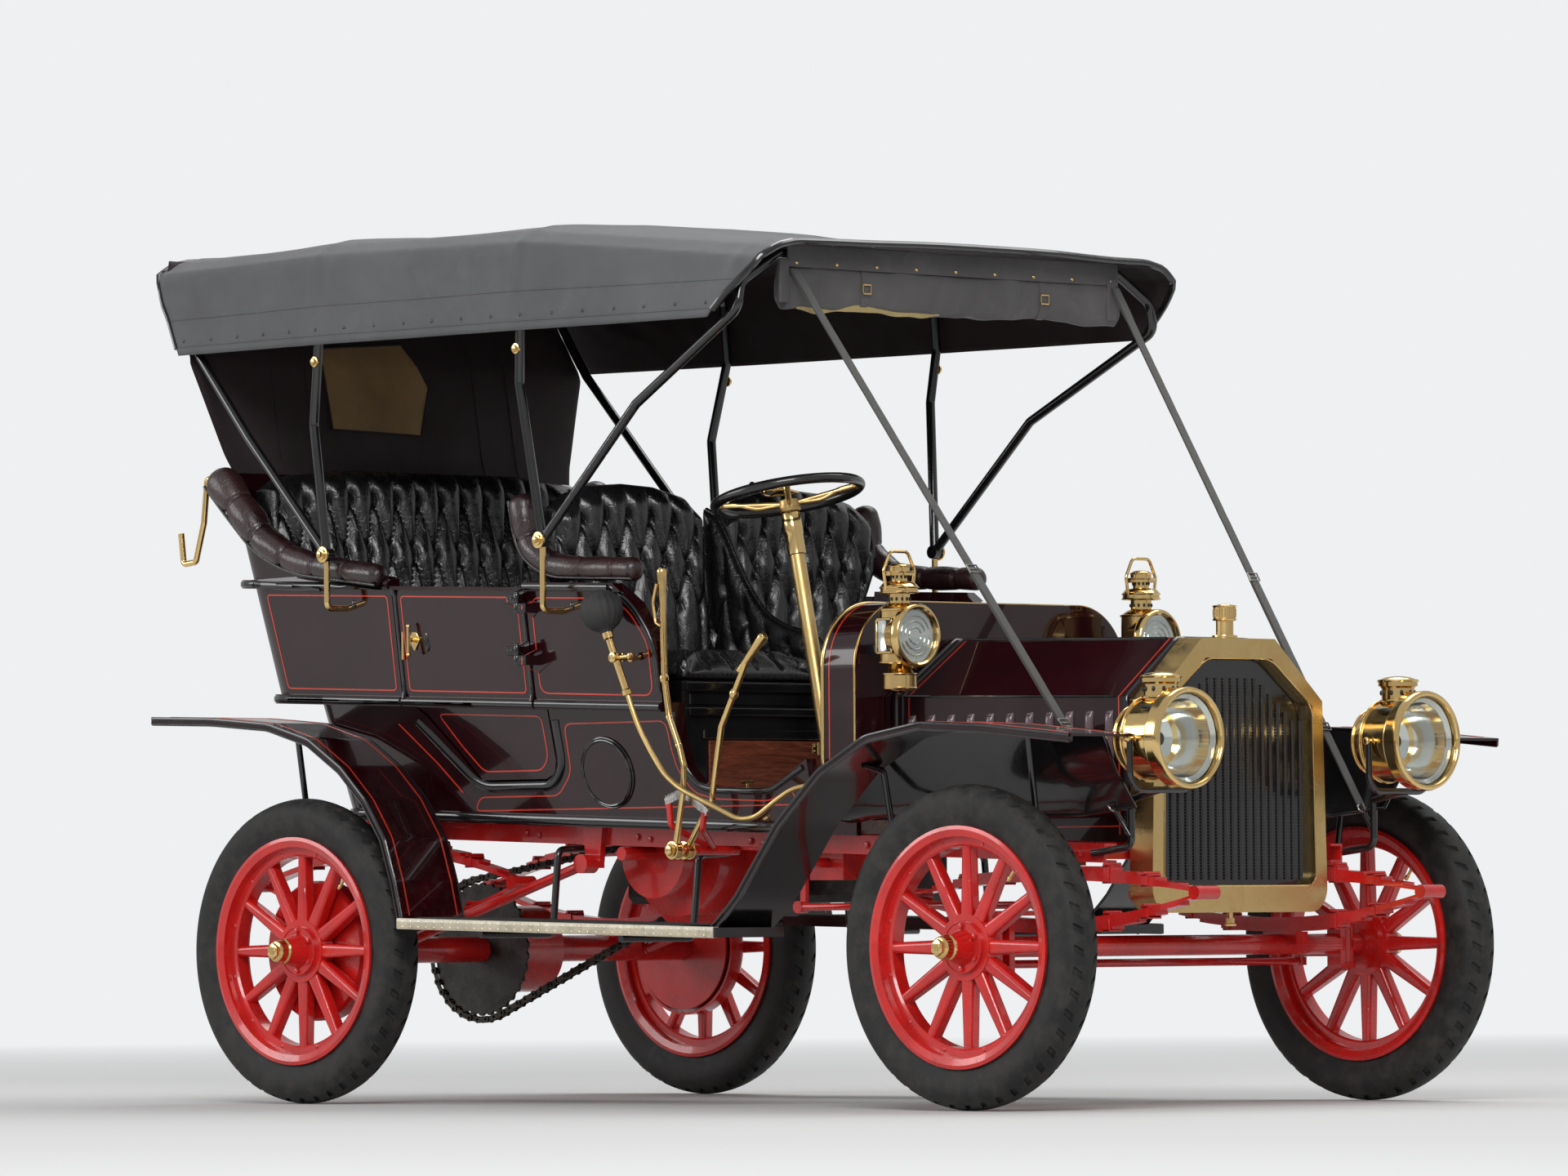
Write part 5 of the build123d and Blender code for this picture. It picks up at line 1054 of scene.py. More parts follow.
class CAR_OT_body_trim(bpy.types.Operator):
    """Lay the black mouldings and the pinstripes on the body and doors"""
    bl_idname = "touring_car.body_trim"
    bl_label = "Mouldings and Pinstripes"

    def execute(self, context):
        fine = flat_section(context.scene.car_sizes.stripe_width, 0.0009)
        round_bead = bead_section(BEAD_WIDTH, 0.004)
        surface = Panels(*BODY_NODES)
        beads, stripes = new_shapes(2)
        for rise in (LEDGE_RISE, BELT_RISE):
            skin(beads, carried(ring_trace(surface, rise, DOOR_SPAN[0] - 0.006), round_bead))
        for side, word in SIDES:
            door_beads, door_stripes = new_shapes(2)
            for rise, short in ((LEDGE_RISE, PILLAR_GAP), (BELT_RISE, 0.145)):
                for bm, x0, x1 in ((door_beads, DOOR_SPAN[0] + PILLAR_GAP, DOOR_SPAN[1] - PILLAR_GAP),
                                   (beads, DOOR_SPAN[1] + PILLAR_GAP, QUARTER_EDGE - short)):
                    lay(bm, surface, raked(rise, x0, x1), side, round_bead)
            for x in (DOOR_SPAN[0] + 0.009, DOOR_SPAN[1] - 0.009):
                lay(door_beads, surface, raked(PANEL_FOOT - 0.004, x) + raked(PANEL_TOP + 0.004, x), side,
                    bead_section(0.011, 0.005))
            quarter = (raked(PANEL_TOP + 0.008, -1.285) + raked(BELT_RISE - 0.047, -1.218) +
                       raked(BELT_RISE - 0.135, -1.159) + [(-1.159, 1.02)])
            for corners, width, thick, bend in (
                (quarter, 0.015, 0.006, 0.05), (FOOT_BEAD, 0.016, 0.006, 0.035),
                (GUARD_BEAD, 0.026, 0.008, 0.06), (raked(0.014, -2.42, -0.75), 0.020, 0.003, 0.03),
            ):
                lay(beads, surface, corners, side, bead_section(width, thick), bend)
            low, high = PANEL_FOOT + STRIPE_INSET, PANEL_TOP - STRIPE_INSET
            rear = DOOR_SPAN[1] + 0.022
            front_panel = (raked(low, rear) + raked(high, rear, -1.300) + raked(high - 0.030, -1.236) +
                           raked(high - 0.110, -1.180) + raked(low, -1.180))
            under = LEDGE_RISE - 0.012 - 0.018
            door_foot = [*raked(under, -1.630), (-1.630, 0.866), (-1.662, 0.836), (-1.872, 0.836),
                         (-1.938, 0.902), *raked(under, -2.006)]
            door_rear = DOOR_SPAN[0] + 0.030
            for bm, corners, bend, closed in (
                (stripes, upper_corners(-2.515, -2.560, DOOR_SPAN[0] - 0.020), 0.012, True),
                (stripes, front_panel, 0.03, True),
                (door_stripes, upper_corners(door_rear, door_rear, DOOR_SPAN[1] - 0.030), 0.012, True),
                (door_stripes, door_foot, 0.02, True),
                (stripes, LOWER_STRIPE, 0.025, True),
                (stripes, REAR_STRIPE, 0.02, False),
            ):
                lay(bm, surface, corners, side, fine, bend, closed)
            finish_piece(f"door_beads_{word}", door_beads, "dark_enamel", f"door_{word}")
            finish_piece(f"door_stripes_{word}", door_stripes, "stripe", f"door_{word}")
            spot, out = surface.beside(*ROUND_COVER, side)
            torus(beads, spot - out * 0.001, out, 0.083, 0.004, sides=8)
            torus(beads, spot - out * 0.004, out, 0.089, 0.003, sides=8)
            for x, z in BODY_BUTTONS:
                ball(beads, surface.beside(x, z, side)[0], 0.010, (0.8, 0.45, 1.1), 8)
        line = stepped(rounded([Vector(corner) for corner in BACK_STRIPE], 0.02), 0.03, True)
        trace = [surface.touch((-3.2, p.x, line_z(p.y, -2.64)), (1, 0, 0)) for p in line]
        skin(stripes, carried([spot for spot in trace if spot], fine, True), True)
        finish_piece("body_beads", beads, "dark_enamel")
        finish_piece("body_stripes", stripes, "stripe")
        return {"FINISHED"}


HINGE_HEIGHTS = (1.250, 1.120)
HINGE_PIN = (DOOR_SPAN[1], 0.665)
KNOB = 0.022


class CAR_OT_door_fittings(bpy.types.Operator):
    """Fit the brass latch and handle, and the black catch and hinges, to both doors"""
    bl_idname = "touring_car.door_fittings"
    bl_label = "Door Fittings"

    def execute(self, context):
        surface = Panels(*BODY_NODES)
        for side, word in SIDES:
            brass, catch, leaves, hinges = new_shapes(4)
            spot, out = surface.beside(-2.022, 1.172, side)
            turn = Matrix.Rotation(math.radians(45), 3, "Y")
            made = box(brass, (-0.017, -0.0015, -0.017), (0.017, 0.0015, 0.017), 0.001, turn=turn)
            bmesh.ops.scale(brass, vec=(0.85, 1, 1.25), verts=made)
            bmesh.ops.translate(brass, vec=spot + out * 0.001, verts=made)
            drum(brass, spot, spot + out * 0.020, 0.0065, sides=16)
            bar = [spot + out * KNOB + UP * z for z in (-0.036, -0.018, 0, 0.018, 0.036)]
            rod(brass, bar, 0.0048, bend=0.008)
            for end in (bar[0], bar[-1]):
                ball(brass, end, 0.0062, rings=8)
            strip, _ = surface.beside(-2.066, 1.163, side)
            box(brass, strip - Vector((0.0035, 0.004, 0.042)), strip + Vector((0.0035, 0.004, 0.042)), 0.0012)
            spot, out = surface.beside(-1.978, 1.170, side)
            ball(catch, spot - out * 0.001, 0.016, (0.62, 0.25, 1.9), 10)
            finish_piece(f"door_handle_{word}", brass, "brass", f"door_{word}")
            finish_piece(f"door_catch_{word}", catch, "dark_enamel", f"door_{word}")
            x, y = HINGE_PIN[0], side * HINGE_PIN[1]
            for z in HINGE_HEIGHTS:
                for bm, low, high, near in ((leaves, z + 0.0003, z + 0.0244, -0.0345),
                                            (hinges, z - 0.0244, z - 0.0006, 0.0005)):
                    drum(bm, (x, y, low), (x, y, high), 0.0078, sides=20, bevel=0.0008)
                    box(bm, (x + near, y - 0.0036, low), (x + near + 0.034, y + 0.0036, high), 0.0008)
                ball(leaves, (x, y, z + 0.0255), 0.0062, rings=6)
                for end in (-0.028, -0.016):
                    ball(leaves, (x + end, y + side * 0.0036, z + 0.012), 0.0035, (1, 0.5, 1), 5)
                    ball(hinges, (x - end, y + side * 0.0036, z - 0.012), 0.0035, (1, 0.5, 1), 5)
            finish_piece(f"door_hinge_{word}", leaves, "dark_enamel", f"door_{word}")
            finish_piece(f"post_hinge_{word}", hinges, "dark_enamel")
        return {"FINISHED"}


# Wheels

TYRE_RADIUS = 0.3875
TRACK_HALF = 0.711
REAR_AXLE_X = -2.337
TYRE_PROFILE = (
    # radius, half width
    (0.2683, 0.0400), (0.2930, 0.0405), (0.3060, 0.0462), (0.3220, 0.0512), (0.3400, 0.0530),
    (0.3540, 0.0518), (0.3660, 0.0465), (0.3740, 0.0400), (0.3785, 0.0340), (0.3825, 0.0240),
    (0.3850, 0.0150), (0.3868, 0.0055),
)
TREAD_CUTS = 46
TREAD_STEPS = 3
CORNERS = (("front_right", 0.0, -1), ("front_left", 0.0, 1), ("rear_right", REAR_AXLE_X, -1),
           ("rear_left", REAR_AXLE_X, 1))
TREAD_DEPTH = 0.0065
BOLT_CIRCLE = 0.051
RIM_RIVETS = 12
VALVE_ANGLE = 0.9
HUB_CAP = ((0, 0.0765), (0.0312, 0.0765), (0.0312, 0.0800), (0.0290, 0.0830), (0.0278, 0.0850),
           (0.0278, 0.1000), (0.0262, 0.1040), (0.0215, 0.1068), (0.0, 0.1068))


def tyre_mesh(axle_x, side):
    """The ring tyre with its slanted tread cuts."""
    bm = bmesh.new()
    half = list(TYRE_PROFILE)
    profile = [(r, w) for r, w in half] + [(r, -w) for r, w in reversed(half)]
    profile.append(profile[0])
    steps = TREAD_CUTS * TREAD_STEPS
    lathe(bm, profile, (0, 0, 0), (0, 0, 1), steps)
    bmesh.ops.remove_doubles(bm, verts=bm.verts, dist=1e-5)
    bmesh.ops.recalc_face_normals(bm, faces=bm.faces)
    turn = math.tau / steps
    cuts = []
    for face in bm.faces:
        middle = face.calc_center_median()
        radius, across = math.hypot(middle.x, middle.y), abs(middle.z)
        shift = TREAD_STEPS / 2 if middle.z > 0 else 0
        index = math.floor(math.atan2(middle.y, middle.x) / turn + steps + shift)
        if radius > 0.372 and 0.012 < across < 0.043 and index % TREAD_STEPS == 0:
            cuts.append(face)
    bmesh.ops.inset_region(bm, faces=cuts, thickness=0.0022, depth=0.0, use_even_offset=True)
    deeper = {v for face in cuts for v in face.verts}
    for vert in deeper:
        size = math.hypot(vert.co.x, vert.co.y)
        vert.co.x *= (size - TREAD_DEPTH) / size
        vert.co.y *= (size - TREAD_DEPTH) / size
    for vert in bm.verts:
        size = math.hypot(vert.co.x, vert.co.y)
        if size > 0.366:
            slant = 1.15 * turn * (abs(vert.co.z) / 0.034)
            vert.co = Matrix.Rotation(slant, 3, "Z") @ vert.co
    bmesh.ops.transform(bm, matrix=Matrix.Rotation(math.radians(90), 4, "X"), verts=bm.verts)
    bmesh.ops.translate(bm, vec=(axle_x, side * TRACK_HALF, TYRE_RADIUS), verts=bm.verts)
    return bm


class CAR_OT_wheels(bpy.types.Operator):
    """Cut the tyre treads and fit the hub caps, bolts and valve stems"""
    bl_idname = "touring_car.wheels"
    bl_label = "Tyres and Hubs"

    def execute(self, context):
        for corner, axle_x, side in CORNERS:
            body = f"wheel_{corner}"
            finish_piece(f"tread_{corner}", tyre_mesh(axle_x, side), "rubber", body, sharp=28,
                         stands_for=(f"tyre_{corner}",))
            centre = Vector((axle_x, side * TRACK_HALF, TYRE_RADIUS))
            out = Vector((0, side, 0))
            cap, bolts, stem = new_shapes(3)
            lathe(cap, HUB_CAP, centre, out, 40)
            drum(cap, centre + out * 0.104, centre + out * 0.1165, 0.0205, sides=6, bevel=0.0014)
            drum(cap, centre + out * 0.116, centre + out * 0.1178, 0.009, sides=16)
            finish_piece(f"hub_cap_{corner}", cap, "brass", body)
            for angle in clock(context.scene.car_sizes.spoke_bolts, 0.5):
                nut(bolts, centre + out * 0.0300 + side_ray(angle) * BOLT_CIRCLE, out, 0.0068, 0.0075, 0.0085)
            for angle in clock(RIM_RIVETS, 0.5):
                ball(bolts, centre + out * 0.0240 + side_ray(angle) * 0.2505, 0.0055, (1, 0.5, 1), 6)
            torus(bolts, centre + out * 0.0305, out, 0.0605, 0.0022, 40, 6)
            finish_piece(f"hub_bolts_{corner}", bolts, "enamel", body)
            ray = side_ray(VALVE_ANGLE)
            drum(stem, centre + ray * 0.242, centre + ray * 0.205, 0.0042, sides=12)
            drum(stem, centre + ray * 0.242, centre + ray * 0.232, 0.0075, sides=6)
            drum(stem, centre + ray * 0.212, centre + ray * 0.200, 0.0056, sides=12, bevel=0.001)
            finish_piece(f"valve_stem_{corner}", stem, "brass", body)
        return {"FINISHED"}


# Arm rolls

REAR_ROLL = ((-2.722, 1.618), (-2.638, 1.530), (-2.545, 1.432), (-2.422, 1.376), (-2.237, 1.350),
             (-2.110, 1.334))


# The front rolls: place along, place across and height above the seat side's top.
FRONT_ROLL = ((-1.640, 0.610, 0.195), (-1.610, 0.610, 0.060), (-1.520, 0.612, 0.008), (-1.400, 0.612, 0.0),
              (-1.215, 0.612, -0.008))
SEAM_PINCH = 0.15
SEAM_WIDTH = 0.0055
SEAM_SWELL = 0.035


def roll_size(thin, thick, pitch):
    """The radius along a padded roll: tapering, pinched at its seams and rounded at its ends."""
    def size(run, whole):
        share = run / whole
        radius = thick + (thin - thick) * smooth(share * 1.1)
        seam = (run + pitch / 2) % pitch - pitch / 2
        swell = SEAM_SWELL * math.cos(math.tau * seam / pitch + math.pi)
        radius *= 1 - SEAM_PINCH * math.exp(-(seam / SEAM_WIDTH) ** 2) + swell
        end = min(run, whole - run)
        return radius * math.sqrt(clamp(1 - (1 - clamp(end / (radius * 0.8))) ** 2))
    return size


def padded_roll(line, size, side):
    bm = bmesh.new()
    rings = tube_rings(line, size, 32)
    for ring in rings:
        middle = sum(ring, Vector()) / len(ring)
        for index, place in enumerate(ring):
            fold = noise.noise(Vector((place.x * 22, place.z * 22, place.y * 9 * side)))
            ring[index] = middle + (place - middle) * (1 + 0.055 * fold)
    skin(bm, rings)
    return bm


class CAR_OT_arm_rolls(bpy.types.Operator):
    """Stuff the leather rolls along the sides of the body"""
    bl_idname = "touring_car.arm_rolls"
    bl_label = "Arm Rolls"

    def execute(self, context):
        pitch = context.scene.car_sizes.seam_pitch
        base = line_z(0.608, -1.400) + 0.036
        front_path = [(x, y, base + rise) for x, y, rise in FRONT_ROLL]
        rear_path = [(x, 0.662 - 0.06 * (1.6 - z), z) for x, z in REAR_ROLL]
        pipes = bmesh.new()
        for end, path, thin, thick, bend in (("rear", rear_path, 0.030, 0.045, 0.07),
                                             ("front", front_path, 0.029, 0.036, 0.06)):
            for side, word in SIDES:
                line = [Vector((x, y * side, z)) for x, y, z in path]
                line = stepped(rounded(line, bend, closed=False, steps=10), 0.0045)
                bm = padded_roll(line, roll_size(thin, thick, pitch), side)
                piece = finish_piece(f"{end}_arm_roll_{word}", bm, "roll", sharp=70,
                                     stands_for=("arm_rolls",))
                low = []
                for index, place in enumerate(line[3:-2]):
                    ahead = (line[index + 4] - line[index + 2]).normalized()
                    down = Vector((0, side, 0)).cross(ahead) * side
                    down = down if down.z < 0 else -down
                    reach = thick + (thin - thick) * smooth(index / len(line) * 1.1)
                    low.append(place + (down * 0.80 + Vector((0, side * 0.60, 0))) * reach)
                skin(pipes, tube_rings(low[::3], 0.0042, 8))
        finish_piece("roll_piping", pipes, "leather", sharp=60)
        return {"FINISHED"}


# Curtains and straps

CURTAIN_FACE = ((1.605, -2.7245), (1.665, -2.745), (1.922, -2.7889), (2.115, -2.8964), (2.174, -2.9040))
CURTAIN_HALF = ((1.600, 0.592), (1.900, 0.698), (2.130, 0.676), (2.174, 0.664))
CURTAIN_LOW = 1.605
CURTAIN_DROP = 0.569
WINDOW = ((-0.240, 1.958), (0.075, 1.980), (0.135, 1.866), (0.087, 1.737), (-0.228, 1.745))


def curtain_point(u, v):
    """Across the car with u, from the lower edge up with v; hung loosely, with upright folds."""
    z = CURTAIN_LOW + CURTAIN_DROP * v
    half = between(CURTAIN_HALF, z)
    y = half * (2 * u - 1)
    slack = smooth(v / 0.15) * smooth((1 - v) / 0.15)
    fold = 0.0035 * math.sin(y * 15 + 0.7) * noise.noise(Vector((y * 4, z * 3, 2.0)))
    belly = 0.004 * math.cos(math.pi * y / 1.3) * slack
    # the lining hangs 4.5 mm inside the outer face of the solid
    return Vector((between(CURTAIN_FACE, z) + 0.0045 - belly + fold * slack, y, z))


class CAR_OT_rear_curtain(bpy.types.Operator):
    """Hang the rear curtain, with its seams and window"""
    bl_idname = "touring_car.rear_curtain"
    bl_label = "Rear Curtain"

    def execute(self, context):
        bm = sheet_grid(110, 44, curtain_point)
        width, depth = sheet_size(curtain_point)
        scale_uv(bm, width, depth)
        piece = finish_piece("hung_rear_curtain", bm, "lining", sharp=60, stands_for=("rear_curtain",))
        wall = piece.modifiers.new("cloth thickness", "SOLIDIFY")
        wall.thickness = 0.002
        wall.offset = 0.0

        def at(y, z, out):
            v = (z - CURTAIN_LOW) / CURTAIN_DROP
            return curtain_point(clamp(0.5 + y / (2 * between(CURTAIN_HALF, z))), v) + Vector((out, 0, 0))

        corners = [Vector(c) for c in WINDOW]
        pane = bmesh.new()
        outline = [pane.verts.new((0, y, z)) for y, z in WINDOW]
        face = bmesh.ops.contextual_create(pane, geom=outline)["faces"]
        bmesh.ops.triangulate(pane, faces=face)
        bmesh.ops.subdivide_edges(pane, edges=list(pane.edges), cuts=9, use_grid_fill=True)
        bmesh.ops.triangulate(pane, faces=list(pane.faces))
        for vert in pane.verts:
            sag = 0.0025 * noise.noise(Vector((vert.co.y * 9, vert.co.z * 7, 4.0)))
            vert.co = at(vert.co.y, vert.co.z, 0.0035 + sag)
        out = bmesh.ops.extrude_face_region(pane, geom=list(pane.faces))["geom"]
        inner = [g for g in out if isinstance(g, bmesh.types.BMVert)]
        bmesh.ops.translate(pane, vec=(-0.0100, 0, 0), verts=inner)
        finish_piece("curtain_window", pane, "window", sharp=60)
        seams = bmesh.new()
        ring = stepped(corners + [corners[0]], 0.03)
        frame_line = [at(p.x, p.y, 0.0045) for p in ring]
        rod(seams, frame_line[:-1], 0.0028, rounds=2, closed=True)
        rod(seams, [p - Vector((0.0125, 0, 0)) for p in frame_line[:-1]], 0.0028, rounds=2, closed=True)
        for y in (-0.42, -0.30, 0.30, 0.42):
            for out_by in (0.0012, -0.0012):
                line = [at(y, CURTAIN_LOW + 0.005 + 0.555 * i / 24, out_by) for i in range(25)]
                rod(seams, line, 0.0011, rounds=1)
        finish_piece("curtain_seams", seams, "lining")
        return {"FINISHED"}


ROLL_MIDDLE = (-0.735, 2.008)
ROLL_TIES = (-0.318, 0.318)
# The four bars of a tie's buckle: lowest and highest place across from the tie, and height.
TIE_BUCKLE = ((-0.015, 0.015, 1.990, 1.994), (-0.015, 0.015, 2.012, 2.016), (-0.015, -0.013, 1.990, 2.016),
              (0.013, 0.015, 1.990, 2.016))


def rolled_section(y):
    """A flattened roll of curtain at one place across the car."""
    gap = min(abs(y - tie) for tie in ROLL_TIES)
    puff = smooth(gap / 0.12)
    deep = 0.0175 + 0.0045 * puff
    high = 0.052 + 0.004 * puff
    sag = 0.006 * puff
    ring = []
    for angle in clock(36):
        c, s = math.cos(angle), math.sin(angle)
        wave = noise.noise(Vector((y * 13, c * 1.3, s * 1.3 + 5))) * 0.0045 * (0.4 + puff)
        x = ROLL_MIDDLE[0] + (deep + wave) * math.copysign(abs(c) ** 0.75, c)
        z = ROLL_MIDDLE[1] - sag + (high + wave) * math.copysign(abs(s) ** 0.85, s)
        ring.append(Vector((x, y, z)))
    return ring


class CAR_OT_front_curtain(bpy.types.Operator):
    """Roll up the front curtain and tie it under the front bow"""
    bl_idname = "touring_car.front_curtain"
    bl_label = "Rolled Front Curtain"

    def execute(self, context):
        bm = bmesh.new()
        skin(bm, [rolled_section(-0.594 + 1.188 * i / 120) for i in range(121)])
        roll = finish_piece("rolled_curtain", bm, "roll_cloth", sharp=50, stands_for=("front_curtain",))
        band = bmesh.new()
        x = ROLL_MIDDLE[0] + 0.0215
        box(band, (x - 0.004, -0.590, 2.048), (x + 0.001, 0.590, 2.103), 0.0012)
        for side, _ in SIDES:
            box(band, (x - 0.006, side * 0.585 - 0.035, 1.960), (x + 0.003, side * 0.585 - 0.003, 2.066),
                0.0015)
        for y in ROLL_TIES:
            middle = Vector((ROLL_MIDDLE[0], y, ROLL_MIDDLE[1]))
            ring = [p + (p - middle).normalized() * 0.0012 for p in rolled_section(y)]
            trace = [(p, (p - middle).normalized()) for p in ring]
            skin(band, carried(trace, flat_section(0.024, 0.0022, 0.002), True), True)
        finish_piece("curtain_ties", band, "roll_cloth")
        snaps = bmesh.new()
        for index in range(9):
            y = -0.56 + 0.14 * index
            ball(snaps, (x + 0.0012, y, 2.0585), 0.0048, (0.45, 1, 1), 6)
        for y in ROLL_TIES:
            for y0, y1, z0, z1 in TIE_BUCKLE:
                box(snaps, (x + 0.001, y + y0, z0), (x + 0.0045, y + y1, z1), 0.0008)
        finish_piece("curtain_snaps", snaps, "brass")
        light, rings = bmesh.new(), []
        for i in range(61):
            y = 0.05 + 0.50 * i / 60
            low = min(p.z for p in rolled_section(y))
            wander = 0.7 + 0.6 * noise.noise(Vector((y * 11, 0, 0)))
            peek = 0.010 * smooth(i / 10) * smooth((60 - i) / 10) * wander
            rings.append([Vector((ROLL_MIDDLE[0] + 0.009 + dx, -y, low + 0.008 - drop)) for dx, drop in
                          ((-0.0015, 0.0), (0.0015, 0.0), (0.003, peek + 0.008), (0.0, peek + 0.008))])
        skin(light, rings)
        finish_piece("curtain_light_edge", light, "celluloid")
        return {"FINISHED"}


STRAP_TOP = Vector((-0.7092, 0.574, 2.040))
STRAP_FOOT = Vector((0.212, 0.446, 0.727))
# Where along the strap, in metres from its top, the webbing lies double.
STRAP_LAP = ((0.0, 0), (0.90, 0), (0.93, 1), (1.36, 1), (1.38, 0), (2, 0))
STRAP_END = ((0.0, 1), (0.09, 1), (0.10, 0), (2, 0))
STRAP_BUCKLES = (0.915, 1.375)


class CAR_OT_straps(bpy.types.Operator):
    """Stretch the two webbing straps from the front bow to the lamp irons"""
    bl_idname = "touring_car.straps"
    bl_label = "Top Straps"

    def execute(self, context):
        along_strap = (STRAP_FOOT - STRAP_TOP).normalized()
        whole = (STRAP_FOOT - STRAP_TOP).length
        out = along_strap.cross(ACROSS).normalized()
        out = out if out.x > 0 else -out
        for side, word in SIDES:
            flip = Matrix.Diagonal((1, side, 1))
            bm, metal = new_shapes(2)
            layer = bm.loops.layers.uv.new("UVMap")
            rings = []
            for i in range(121):
                run = whole * i / 120
                doubled = 0.0018 * (between(STRAP_LAP, run) + between(STRAP_END, run))
                ripple = 0.0006 * noise.noise(Vector((run * 30, 1, side)))
                place = STRAP_TOP + along_strap * run
                half, thick = 0.0128, 0.0019 + doubled
                rings.append([flip @ (place + ACROSS * a * half + out * (b * thick + ripple))
                              for a, b in ((-1, -1), (-1, 1), (0, 1.15), (1, 1), (1, -1), (0, -1.15))])
            skin(bm, rings)
            for face in bm.faces:
                for loop in face.loops:
                    loop[layer].uv = (loop.vert.co.z, loop.vert.co.y * 1.2)
            finish_piece(f"top_strap_{word}", bm, "webbing", stands_for=("top_straps",))
            for run in STRAP_BUCKLES:
                middle = STRAP_TOP + along_strap * run
                start, end = middle - along_strap * 0.011, middle + along_strap * 0.011
                corners = [flip @ (p + ACROSS * a * 0.017 + out * 0.0045) for p, a in
                           ((start, -1), (start, 1), (end, 1), (end, -1))]
                rod(metal, corners, 0.0022, closed=True, rounds=2)
                tongue = [flip @ (middle + ACROSS * a * 0.017 + out * 0.0045) for a in (-1, 1)]
                rod(metal, tongue, 0.0018, rounds=2)
            foot = STRAP_FOOT + along_strap * 0.012
            ring = [flip @ (foot + ACROSS * math.cos(t) * 0.015 + along_strap * math.sin(t) * 0.012)
                    for t in clock(20)]
            rod(metal, ring, 0.0026, closed=True, rounds=2)
            finish_piece(f"strap_buckle_{word}", metal, "steel")
        return {"FINISHED"}


# Front end

# Each end of the hood: station, half width and height at the side's edge, the same at the top's edge.
HOOD_ENDS = ((-0.5997, 0.352, 1.000, 0.144, 1.140), (0.1457, 0.306, 0.984, 0.124, 1.126))


def hood_edge(x, low):
    """The right-to-left outline of the hood at a station."""
    share = (x - HOOD_ENDS[0][0]) / (HOOD_ENDS[1][0] - HOOD_ENDS[0][0])
    half, side_top, top_half, top = (a + (b - a) * share for a, b in zip(HOOD_ENDS[0][1:], HOOD_ENDS[1][1:]))
    return [(half, low), (half, side_top), (top_half, top), (-top_half, top), (-half, side_top), (-half, low)]


def cast_band(bm, surface, casts, section, steepest=2.0):
    """A band where (start, direction) rays meet a surface, left out where it faces fore and aft."""
    trace = [hit for hit in (surface.touch(*cast) for cast in casts) if hit and abs(hit[1].x) < steepest]
    skin(bm, carried(trace, section))


def hood_band(bm, x, low, section):
    """A band over the hood from one side's foot to the other's."""
    casts = []
    for spot in stepped([Vector((x, y, z)) for y, z in hood_edge(x, low)], 0.02):
        if abs(spot.y) > 0.30 and spot.z < 0.995:
            direction = Vector((0, -math.copysign(1, spot.y), 0))
        elif abs(spot.y) > 0.145:
            direction = Vector((0, -math.copysign(0.56, spot.y), -0.83))
        else:
            direction = -UP
        casts.append((spot - direction * 0.1, direction))
    cast_band(bm, Panels("hood"), casts, section)


COWL_HALF = 0.482
COWL_TOP = 1.232
COWL_FOOT = 0.700
COWL_CORNER = 0.1584


def cowl_band(bm, x, section):
    """A band round the scuttle from one foot to the other."""
    corners = ((COWL_HALF, COWL_FOOT), (COWL_HALF, COWL_TOP), (-COWL_HALF, COWL_TOP), (-COWL_HALF, COWL_FOOT))
    outline = rounded([Vector(corner) for corner in corners], COWL_CORNER, closed=False, steps=14)
    casts = []
    for spot in stepped(outline, 0.02):
        middle = Vector((clamp(spot.x, -0.3, 0.3), min(spot.y, 1.06)))
        way = (middle - spot).normalized()
        casts.append(((x, spot.x - way.x * 0.1, spot.y - way.y * 0.1), (0, way.x, way.y)))
    cast_band(bm, Panels("cowl"), casts, section, 0.5)


FILLER_CAP = Vector((0.176, 0, 1.170))
FILLER_COLLAR = ((0.0222, -0.044), (0.0300, -0.044), (0.0310, -0.040), (0.0300, -0.036), (0.0222, -0.036))
SHELL_OPENING = ((0.272, 0.530), (0.262, 0.965), (0.115, 1.077))


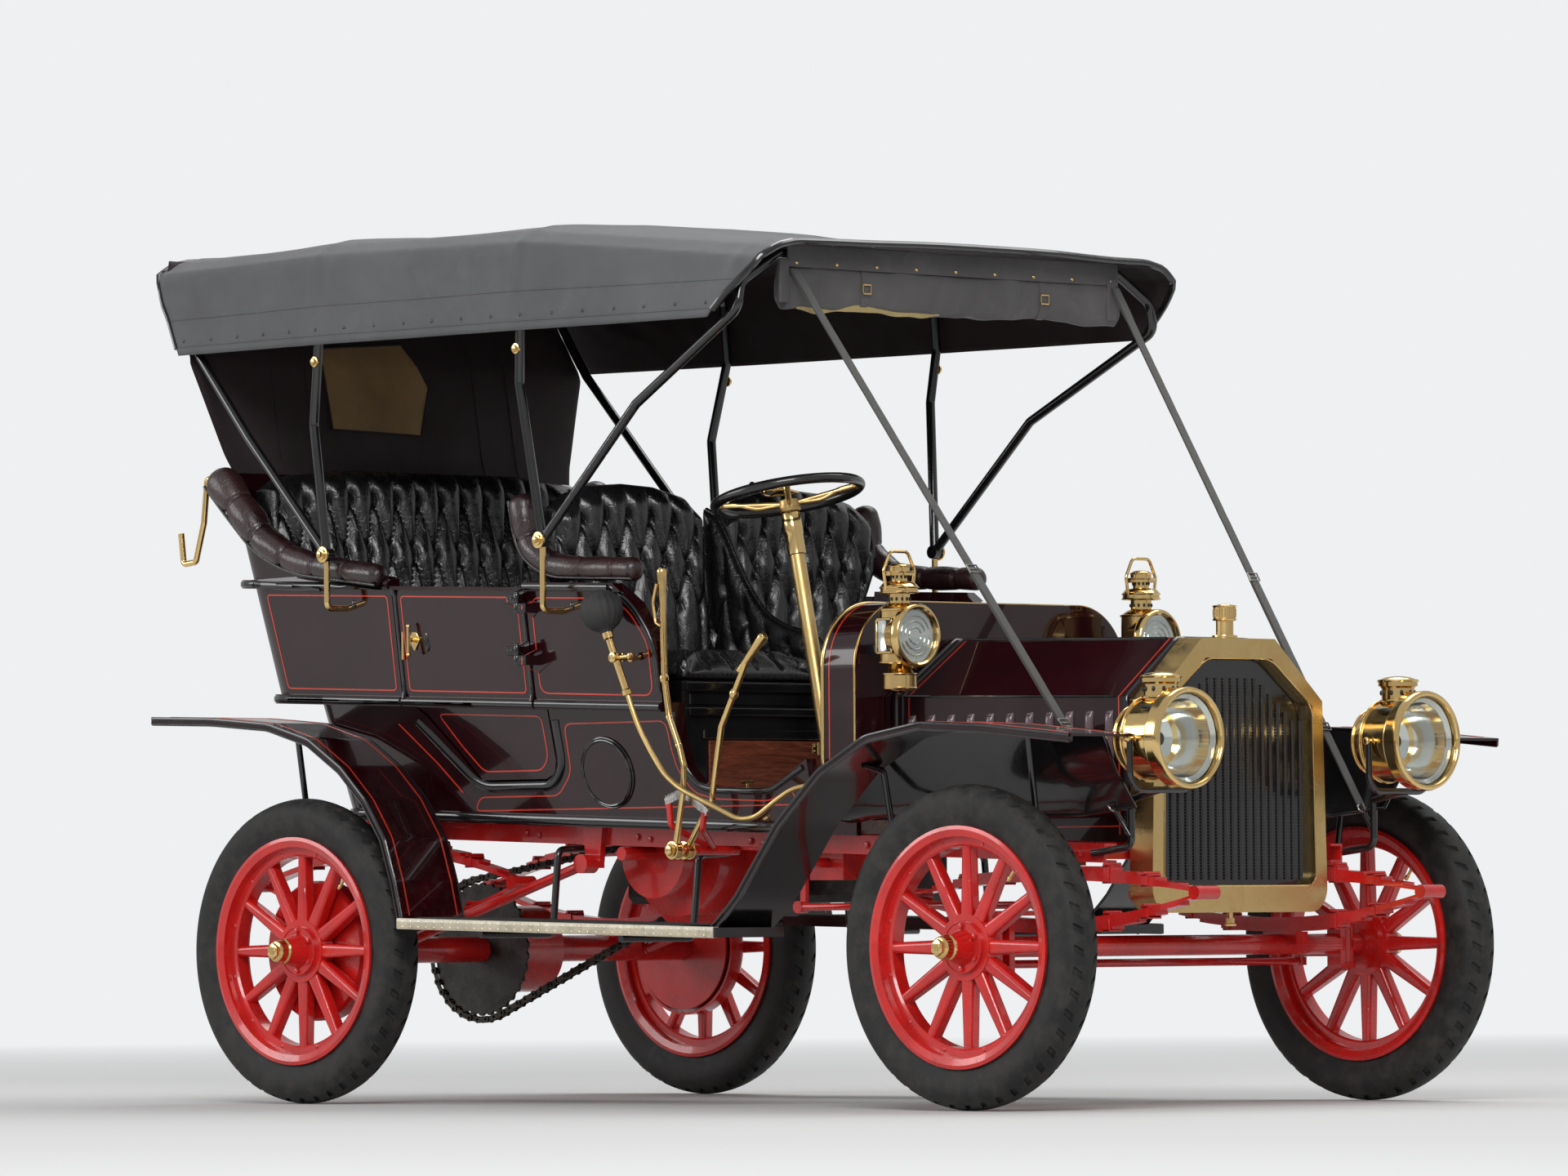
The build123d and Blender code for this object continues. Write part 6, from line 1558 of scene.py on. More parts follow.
class CAR_OT_front_trim(bpy.types.Operator):
    """Trim the scuttle, hood and radiator"""
    bl_idname = "touring_car.front_trim"
    bl_label = "Hood, Scuttle and Radiator Trim"

    def execute(self, context):
        fine = flat_section(context.scene.car_sizes.stripe_width, 0.0009)
        black, stripes, brass, core = new_shapes(4)
        foot = line_z(0.016, 0)
        for x, section in ((-0.590, bead_section(0.014, 0.005)), (0.134, bead_section(0.014, 0.005)),
                           (-0.568, bead_section(0.007, 0.003))):
            hood_band(black, x, foot, section)
        for x in (-0.548, 0.112):
            hood_band(stripes, x, foot, fine)
        surface = Panels("hood")
        for side, _ in SIDES:
            lay(stripes, surface, [(-0.548, foot + 0.02), (0.112, foot + 0.02)], side, fine, 0.01)
            for corner, proud, radius in ((2, 0.0, 0.0042), (1, 0.0005, 0.0034)):
                ends = [(x, hood_edge(x, foot)[corner]) for x in (-0.56, 0.10)]
                hinge = [Vector((x, side * (half + proud), z)) for x, (half, z) in ends]
                skin(black, tube_rings(stepped(hinge, 0.08), radius, 10))
            # the fasteners low on each side of the hood
            for x in (-0.34, -0.02):
                spot, out = surface.beside(x, 0.775, side)
                drum(brass, spot, spot + out * 0.010, 0.009, sides=16, bevel=0.001)
                rod(brass, [spot + out * 0.010 + UP * z for z in (-0.018, 0, 0.018)], 0.004, bend=0.006)
        middle = [Vector((x, 0, hood_edge(x, foot)[2][1] + 0.0008)) for x in (-0.58, 0.14)]
        skin(black, tube_rings(stepped(middle, 0.08), 0.0045, 10))
        cowl_band(brass, -0.7135, bead_section(0.011, 0.0045))
        cowl_band(brass, -0.6035, bead_section(0.006, 0.0030))
        cowl_band(stripes, -0.690, fine)
        finish_piece("front_beads", black, "dark_enamel")
        finish_piece("front_stripes", stripes, "stripe")
        for z in [0.536 + 0.0075 * i for i in range(67)]:
            half = 0.258 - max(0.0, z - 0.93) * 1.15
            if half > 0.05:
                box(core, (0.180, -half, z - 0.0007), (0.1995, half, z + 0.0007))
        finish_piece("radiator_fins", core, "dark_enamel")
        lathe(brass, FILLER_COLLAR, FILLER_CAP, UP, 36)
        for h in (0.002, 0.034):
            torus(brass, FILLER_CAP + UP * h, UP, 0.0268, 0.0026, 40, 8)
        for angle in clock(24):
            edge = FILLER_CAP + plan_ray(angle) * 0.0268
            drum(brass, edge + UP * 0.008, edge + UP * 0.028, 0.0019, sides=6)
        ball(brass, FILLER_CAP + UP * 0.035, 0.022, (1, 1, 0.22), 8)
        # the bead round the shell's front opening
        loop = [Vector((0.2212, y, z)) for y, z in SHELL_OPENING]
        loop += [Vector((p.x, -p.y, p.z)) for p in reversed(loop)]
        rod(brass, rounded(loop, 0.030, closed=True), 0.0022, closed=True, rounds=2)
        drum(brass, (0.185, 0, 0.466), (0.185, 0, 0.440), 0.008, sides=12)
        drum(brass, (0.185, 0, 0.452), (0.185, 0, 0.440), 0.011, sides=6)
        rod(brass, [(0.185, -0.018, 0.436), (0.185, 0.018, 0.436)], 0.0035)
        finish_piece("front_brass", brass, "brass")
        return {"FINISHED"}


# Lamps

HEADLAMP = Vector((0.426, 0.425, 0.878))
SIDELAMP = Vector((-0.452, 0.432, 1.143))
# Turned profiles are (radius, place along the axis); rings are (place along the axis, radius, wire radius).
HEAD_RIM = ((0.1055, 0.0175), (0.1060, 0.0235), (0.1090, 0.0275), (0.1140, 0.0285), (0.1195, 0.0250),
            (0.1215, 0.0185), (0.1208, 0.0100), (0.1206, -0.0110), (0.1180, -0.0125), (0.1055, -0.0125))
HEAD_RINGS = ((-0.016, 0.1012, 0.0042), (-0.030, 0.1008, 0.0028), (-0.108, 0.0990, 0.0045),
              (-0.150, 0.0790, 0.0035), (-0.171, 0.0300, 0.0040))
HEAD_REFLECTOR = ((0.0935, -0.004), (0.0900, -0.030), (0.0830, -0.060), (0.0640, -0.086), (0.0400, -0.104),
                  (0.0200, -0.110), (0.0, -0.111))
HEAD_BURNER = ((0.0, -0.074), (0.016, -0.074), (0.018, -0.078), (0.018, -0.104), (0.0, -0.104))
HEAD_SEAT = ((0.1050, 0.0080), (0.0935, -0.0005), (0.0935, -0.0030), (0.1050, 0.0040), (0.1050, 0.0080))
HEAD_LENS = ((0.0, 0.0215), (0.040, 0.0205), (0.075, 0.0172), (0.1045, 0.0105), (0.1045, 0.0080),
             (0.075, 0.0143), (0.040, 0.0175), (0.0, 0.0185))
SIDE_RIM = ((0.0655, 0.0130), (0.0660, 0.0170), (0.0700, 0.0205), (0.0750, 0.0200), (0.0788, 0.0150),
            (0.0790, 0.0020), (0.0770, 0.0005), (0.0700, -0.0005), (0.0655, 0.0005))
SIDE_RINGS = ((0.0640, 0.0505, 0.0030), (-0.0640, 0.0505, 0.0030), (0.1180, 0.0465, 0.0025),
              (0.1060, 0.0465, 0.0025), (0.1560, 0.0365, 0.0022), (0.1690, 0.0255, 0.0022),
              (-0.0925, 0.0425, 0.0030), (-0.1265, 0.0415, 0.0030), (-0.0640, 0.0230, 0.0025))
SIDE_SHOULDER = ((0.0505, 0.0600), (0.0470, 0.0680), (0.0360, 0.0760), (0.0275, 0.0800), (0.0275, 0.0700),
                 (0.0400, 0.0600))
SIDE_CHIMNEY = ((0.0470, 0.1200), (0.0400, 0.1290), (0.0215, 0.1330), (0.0215, 0.1200))
SIDE_FONT = ((0.0225, -0.0650), (0.0260, -0.0740), (0.0350, -0.0900), (0.0420, -0.0940), (0.0225, -0.0930))
SIDE_LENS = ((0.0, 0.0200), (0.030, 0.0185), (0.050, 0.0150), (0.0655, 0.0095), (0.0655, 0.0075),
             (0.050, 0.0120), (0.030, 0.0155), (0.0, 0.0170))
SIDE_REFLECTOR = ((0.0650, 0.0070), (0.0560, 0.0063), (0.0, 0.0062), (0.0, 0.0060))
# The four bars round a side lamp's window: lowest and highest x and z.
WINDOW_BARS = ((-0.028, 0.028, -0.044, -0.038), (-0.028, 0.028, 0.038, 0.044),
               (-0.028, -0.022, -0.044, 0.044), (0.022, 0.028, -0.044, 0.044))


class CAR_OT_lamps(bpy.types.Operator):
    """Finish the lamps: rims, reflectors, burners, lenses, and dark dots of painted shade for the vents"""
    bl_idname = "touring_car.lamps"
    bl_label = "Lamps"

    def execute(self, context):
        brass, silver, dark, lens = shapes = new_shapes(4)
        for side, _ in SIDES:
            self.head_lamp(side, *shapes)
            self.side_lamp(side, *shapes)
        finish_piece("lamp_brass", brass, "brass", sharp=40)
        finish_piece("lamp_reflectors", silver, "silver", sharp=50)
        finish_piece("lamp_burners_and_vent_shade", dark, "iron")
        finish_piece("lamp_lenses", lens, "glass", sharp=50, stands_for=("lamp_glasses",))
        return {"FINISHED"}

    def head_lamp(self, side, brass, silver, dark, lens):
        lamp = Vector((HEADLAMP.x, HEADLAMP.y * side, HEADLAMP.z))
        middle = lamp - AHEAD * 0.070
        lathe(brass, HEAD_RIM, lamp, AHEAD, 72)
        for place, major, minor in HEAD_RINGS:
            torus(brass, lamp + AHEAD * place, AHEAD, major, minor, 64, 10)
        torus(brass, middle + UP * 0.147, UP, 0.0475, 0.0035, 48, 8)
        torus(brass, middle + UP * 0.132, UP, 0.0400, 0.0030, 48, 8)
        ball(brass, middle + UP * 0.146, 0.046, (1, 1, 0.28), 12)
        torus(brass, middle + UP * 0.098, UP, 0.0425, 0.0035, 48, 8)
        for out in (Vector((0, -side, 0)), Vector((0, side, 0))):
            drum(brass, middle + out * 0.101, middle + out * 0.118, 0.0075, sides=16, bevel=0.001)
            ball(brass, middle + out * 0.119, 0.0095, (1, 0.5, 1), 8)
        # dark dots round the chimney: painted shade where the vent holes are
        for angle in clock(10):
            ball(dark, middle + plan_ray(angle) * 0.0402 + UP * 0.118, 0.0045, (1, 1, 1.5), 5)
        ball(dark, lamp + Vector((-0.052, -0.066, 0.0730)), 0.021, (1.2, 0.7, 0.35), 10)
        lathe(silver, HEAD_REFLECTOR, lamp, AHEAD, 64)
        lathe(dark, HEAD_BURNER, lamp, AHEAD, 24)
        lathe(silver, HEAD_SEAT, lamp, AHEAD, 64)
        lathe(lens, HEAD_LENS, lamp, AHEAD, 64)

    def side_lamp(self, side, brass, silver, dark, lens):
        lamp = Vector((SIDELAMP.x, SIDELAMP.y * side, SIDELAMP.z))
        out = Vector((0, side, 0))
        post = lamp - AHEAD * 0.046
        lathe(brass, SIDE_RIM, lamp, AHEAD, 56)
        torus(brass, lamp - AHEAD * 0.004, AHEAD, 0.0712, 0.0030, 48, 8)
        for height, major, minor in SIDE_RINGS:
            torus(brass, post + UP * height, UP, major, minor, 44, 8)
        lathe(brass, SIDE_SHOULDER, post, UP, 40)
        lathe(brass, SIDE_CHIMNEY, post, UP, 40)
        ball(brass, post + UP * 0.169, 0.0255, (1, 1, 0.35), 8)
        ball(brass, post - UP * 0.129, 0.040, (1, 1, 0.22), 8)
        lathe(brass, SIDE_FONT, post, UP, 40)
        # three rings of dark dots: painted shade where the vent holes are
        for ray in [plan_ray(angle) for angle in clock(12)]:
            ball(dark, post + ray * 0.0265 + UP * 0.0900, 0.0035, (1, 1, 1.4), 5)
            ball(dark, post + ray * 0.0202 + UP * 0.1440, 0.0030, (1, 1, 1.6), 5)
            ball(dark, post + ray * 0.0225 - UP * 0.0580, 0.0030, rings=5)
        window = post + out * 0.0505
        inner, outer = sorted((-0.003 * side, 0.006 * side))
        for x0, x1, z0, z1 in WINDOW_BARS:
            box(brass, window + Vector((x0, inner, z0)), window + Vector((x1, outer, z1)), 0.0012)
        low, high = window + Vector((-0.023, -0.0015, -0.039)), window + Vector((0.023, 0.0015, 0.039))
        box(silver, low - out * 0.001, high - out * 0.001)
        box(lens, low + out * 0.002, high + out * 0.002, 0.0012)
        lathe(lens, SIDE_LENS, lamp, AHEAD, 48)
        lathe(silver, SIDE_REFLECTOR, lamp, AHEAD, 48)
        for major in (0.020, 0.034, 0.048):
            torus(silver, lamp + AHEAD * 0.0065, AHEAD, major, 0.0020, 40, 8)


# Controls

COLUMN_HEAD = Vector((-1.000, -0.300, 1.466))
COLUMN_UP = (COLUMN_HEAD - Vector((-0.820, -0.300, 0.626))).normalized()
HOSE_RIB = 0.0074
HOSE_GROOVE = 0.0064

WHEEL_HUB = ((0.0245, 0.000), (0.0265, 0.004), (0.0265, 0.014), (0.0245, 0.018), (0.0245, 0.028),
             (0.0180, 0.031), (0.0, 0.031))
COLUMN_COLLAR = ((0.0195, -0.110), (0.0225, -0.108), (0.0225, -0.060), (0.0240, -0.056), (0.0240, -0.006),
                 (0.0215, -0.002), (0.0195, -0.002))
LEVERS = (
    # place across, foot and head of the grip, collar
    (-0.640, (-1.109, 1.290), (-1.110, 1.322), (-1.1035, 1.052)),
    (-0.600, (-0.846, 1.101), (-0.796, 1.151), (-0.9015, 1.010)),
)
LATCH_ROD = ((-1.098, -0.6535, 1.245), (-1.090, -0.6545, 1.050), (-1.072, -0.6545, 0.955),
             (-1.040, -0.6545, 0.885), (-1.024, -0.6540, 0.830), (-1.030, -0.648, 0.770))
LATCH_GRIP = ((-1.113, -0.655, 1.285), (-1.127, -0.655, 1.240), (-1.118, -0.655, 1.190),
              (-1.100, -0.6535, 1.180))
RACK_TEETH = ((-1.120, 0, 0.758), (-1.055, 0, 0.780), (-0.975, 0, 0.728))
RACK_BAR = ((-1.120, -0.620, 0.748), (-1.058, -0.620, 0.771), (-0.975, -0.620, 0.720))
HORN_BULB = ((0.0135, -0.056), (0.0160, -0.050), (0.0225, -0.046), (0.036, -0.037), (0.047, -0.022),
             (0.0525, -0.004), (0.0520, 0.014), (0.0460, 0.030), (0.0340, 0.044),
             (0.018, 0.052), (0.0, 0.054))
HORN_ROUTE = (
    (-1.243, -0.700, 1.168), (-1.222, -0.690, 1.100), (-1.200, -0.672, 1.014), (-1.172, -0.668, 0.942),
    (-1.130, -0.668, 0.880), (-1.080, -0.668, 0.818), (-1.026, -0.668, 0.781), (-0.955, -0.664, 0.752),
    (-0.900, -0.655, 0.728), (-0.850, -0.640, 0.702), (-0.795, -0.635, 0.706), (-0.740, -0.625, 0.744),
    (-0.687, -0.610, 0.778), (-0.601, -0.580, 0.786),
)


def grip_size(run, whole):
    """The radius along a hand lever's grip: swelling upwards, with a rounded top."""
    return 0.0088 + 0.0042 * smooth(run / whole) * math.sqrt(clamp((whole - run) / 0.006))


def neck_size(run, whole):
    """The radius along the horn's neck, with its three collars."""
    return 0.0092 + 0.0045 * (run < 0.018) + 0.0040 * (0.058 < run < 0.075) + 0.0035 * (run > whole - 0.014)


class CAR_OT_controls(bpy.types.Operator):
    """Finish the steering wheel, levers and horn"""
    bl_idname = "touring_car.controls"
    bl_label = "Controls and Horn"

    def execute(self, context):
        self.steering()
        self.hand_levers()
        self.horn()
        return {"FINISHED"}

    def steering(self):
        rim, brass, quadrant = new_shapes(3)
        centre = COLUMN_HEAD + COLUMN_UP * 0.042
        torus(rim, centre, COLUMN_UP, 0.182, 0.0129, 96, 16)
        finish_piece("steering_rim", rim, "rim_black", "steering_wheel", sharp=50)
        ahead = COLUMN_UP.cross(ACROSS).normalized()

        def spoke(degrees):
            angle = math.radians(degrees)
            return ahead * math.cos(angle) + ACROSS * math.sin(angle)

        for ray in [spoke(degrees) for degrees in (45, 135, 225, 315)]:
            end = centre + ray * 0.1690
            ball(brass, end, 0.0105, rings=8)
            arm = [COLUMN_HEAD + COLUMN_UP * 0.021 + ray * 0.020,
                   COLUMN_HEAD + COLUMN_UP * 0.019 + ray * 0.080,
                   centre - COLUMN_UP * 0.004 + ray * 0.130, end]
            rod(brass, arm, 0.0062, bend=0.03, rounds=4)
        lathe(brass, WHEEL_HUB, COLUMN_HEAD, COLUMN_UP, 36)
        finish_piece("steering_spider", brass, "satin_brass", "steering_wheel")
        top = COLUMN_HEAD + COLUMN_UP * 0.058
        drum(quadrant, COLUMN_HEAD + COLUMN_UP * 0.030, top + COLUMN_UP * 0.012, 0.0085,
             sides=20, bevel=0.001)
        rod(quadrant, [top + spoke(-70 + 10 * k) * 0.062 for k in range(15)], 0.0036, rounds=2)
        for degrees in (-70, 0, 70):
            rod(quadrant, [top, top + spoke(degrees) * 0.062], 0.003, rounds=2)
        for degrees, tall in ((-38, 0.006), (24, 0.011)):
            ray, start = spoke(degrees), top + COLUMN_UP * tall
            rod(quadrant, [start, start + ray * 0.055, start + ray * 0.082 + COLUMN_UP * 0.016], 0.0038,
                bend=0.01)
            ball(quadrant, start + ray * 0.084 + COLUMN_UP * 0.018, 0.0085, (1, 1, 1.3), 8)
        lathe(quadrant, COLUMN_COLLAR, COLUMN_HEAD, COLUMN_UP, 36)
        finish_piece("control_quadrant", quadrant, "brass")

    def hand_levers(self):
        levers, rack = new_shapes(2)
        for y, (x0, z0), (x1, z1), (collar_x, collar_z) in LEVERS:
            start, end = Vector((x0, y, z0)), Vector((x1, y, z1))
            way = (end - start).normalized()
            grip = stepped([start - way * 0.05, end + way * 0.002], 0.006)
            skin(levers, tube_rings(grip, grip_size, 16))
            ball(levers, (collar_x, y, collar_z), 0.0125, (0.9, 1, 1.2), 8)
        for x, z in ((-1.055, 0.886), (-1.0868, 0.9555)):
            ball(levers, (x, -0.640, z), 0.0095, rings=8)
        rod(levers, LATCH_ROD, 0.0036, bend=0.03)
        rod(levers, LATCH_GRIP, 0.0040, bend=0.02)
        for y in (-0.640, -0.600):
            for push in (-1, 1):
                drum(levers, (-1.070, y + push * 0.008, 0.629), (-1.070, y + push * 0.0125, 0.629), 0.0225,
                     sides=28, bevel=0.001)
        nut(levers, (-1.070, -0.655, 0.629), -ACROSS, 0.013, 0.010, 0.017)
        finish_piece("lever_fittings", levers, "brass", sharp=40)
        line = stepped(rounded([Vector(p) for p in RACK_TEETH], 0.05, closed=False, steps=10), 0.0085)
        for start, end in zip(line, line[1:]):
            middle = (start + end) / 2
            box(rack, middle + Vector((-0.0022, -0.6242, -0.002)), middle + Vector((0.0022, -0.6158, 0.005)))
        bar = stepped(rounded([Vector(p) for p in RACK_BAR], 0.05, closed=False, steps=8), 0.01)
        skin(rack, carried([(p, -ACROSS) for p in bar],
                           [(-0.0092, -0.0044), (-0.0092, 0.0044), (0.0092, 0.0044), (0.0092, -0.0044)]))
        finish_piece("lever_quadrant", rack, "steel")

    def horn(self):
        bulb, neck, hose = new_shapes(3)
        points = [Vector(p) for p in HORN_ROUTE]
        middle = Vector((-1.260, -0.700, 1.219))
        axis = (middle - points[0]).normalized()
        lathe(bulb, HORN_BULB, middle, axis, 72)
        second = axis.cross(ACROSS)
        for vert in bulb.verts:
            flat = vert.co - middle
            flat -= axis * flat.dot(axis)
            turn = math.atan2(flat.dot(second), flat.dot(ACROSS))
            vert.co += flat * 0.045 * abs(math.cos(turn * 9)) ** 0.6 - flat * 0.02
        finish_piece("horn_bulb", bulb, "bulb", sharp=60, stands_for=("horn",))
        line = stepped(rounded(points[:3], 0.03, closed=False, steps=6), 0.004)
        skin(neck, tube_rings(line, neck_size, 20))
        drum(neck, (-1.224, -0.690, 1.106), (-1.224, -0.606, 1.106), 0.0062, sides=16)
        for y in (-0.668, -0.640):
            drum(neck, (-1.224, y, 1.106), (-1.224, y + 0.010, 1.106), 0.0105, sides=20, bevel=0.001)
        drum(neck, (-1.224, -0.703, 1.106), (-1.224, -0.676, 1.106), 0.013, sides=24, bevel=0.002)
        # the key on the side of the neck
        drum(neck, (-1.216, -0.690, 1.106), (-1.178, -0.690, 1.108), 0.0050, sides=12)
        ball(neck, (-1.172, -0.690, 1.108), 0.011, (0.5, 1, 1), 8)
        flexible = stepped(rounded(points[2:], 0.035, closed=False, steps=8), 0.0026)
        ribs = [HOSE_RIB if index % 2 else HOSE_GROOVE for index in range(len(flexible))]
        skin(hose, tube_rings(flexible, ribs, 12))
        finish_piece("horn_neck", neck, "brass", sharp=40)
        finish_piece("horn_tube", hose, "satin_brass", sharp=60)


# Fenders, boards and running gear

FENDERS = (
    # centre of the fan of rays (x, z), first and last angle in degrees
    ((0.000, 0.450), 181.0, 49.2),
    ((-2.300, 0.500), -6.0, 138.6),
)
FENDER_OUTER = 0.765
FENDER_INNER = 0.553
BOARD_SPAN = (-1.900, -0.776)
APRON_SPAN = (-0.590, 0.300)


def board_z(x):
    return 0.452 - (x + 1.3) * 0.025


def fender_trace(surface, fan, side, across, above, steps=64):
    """Points along one fender at a distance from the middle of the car, on its upper or under face."""
    (x, z), first, last = fan
    trace = []
    for index in range(steps + 1):
        ray = side_ray(math.radians(first + (last - first) * index / steps))
        start = Vector((x, side * across, z))
        hit = surface.touch(start + ray * 0.9, -ray) if above else surface.touch(start, ray)
        if hit and not (trace and (hit[0] - trace[-1][0]).length < 0.004):
            trace.append(hit)
    return trace


class CAR_OT_fender_trim(bpy.types.Operator):
    """Lay black sheets under the fenders as painted shade, stripe and bead their edges, and close the front
    ones towards the frame
    """
    bl_idname = "touring_car.fender_trim"
    bl_label = "Fender Trim"

    def execute(self, context):
        surface = Panels("fenders")
        width = context.scene.car_sizes.stripe_width
        lining, stripes, beads = new_shapes(3)
        wide = FENDER_OUTER - FENDER_INNER - 0.009
        for side, _ in SIDES:
            for fan in FENDERS:
                # a black sheet along the underside of each blade: painted shade under the fender
                under = fender_trace(surface, fan, side, FENDER_INNER + 0.001 + wide / 2, False)
                skin(lining, carried(under, flat_section(wide, 0.0014, 0.0004)))
                for across in (FENDER_INNER + 0.024, FENDER_OUTER - 0.023):
                    upper = fender_trace(surface, fan, side, across, True)
                    skin(stripes, carried(upper[1:-1], flat_section(width, 0.0009)))
                edge = fender_trace(surface, fan, side, FENDER_OUTER - 0.004, True)
                for sink, radius, sides in ((0.0045, 0.0046, 10), (0.0195, 0.0034, 8)):
                    line = [p + Vector((0, side * 0.004, 0)) - n * sink for p, n in edge]
                    skin(beads, tube_rings(line, radius, sides))
                edge = fender_trace(surface, fan, side, FENDER_INNER + 0.002, True)
                skin(beads, tube_rings([p - n * 0.003 for p, n in edge], 0.0040, 8))
            apron = fender_trace(surface, FENDERS[0], side, FENDER_INNER + 0.008, False, 90)
            rings = []
            out = Vector((0, side * 0.0011, 0.0004))
            bulge = Vector((0, side * 0.010, -0.004))
            for place in [p for p, _ in apron if APRON_SPAN[0] < p.x < APRON_SPAN[1]]:
                low = Vector((place.x, side * 0.4445, 0.700 + max(0.0, place.x - 0.12) * 0.1))
                top = place + Vector((0, -side * 0.004, 0.002))
                middle = (low + top) / 2 + bulge
                rings.append([top + out, middle + out, low + out, low - out, middle - out, top - out])
            skin(lining, rings)
            for ring in (rings[0], rings[-1]):
                top, low = (ring[0] + ring[5]) / 2, (ring[2] + ring[3]) / 2
                rod(beads, [top, (top + low) / 2 + bulge, low], 0.0035, rounds=2)
            rod(beads, [(r[2] + r[3]) / 2 for r in rings], 0.0035, rounds=2)
        finish_piece("fender_underside_shade_and_aprons", lining, "dark_enamel", sharp=40)
        finish_piece("fender_stripes", stripes, "stripe")
        finish_piece("fender_beads", beads, "dark_enamel")
        return {"FINISHED"}


BOARD_NAILS = 38
BOARD_RIBS = 17
MAT_STATIONS = (-1.855, -1.38, -0.905)


class CAR_OT_boards(bpy.types.Operator):
    """Edge the running boards in cream and rib their mats"""
    bl_idname = "touring_car.boards"
    bl_label = "Running Boards"

    def execute(self, context):
        cream, mats, nails = new_shapes(3)
        for side, _ in SIDES:
            rings = []
            for x in (BOARD_SPAN[0], sum(BOARD_SPAN) / 2, BOARD_SPAN[1]):
                top, foot = board_z(x) + 0.0018, board_z(x) - 0.0255
                edge = ((0.784, top), (0.8015, top), (0.8032, top - 0.003), (0.8032, foot + 0.003),
                        (0.8015, foot), (0.786, foot), (0.786, foot + 0.001), (0.8002, foot + 0.001),
                        (0.8002, top - 0.0015), (0.784, top - 0.0015))
                rings.append([Vector((x, side * y, z)) for y, z in edge])
            skin(cream, rings)
            for index in range(BOARD_NAILS):
                x = BOARD_SPAN[0] + 0.020 + index * 0.029
                for down in (0.006, 0.019):
                    ball(nails, (x, side * 0.8030, board_z(x) - down), 0.0019, (1, 0.5, 1), 4)
            for index in range(BOARD_RIBS):
                y = side * (0.588 + index * 0.0115)
                rings = [[Vector((x, y + dy, board_z(x) + dz)) for dy, dz in
                          ((-0.0032, 0.0028), (-0.0018, 0.0052), (0.0018, 0.0052), (0.0032, 0.0028))]
                         for x in MAT_STATIONS]
                skin(mats, rings)
        finish_piece("board_edges", cream, "cream", sharp=40)
        finish_piece("board_mats", mats, "rubber")
        finish_piece("board_nails", nails, "brass")
        return {"FINISHED"}


CHAIN_Y = -0.095
REAR_SPROCKET = Vector((-2.337, CHAIN_Y, 0.3875))
FRONT_SPROCKET = Vector((-1.450, CHAIN_Y, 0.625))
CHAIN_PITCH = 0.0318
LINK_PLATE = Vector((0.0155, 0.0011, 0.0066))
REAR_PITCH_RADIUS = 0.182
FRONT_PITCH_RADIUS = 0.072


def chain_loop():
    """The pitch line of the drive chain round its two sprockets."""
    run = FRONT_SPROCKET - REAR_SPROCKET
    heading = math.atan2(run.z, run.x)
    tilt = math.acos((REAR_PITCH_RADIUS - FRONT_PITCH_RADIUS) / run.length)
    rear = [heading + tilt + (math.tau - 2 * tilt) * index / 48 for index in range(49)]
    front = [heading - tilt + 2 * tilt * index / 24 for index in range(25)]
    return ([REAR_SPROCKET + side_ray(angle) * REAR_PITCH_RADIUS for angle in rear] +
            [FRONT_SPROCKET + side_ray(angle) * FRONT_PITCH_RADIUS for angle in front])


class CAR_OT_chain(bpy.types.Operator):
    """Lay the drive chain link by link round its sprockets"""
    bl_idname = "touring_car.chain"
    bl_label = "Drive Chain"

    def execute(self, context):
        loop = stepped(chain_loop(), 0.004, closed=True)
        lengths = [0.0]
        for start, end in zip(loop, loop[1:] + loop[:1]):
            lengths.append(lengths[-1] + (end - start).length)
        count = round(lengths[-1] / CHAIN_PITCH / 2) * 2
        pins, cursor = [], 0
        for index in range(count):
            want = lengths[-1] * index / count
            while lengths[cursor + 1] < want:
                cursor += 1
            share = (want - lengths[cursor]) / (lengths[cursor + 1] - lengths[cursor])
            pins.append(loop[cursor].lerp(loop[(cursor + 1) % len(loop)], share))
        bm = bmesh.new()
        for index, pin in enumerate(pins):
            after = pins[(index + 1) % count]
            for half, radius, sides in ((0.0060, 0.0085, 12), (0.0120, 0.0038, 8)):
                drum(bm, pin - ACROSS * half, pin + ACROSS * half, radius, sides=sides)
            way = (after - pin).normalized()
            turn = Matrix.Rotation(-math.atan2(way.z, way.x), 3, "Y")
            half = 0.0108 if index % 2 else 0.0080
            for offset in (ACROSS * -half, ACROSS * half):
                for end in (pin + offset, after + offset):
                    drum(bm, end - ACROSS * 0.0012, end + ACROSS * 0.0012, 0.0092, sides=12)
                middle = (pin + after) / 2 + offset
                box(bm, middle - LINK_PLATE, middle + LINK_PLATE, turn=turn)
        bmesh.ops.recalc_face_normals(bm, faces=bm.faces)
        finish_piece("chain_links", bm, "chain", sharp=40, stands_for=("chain",), keep_normals=True)
        return {"FINISHED"}


SPRING_Y = 0.404
CLIP_REACHES = (-0.300, -0.175, 0.175, 0.300)
FRAME_BOLTS = (-0.20, -0.62, -1.02, -1.42, -1.82, -2.20, -2.50, 0.05)


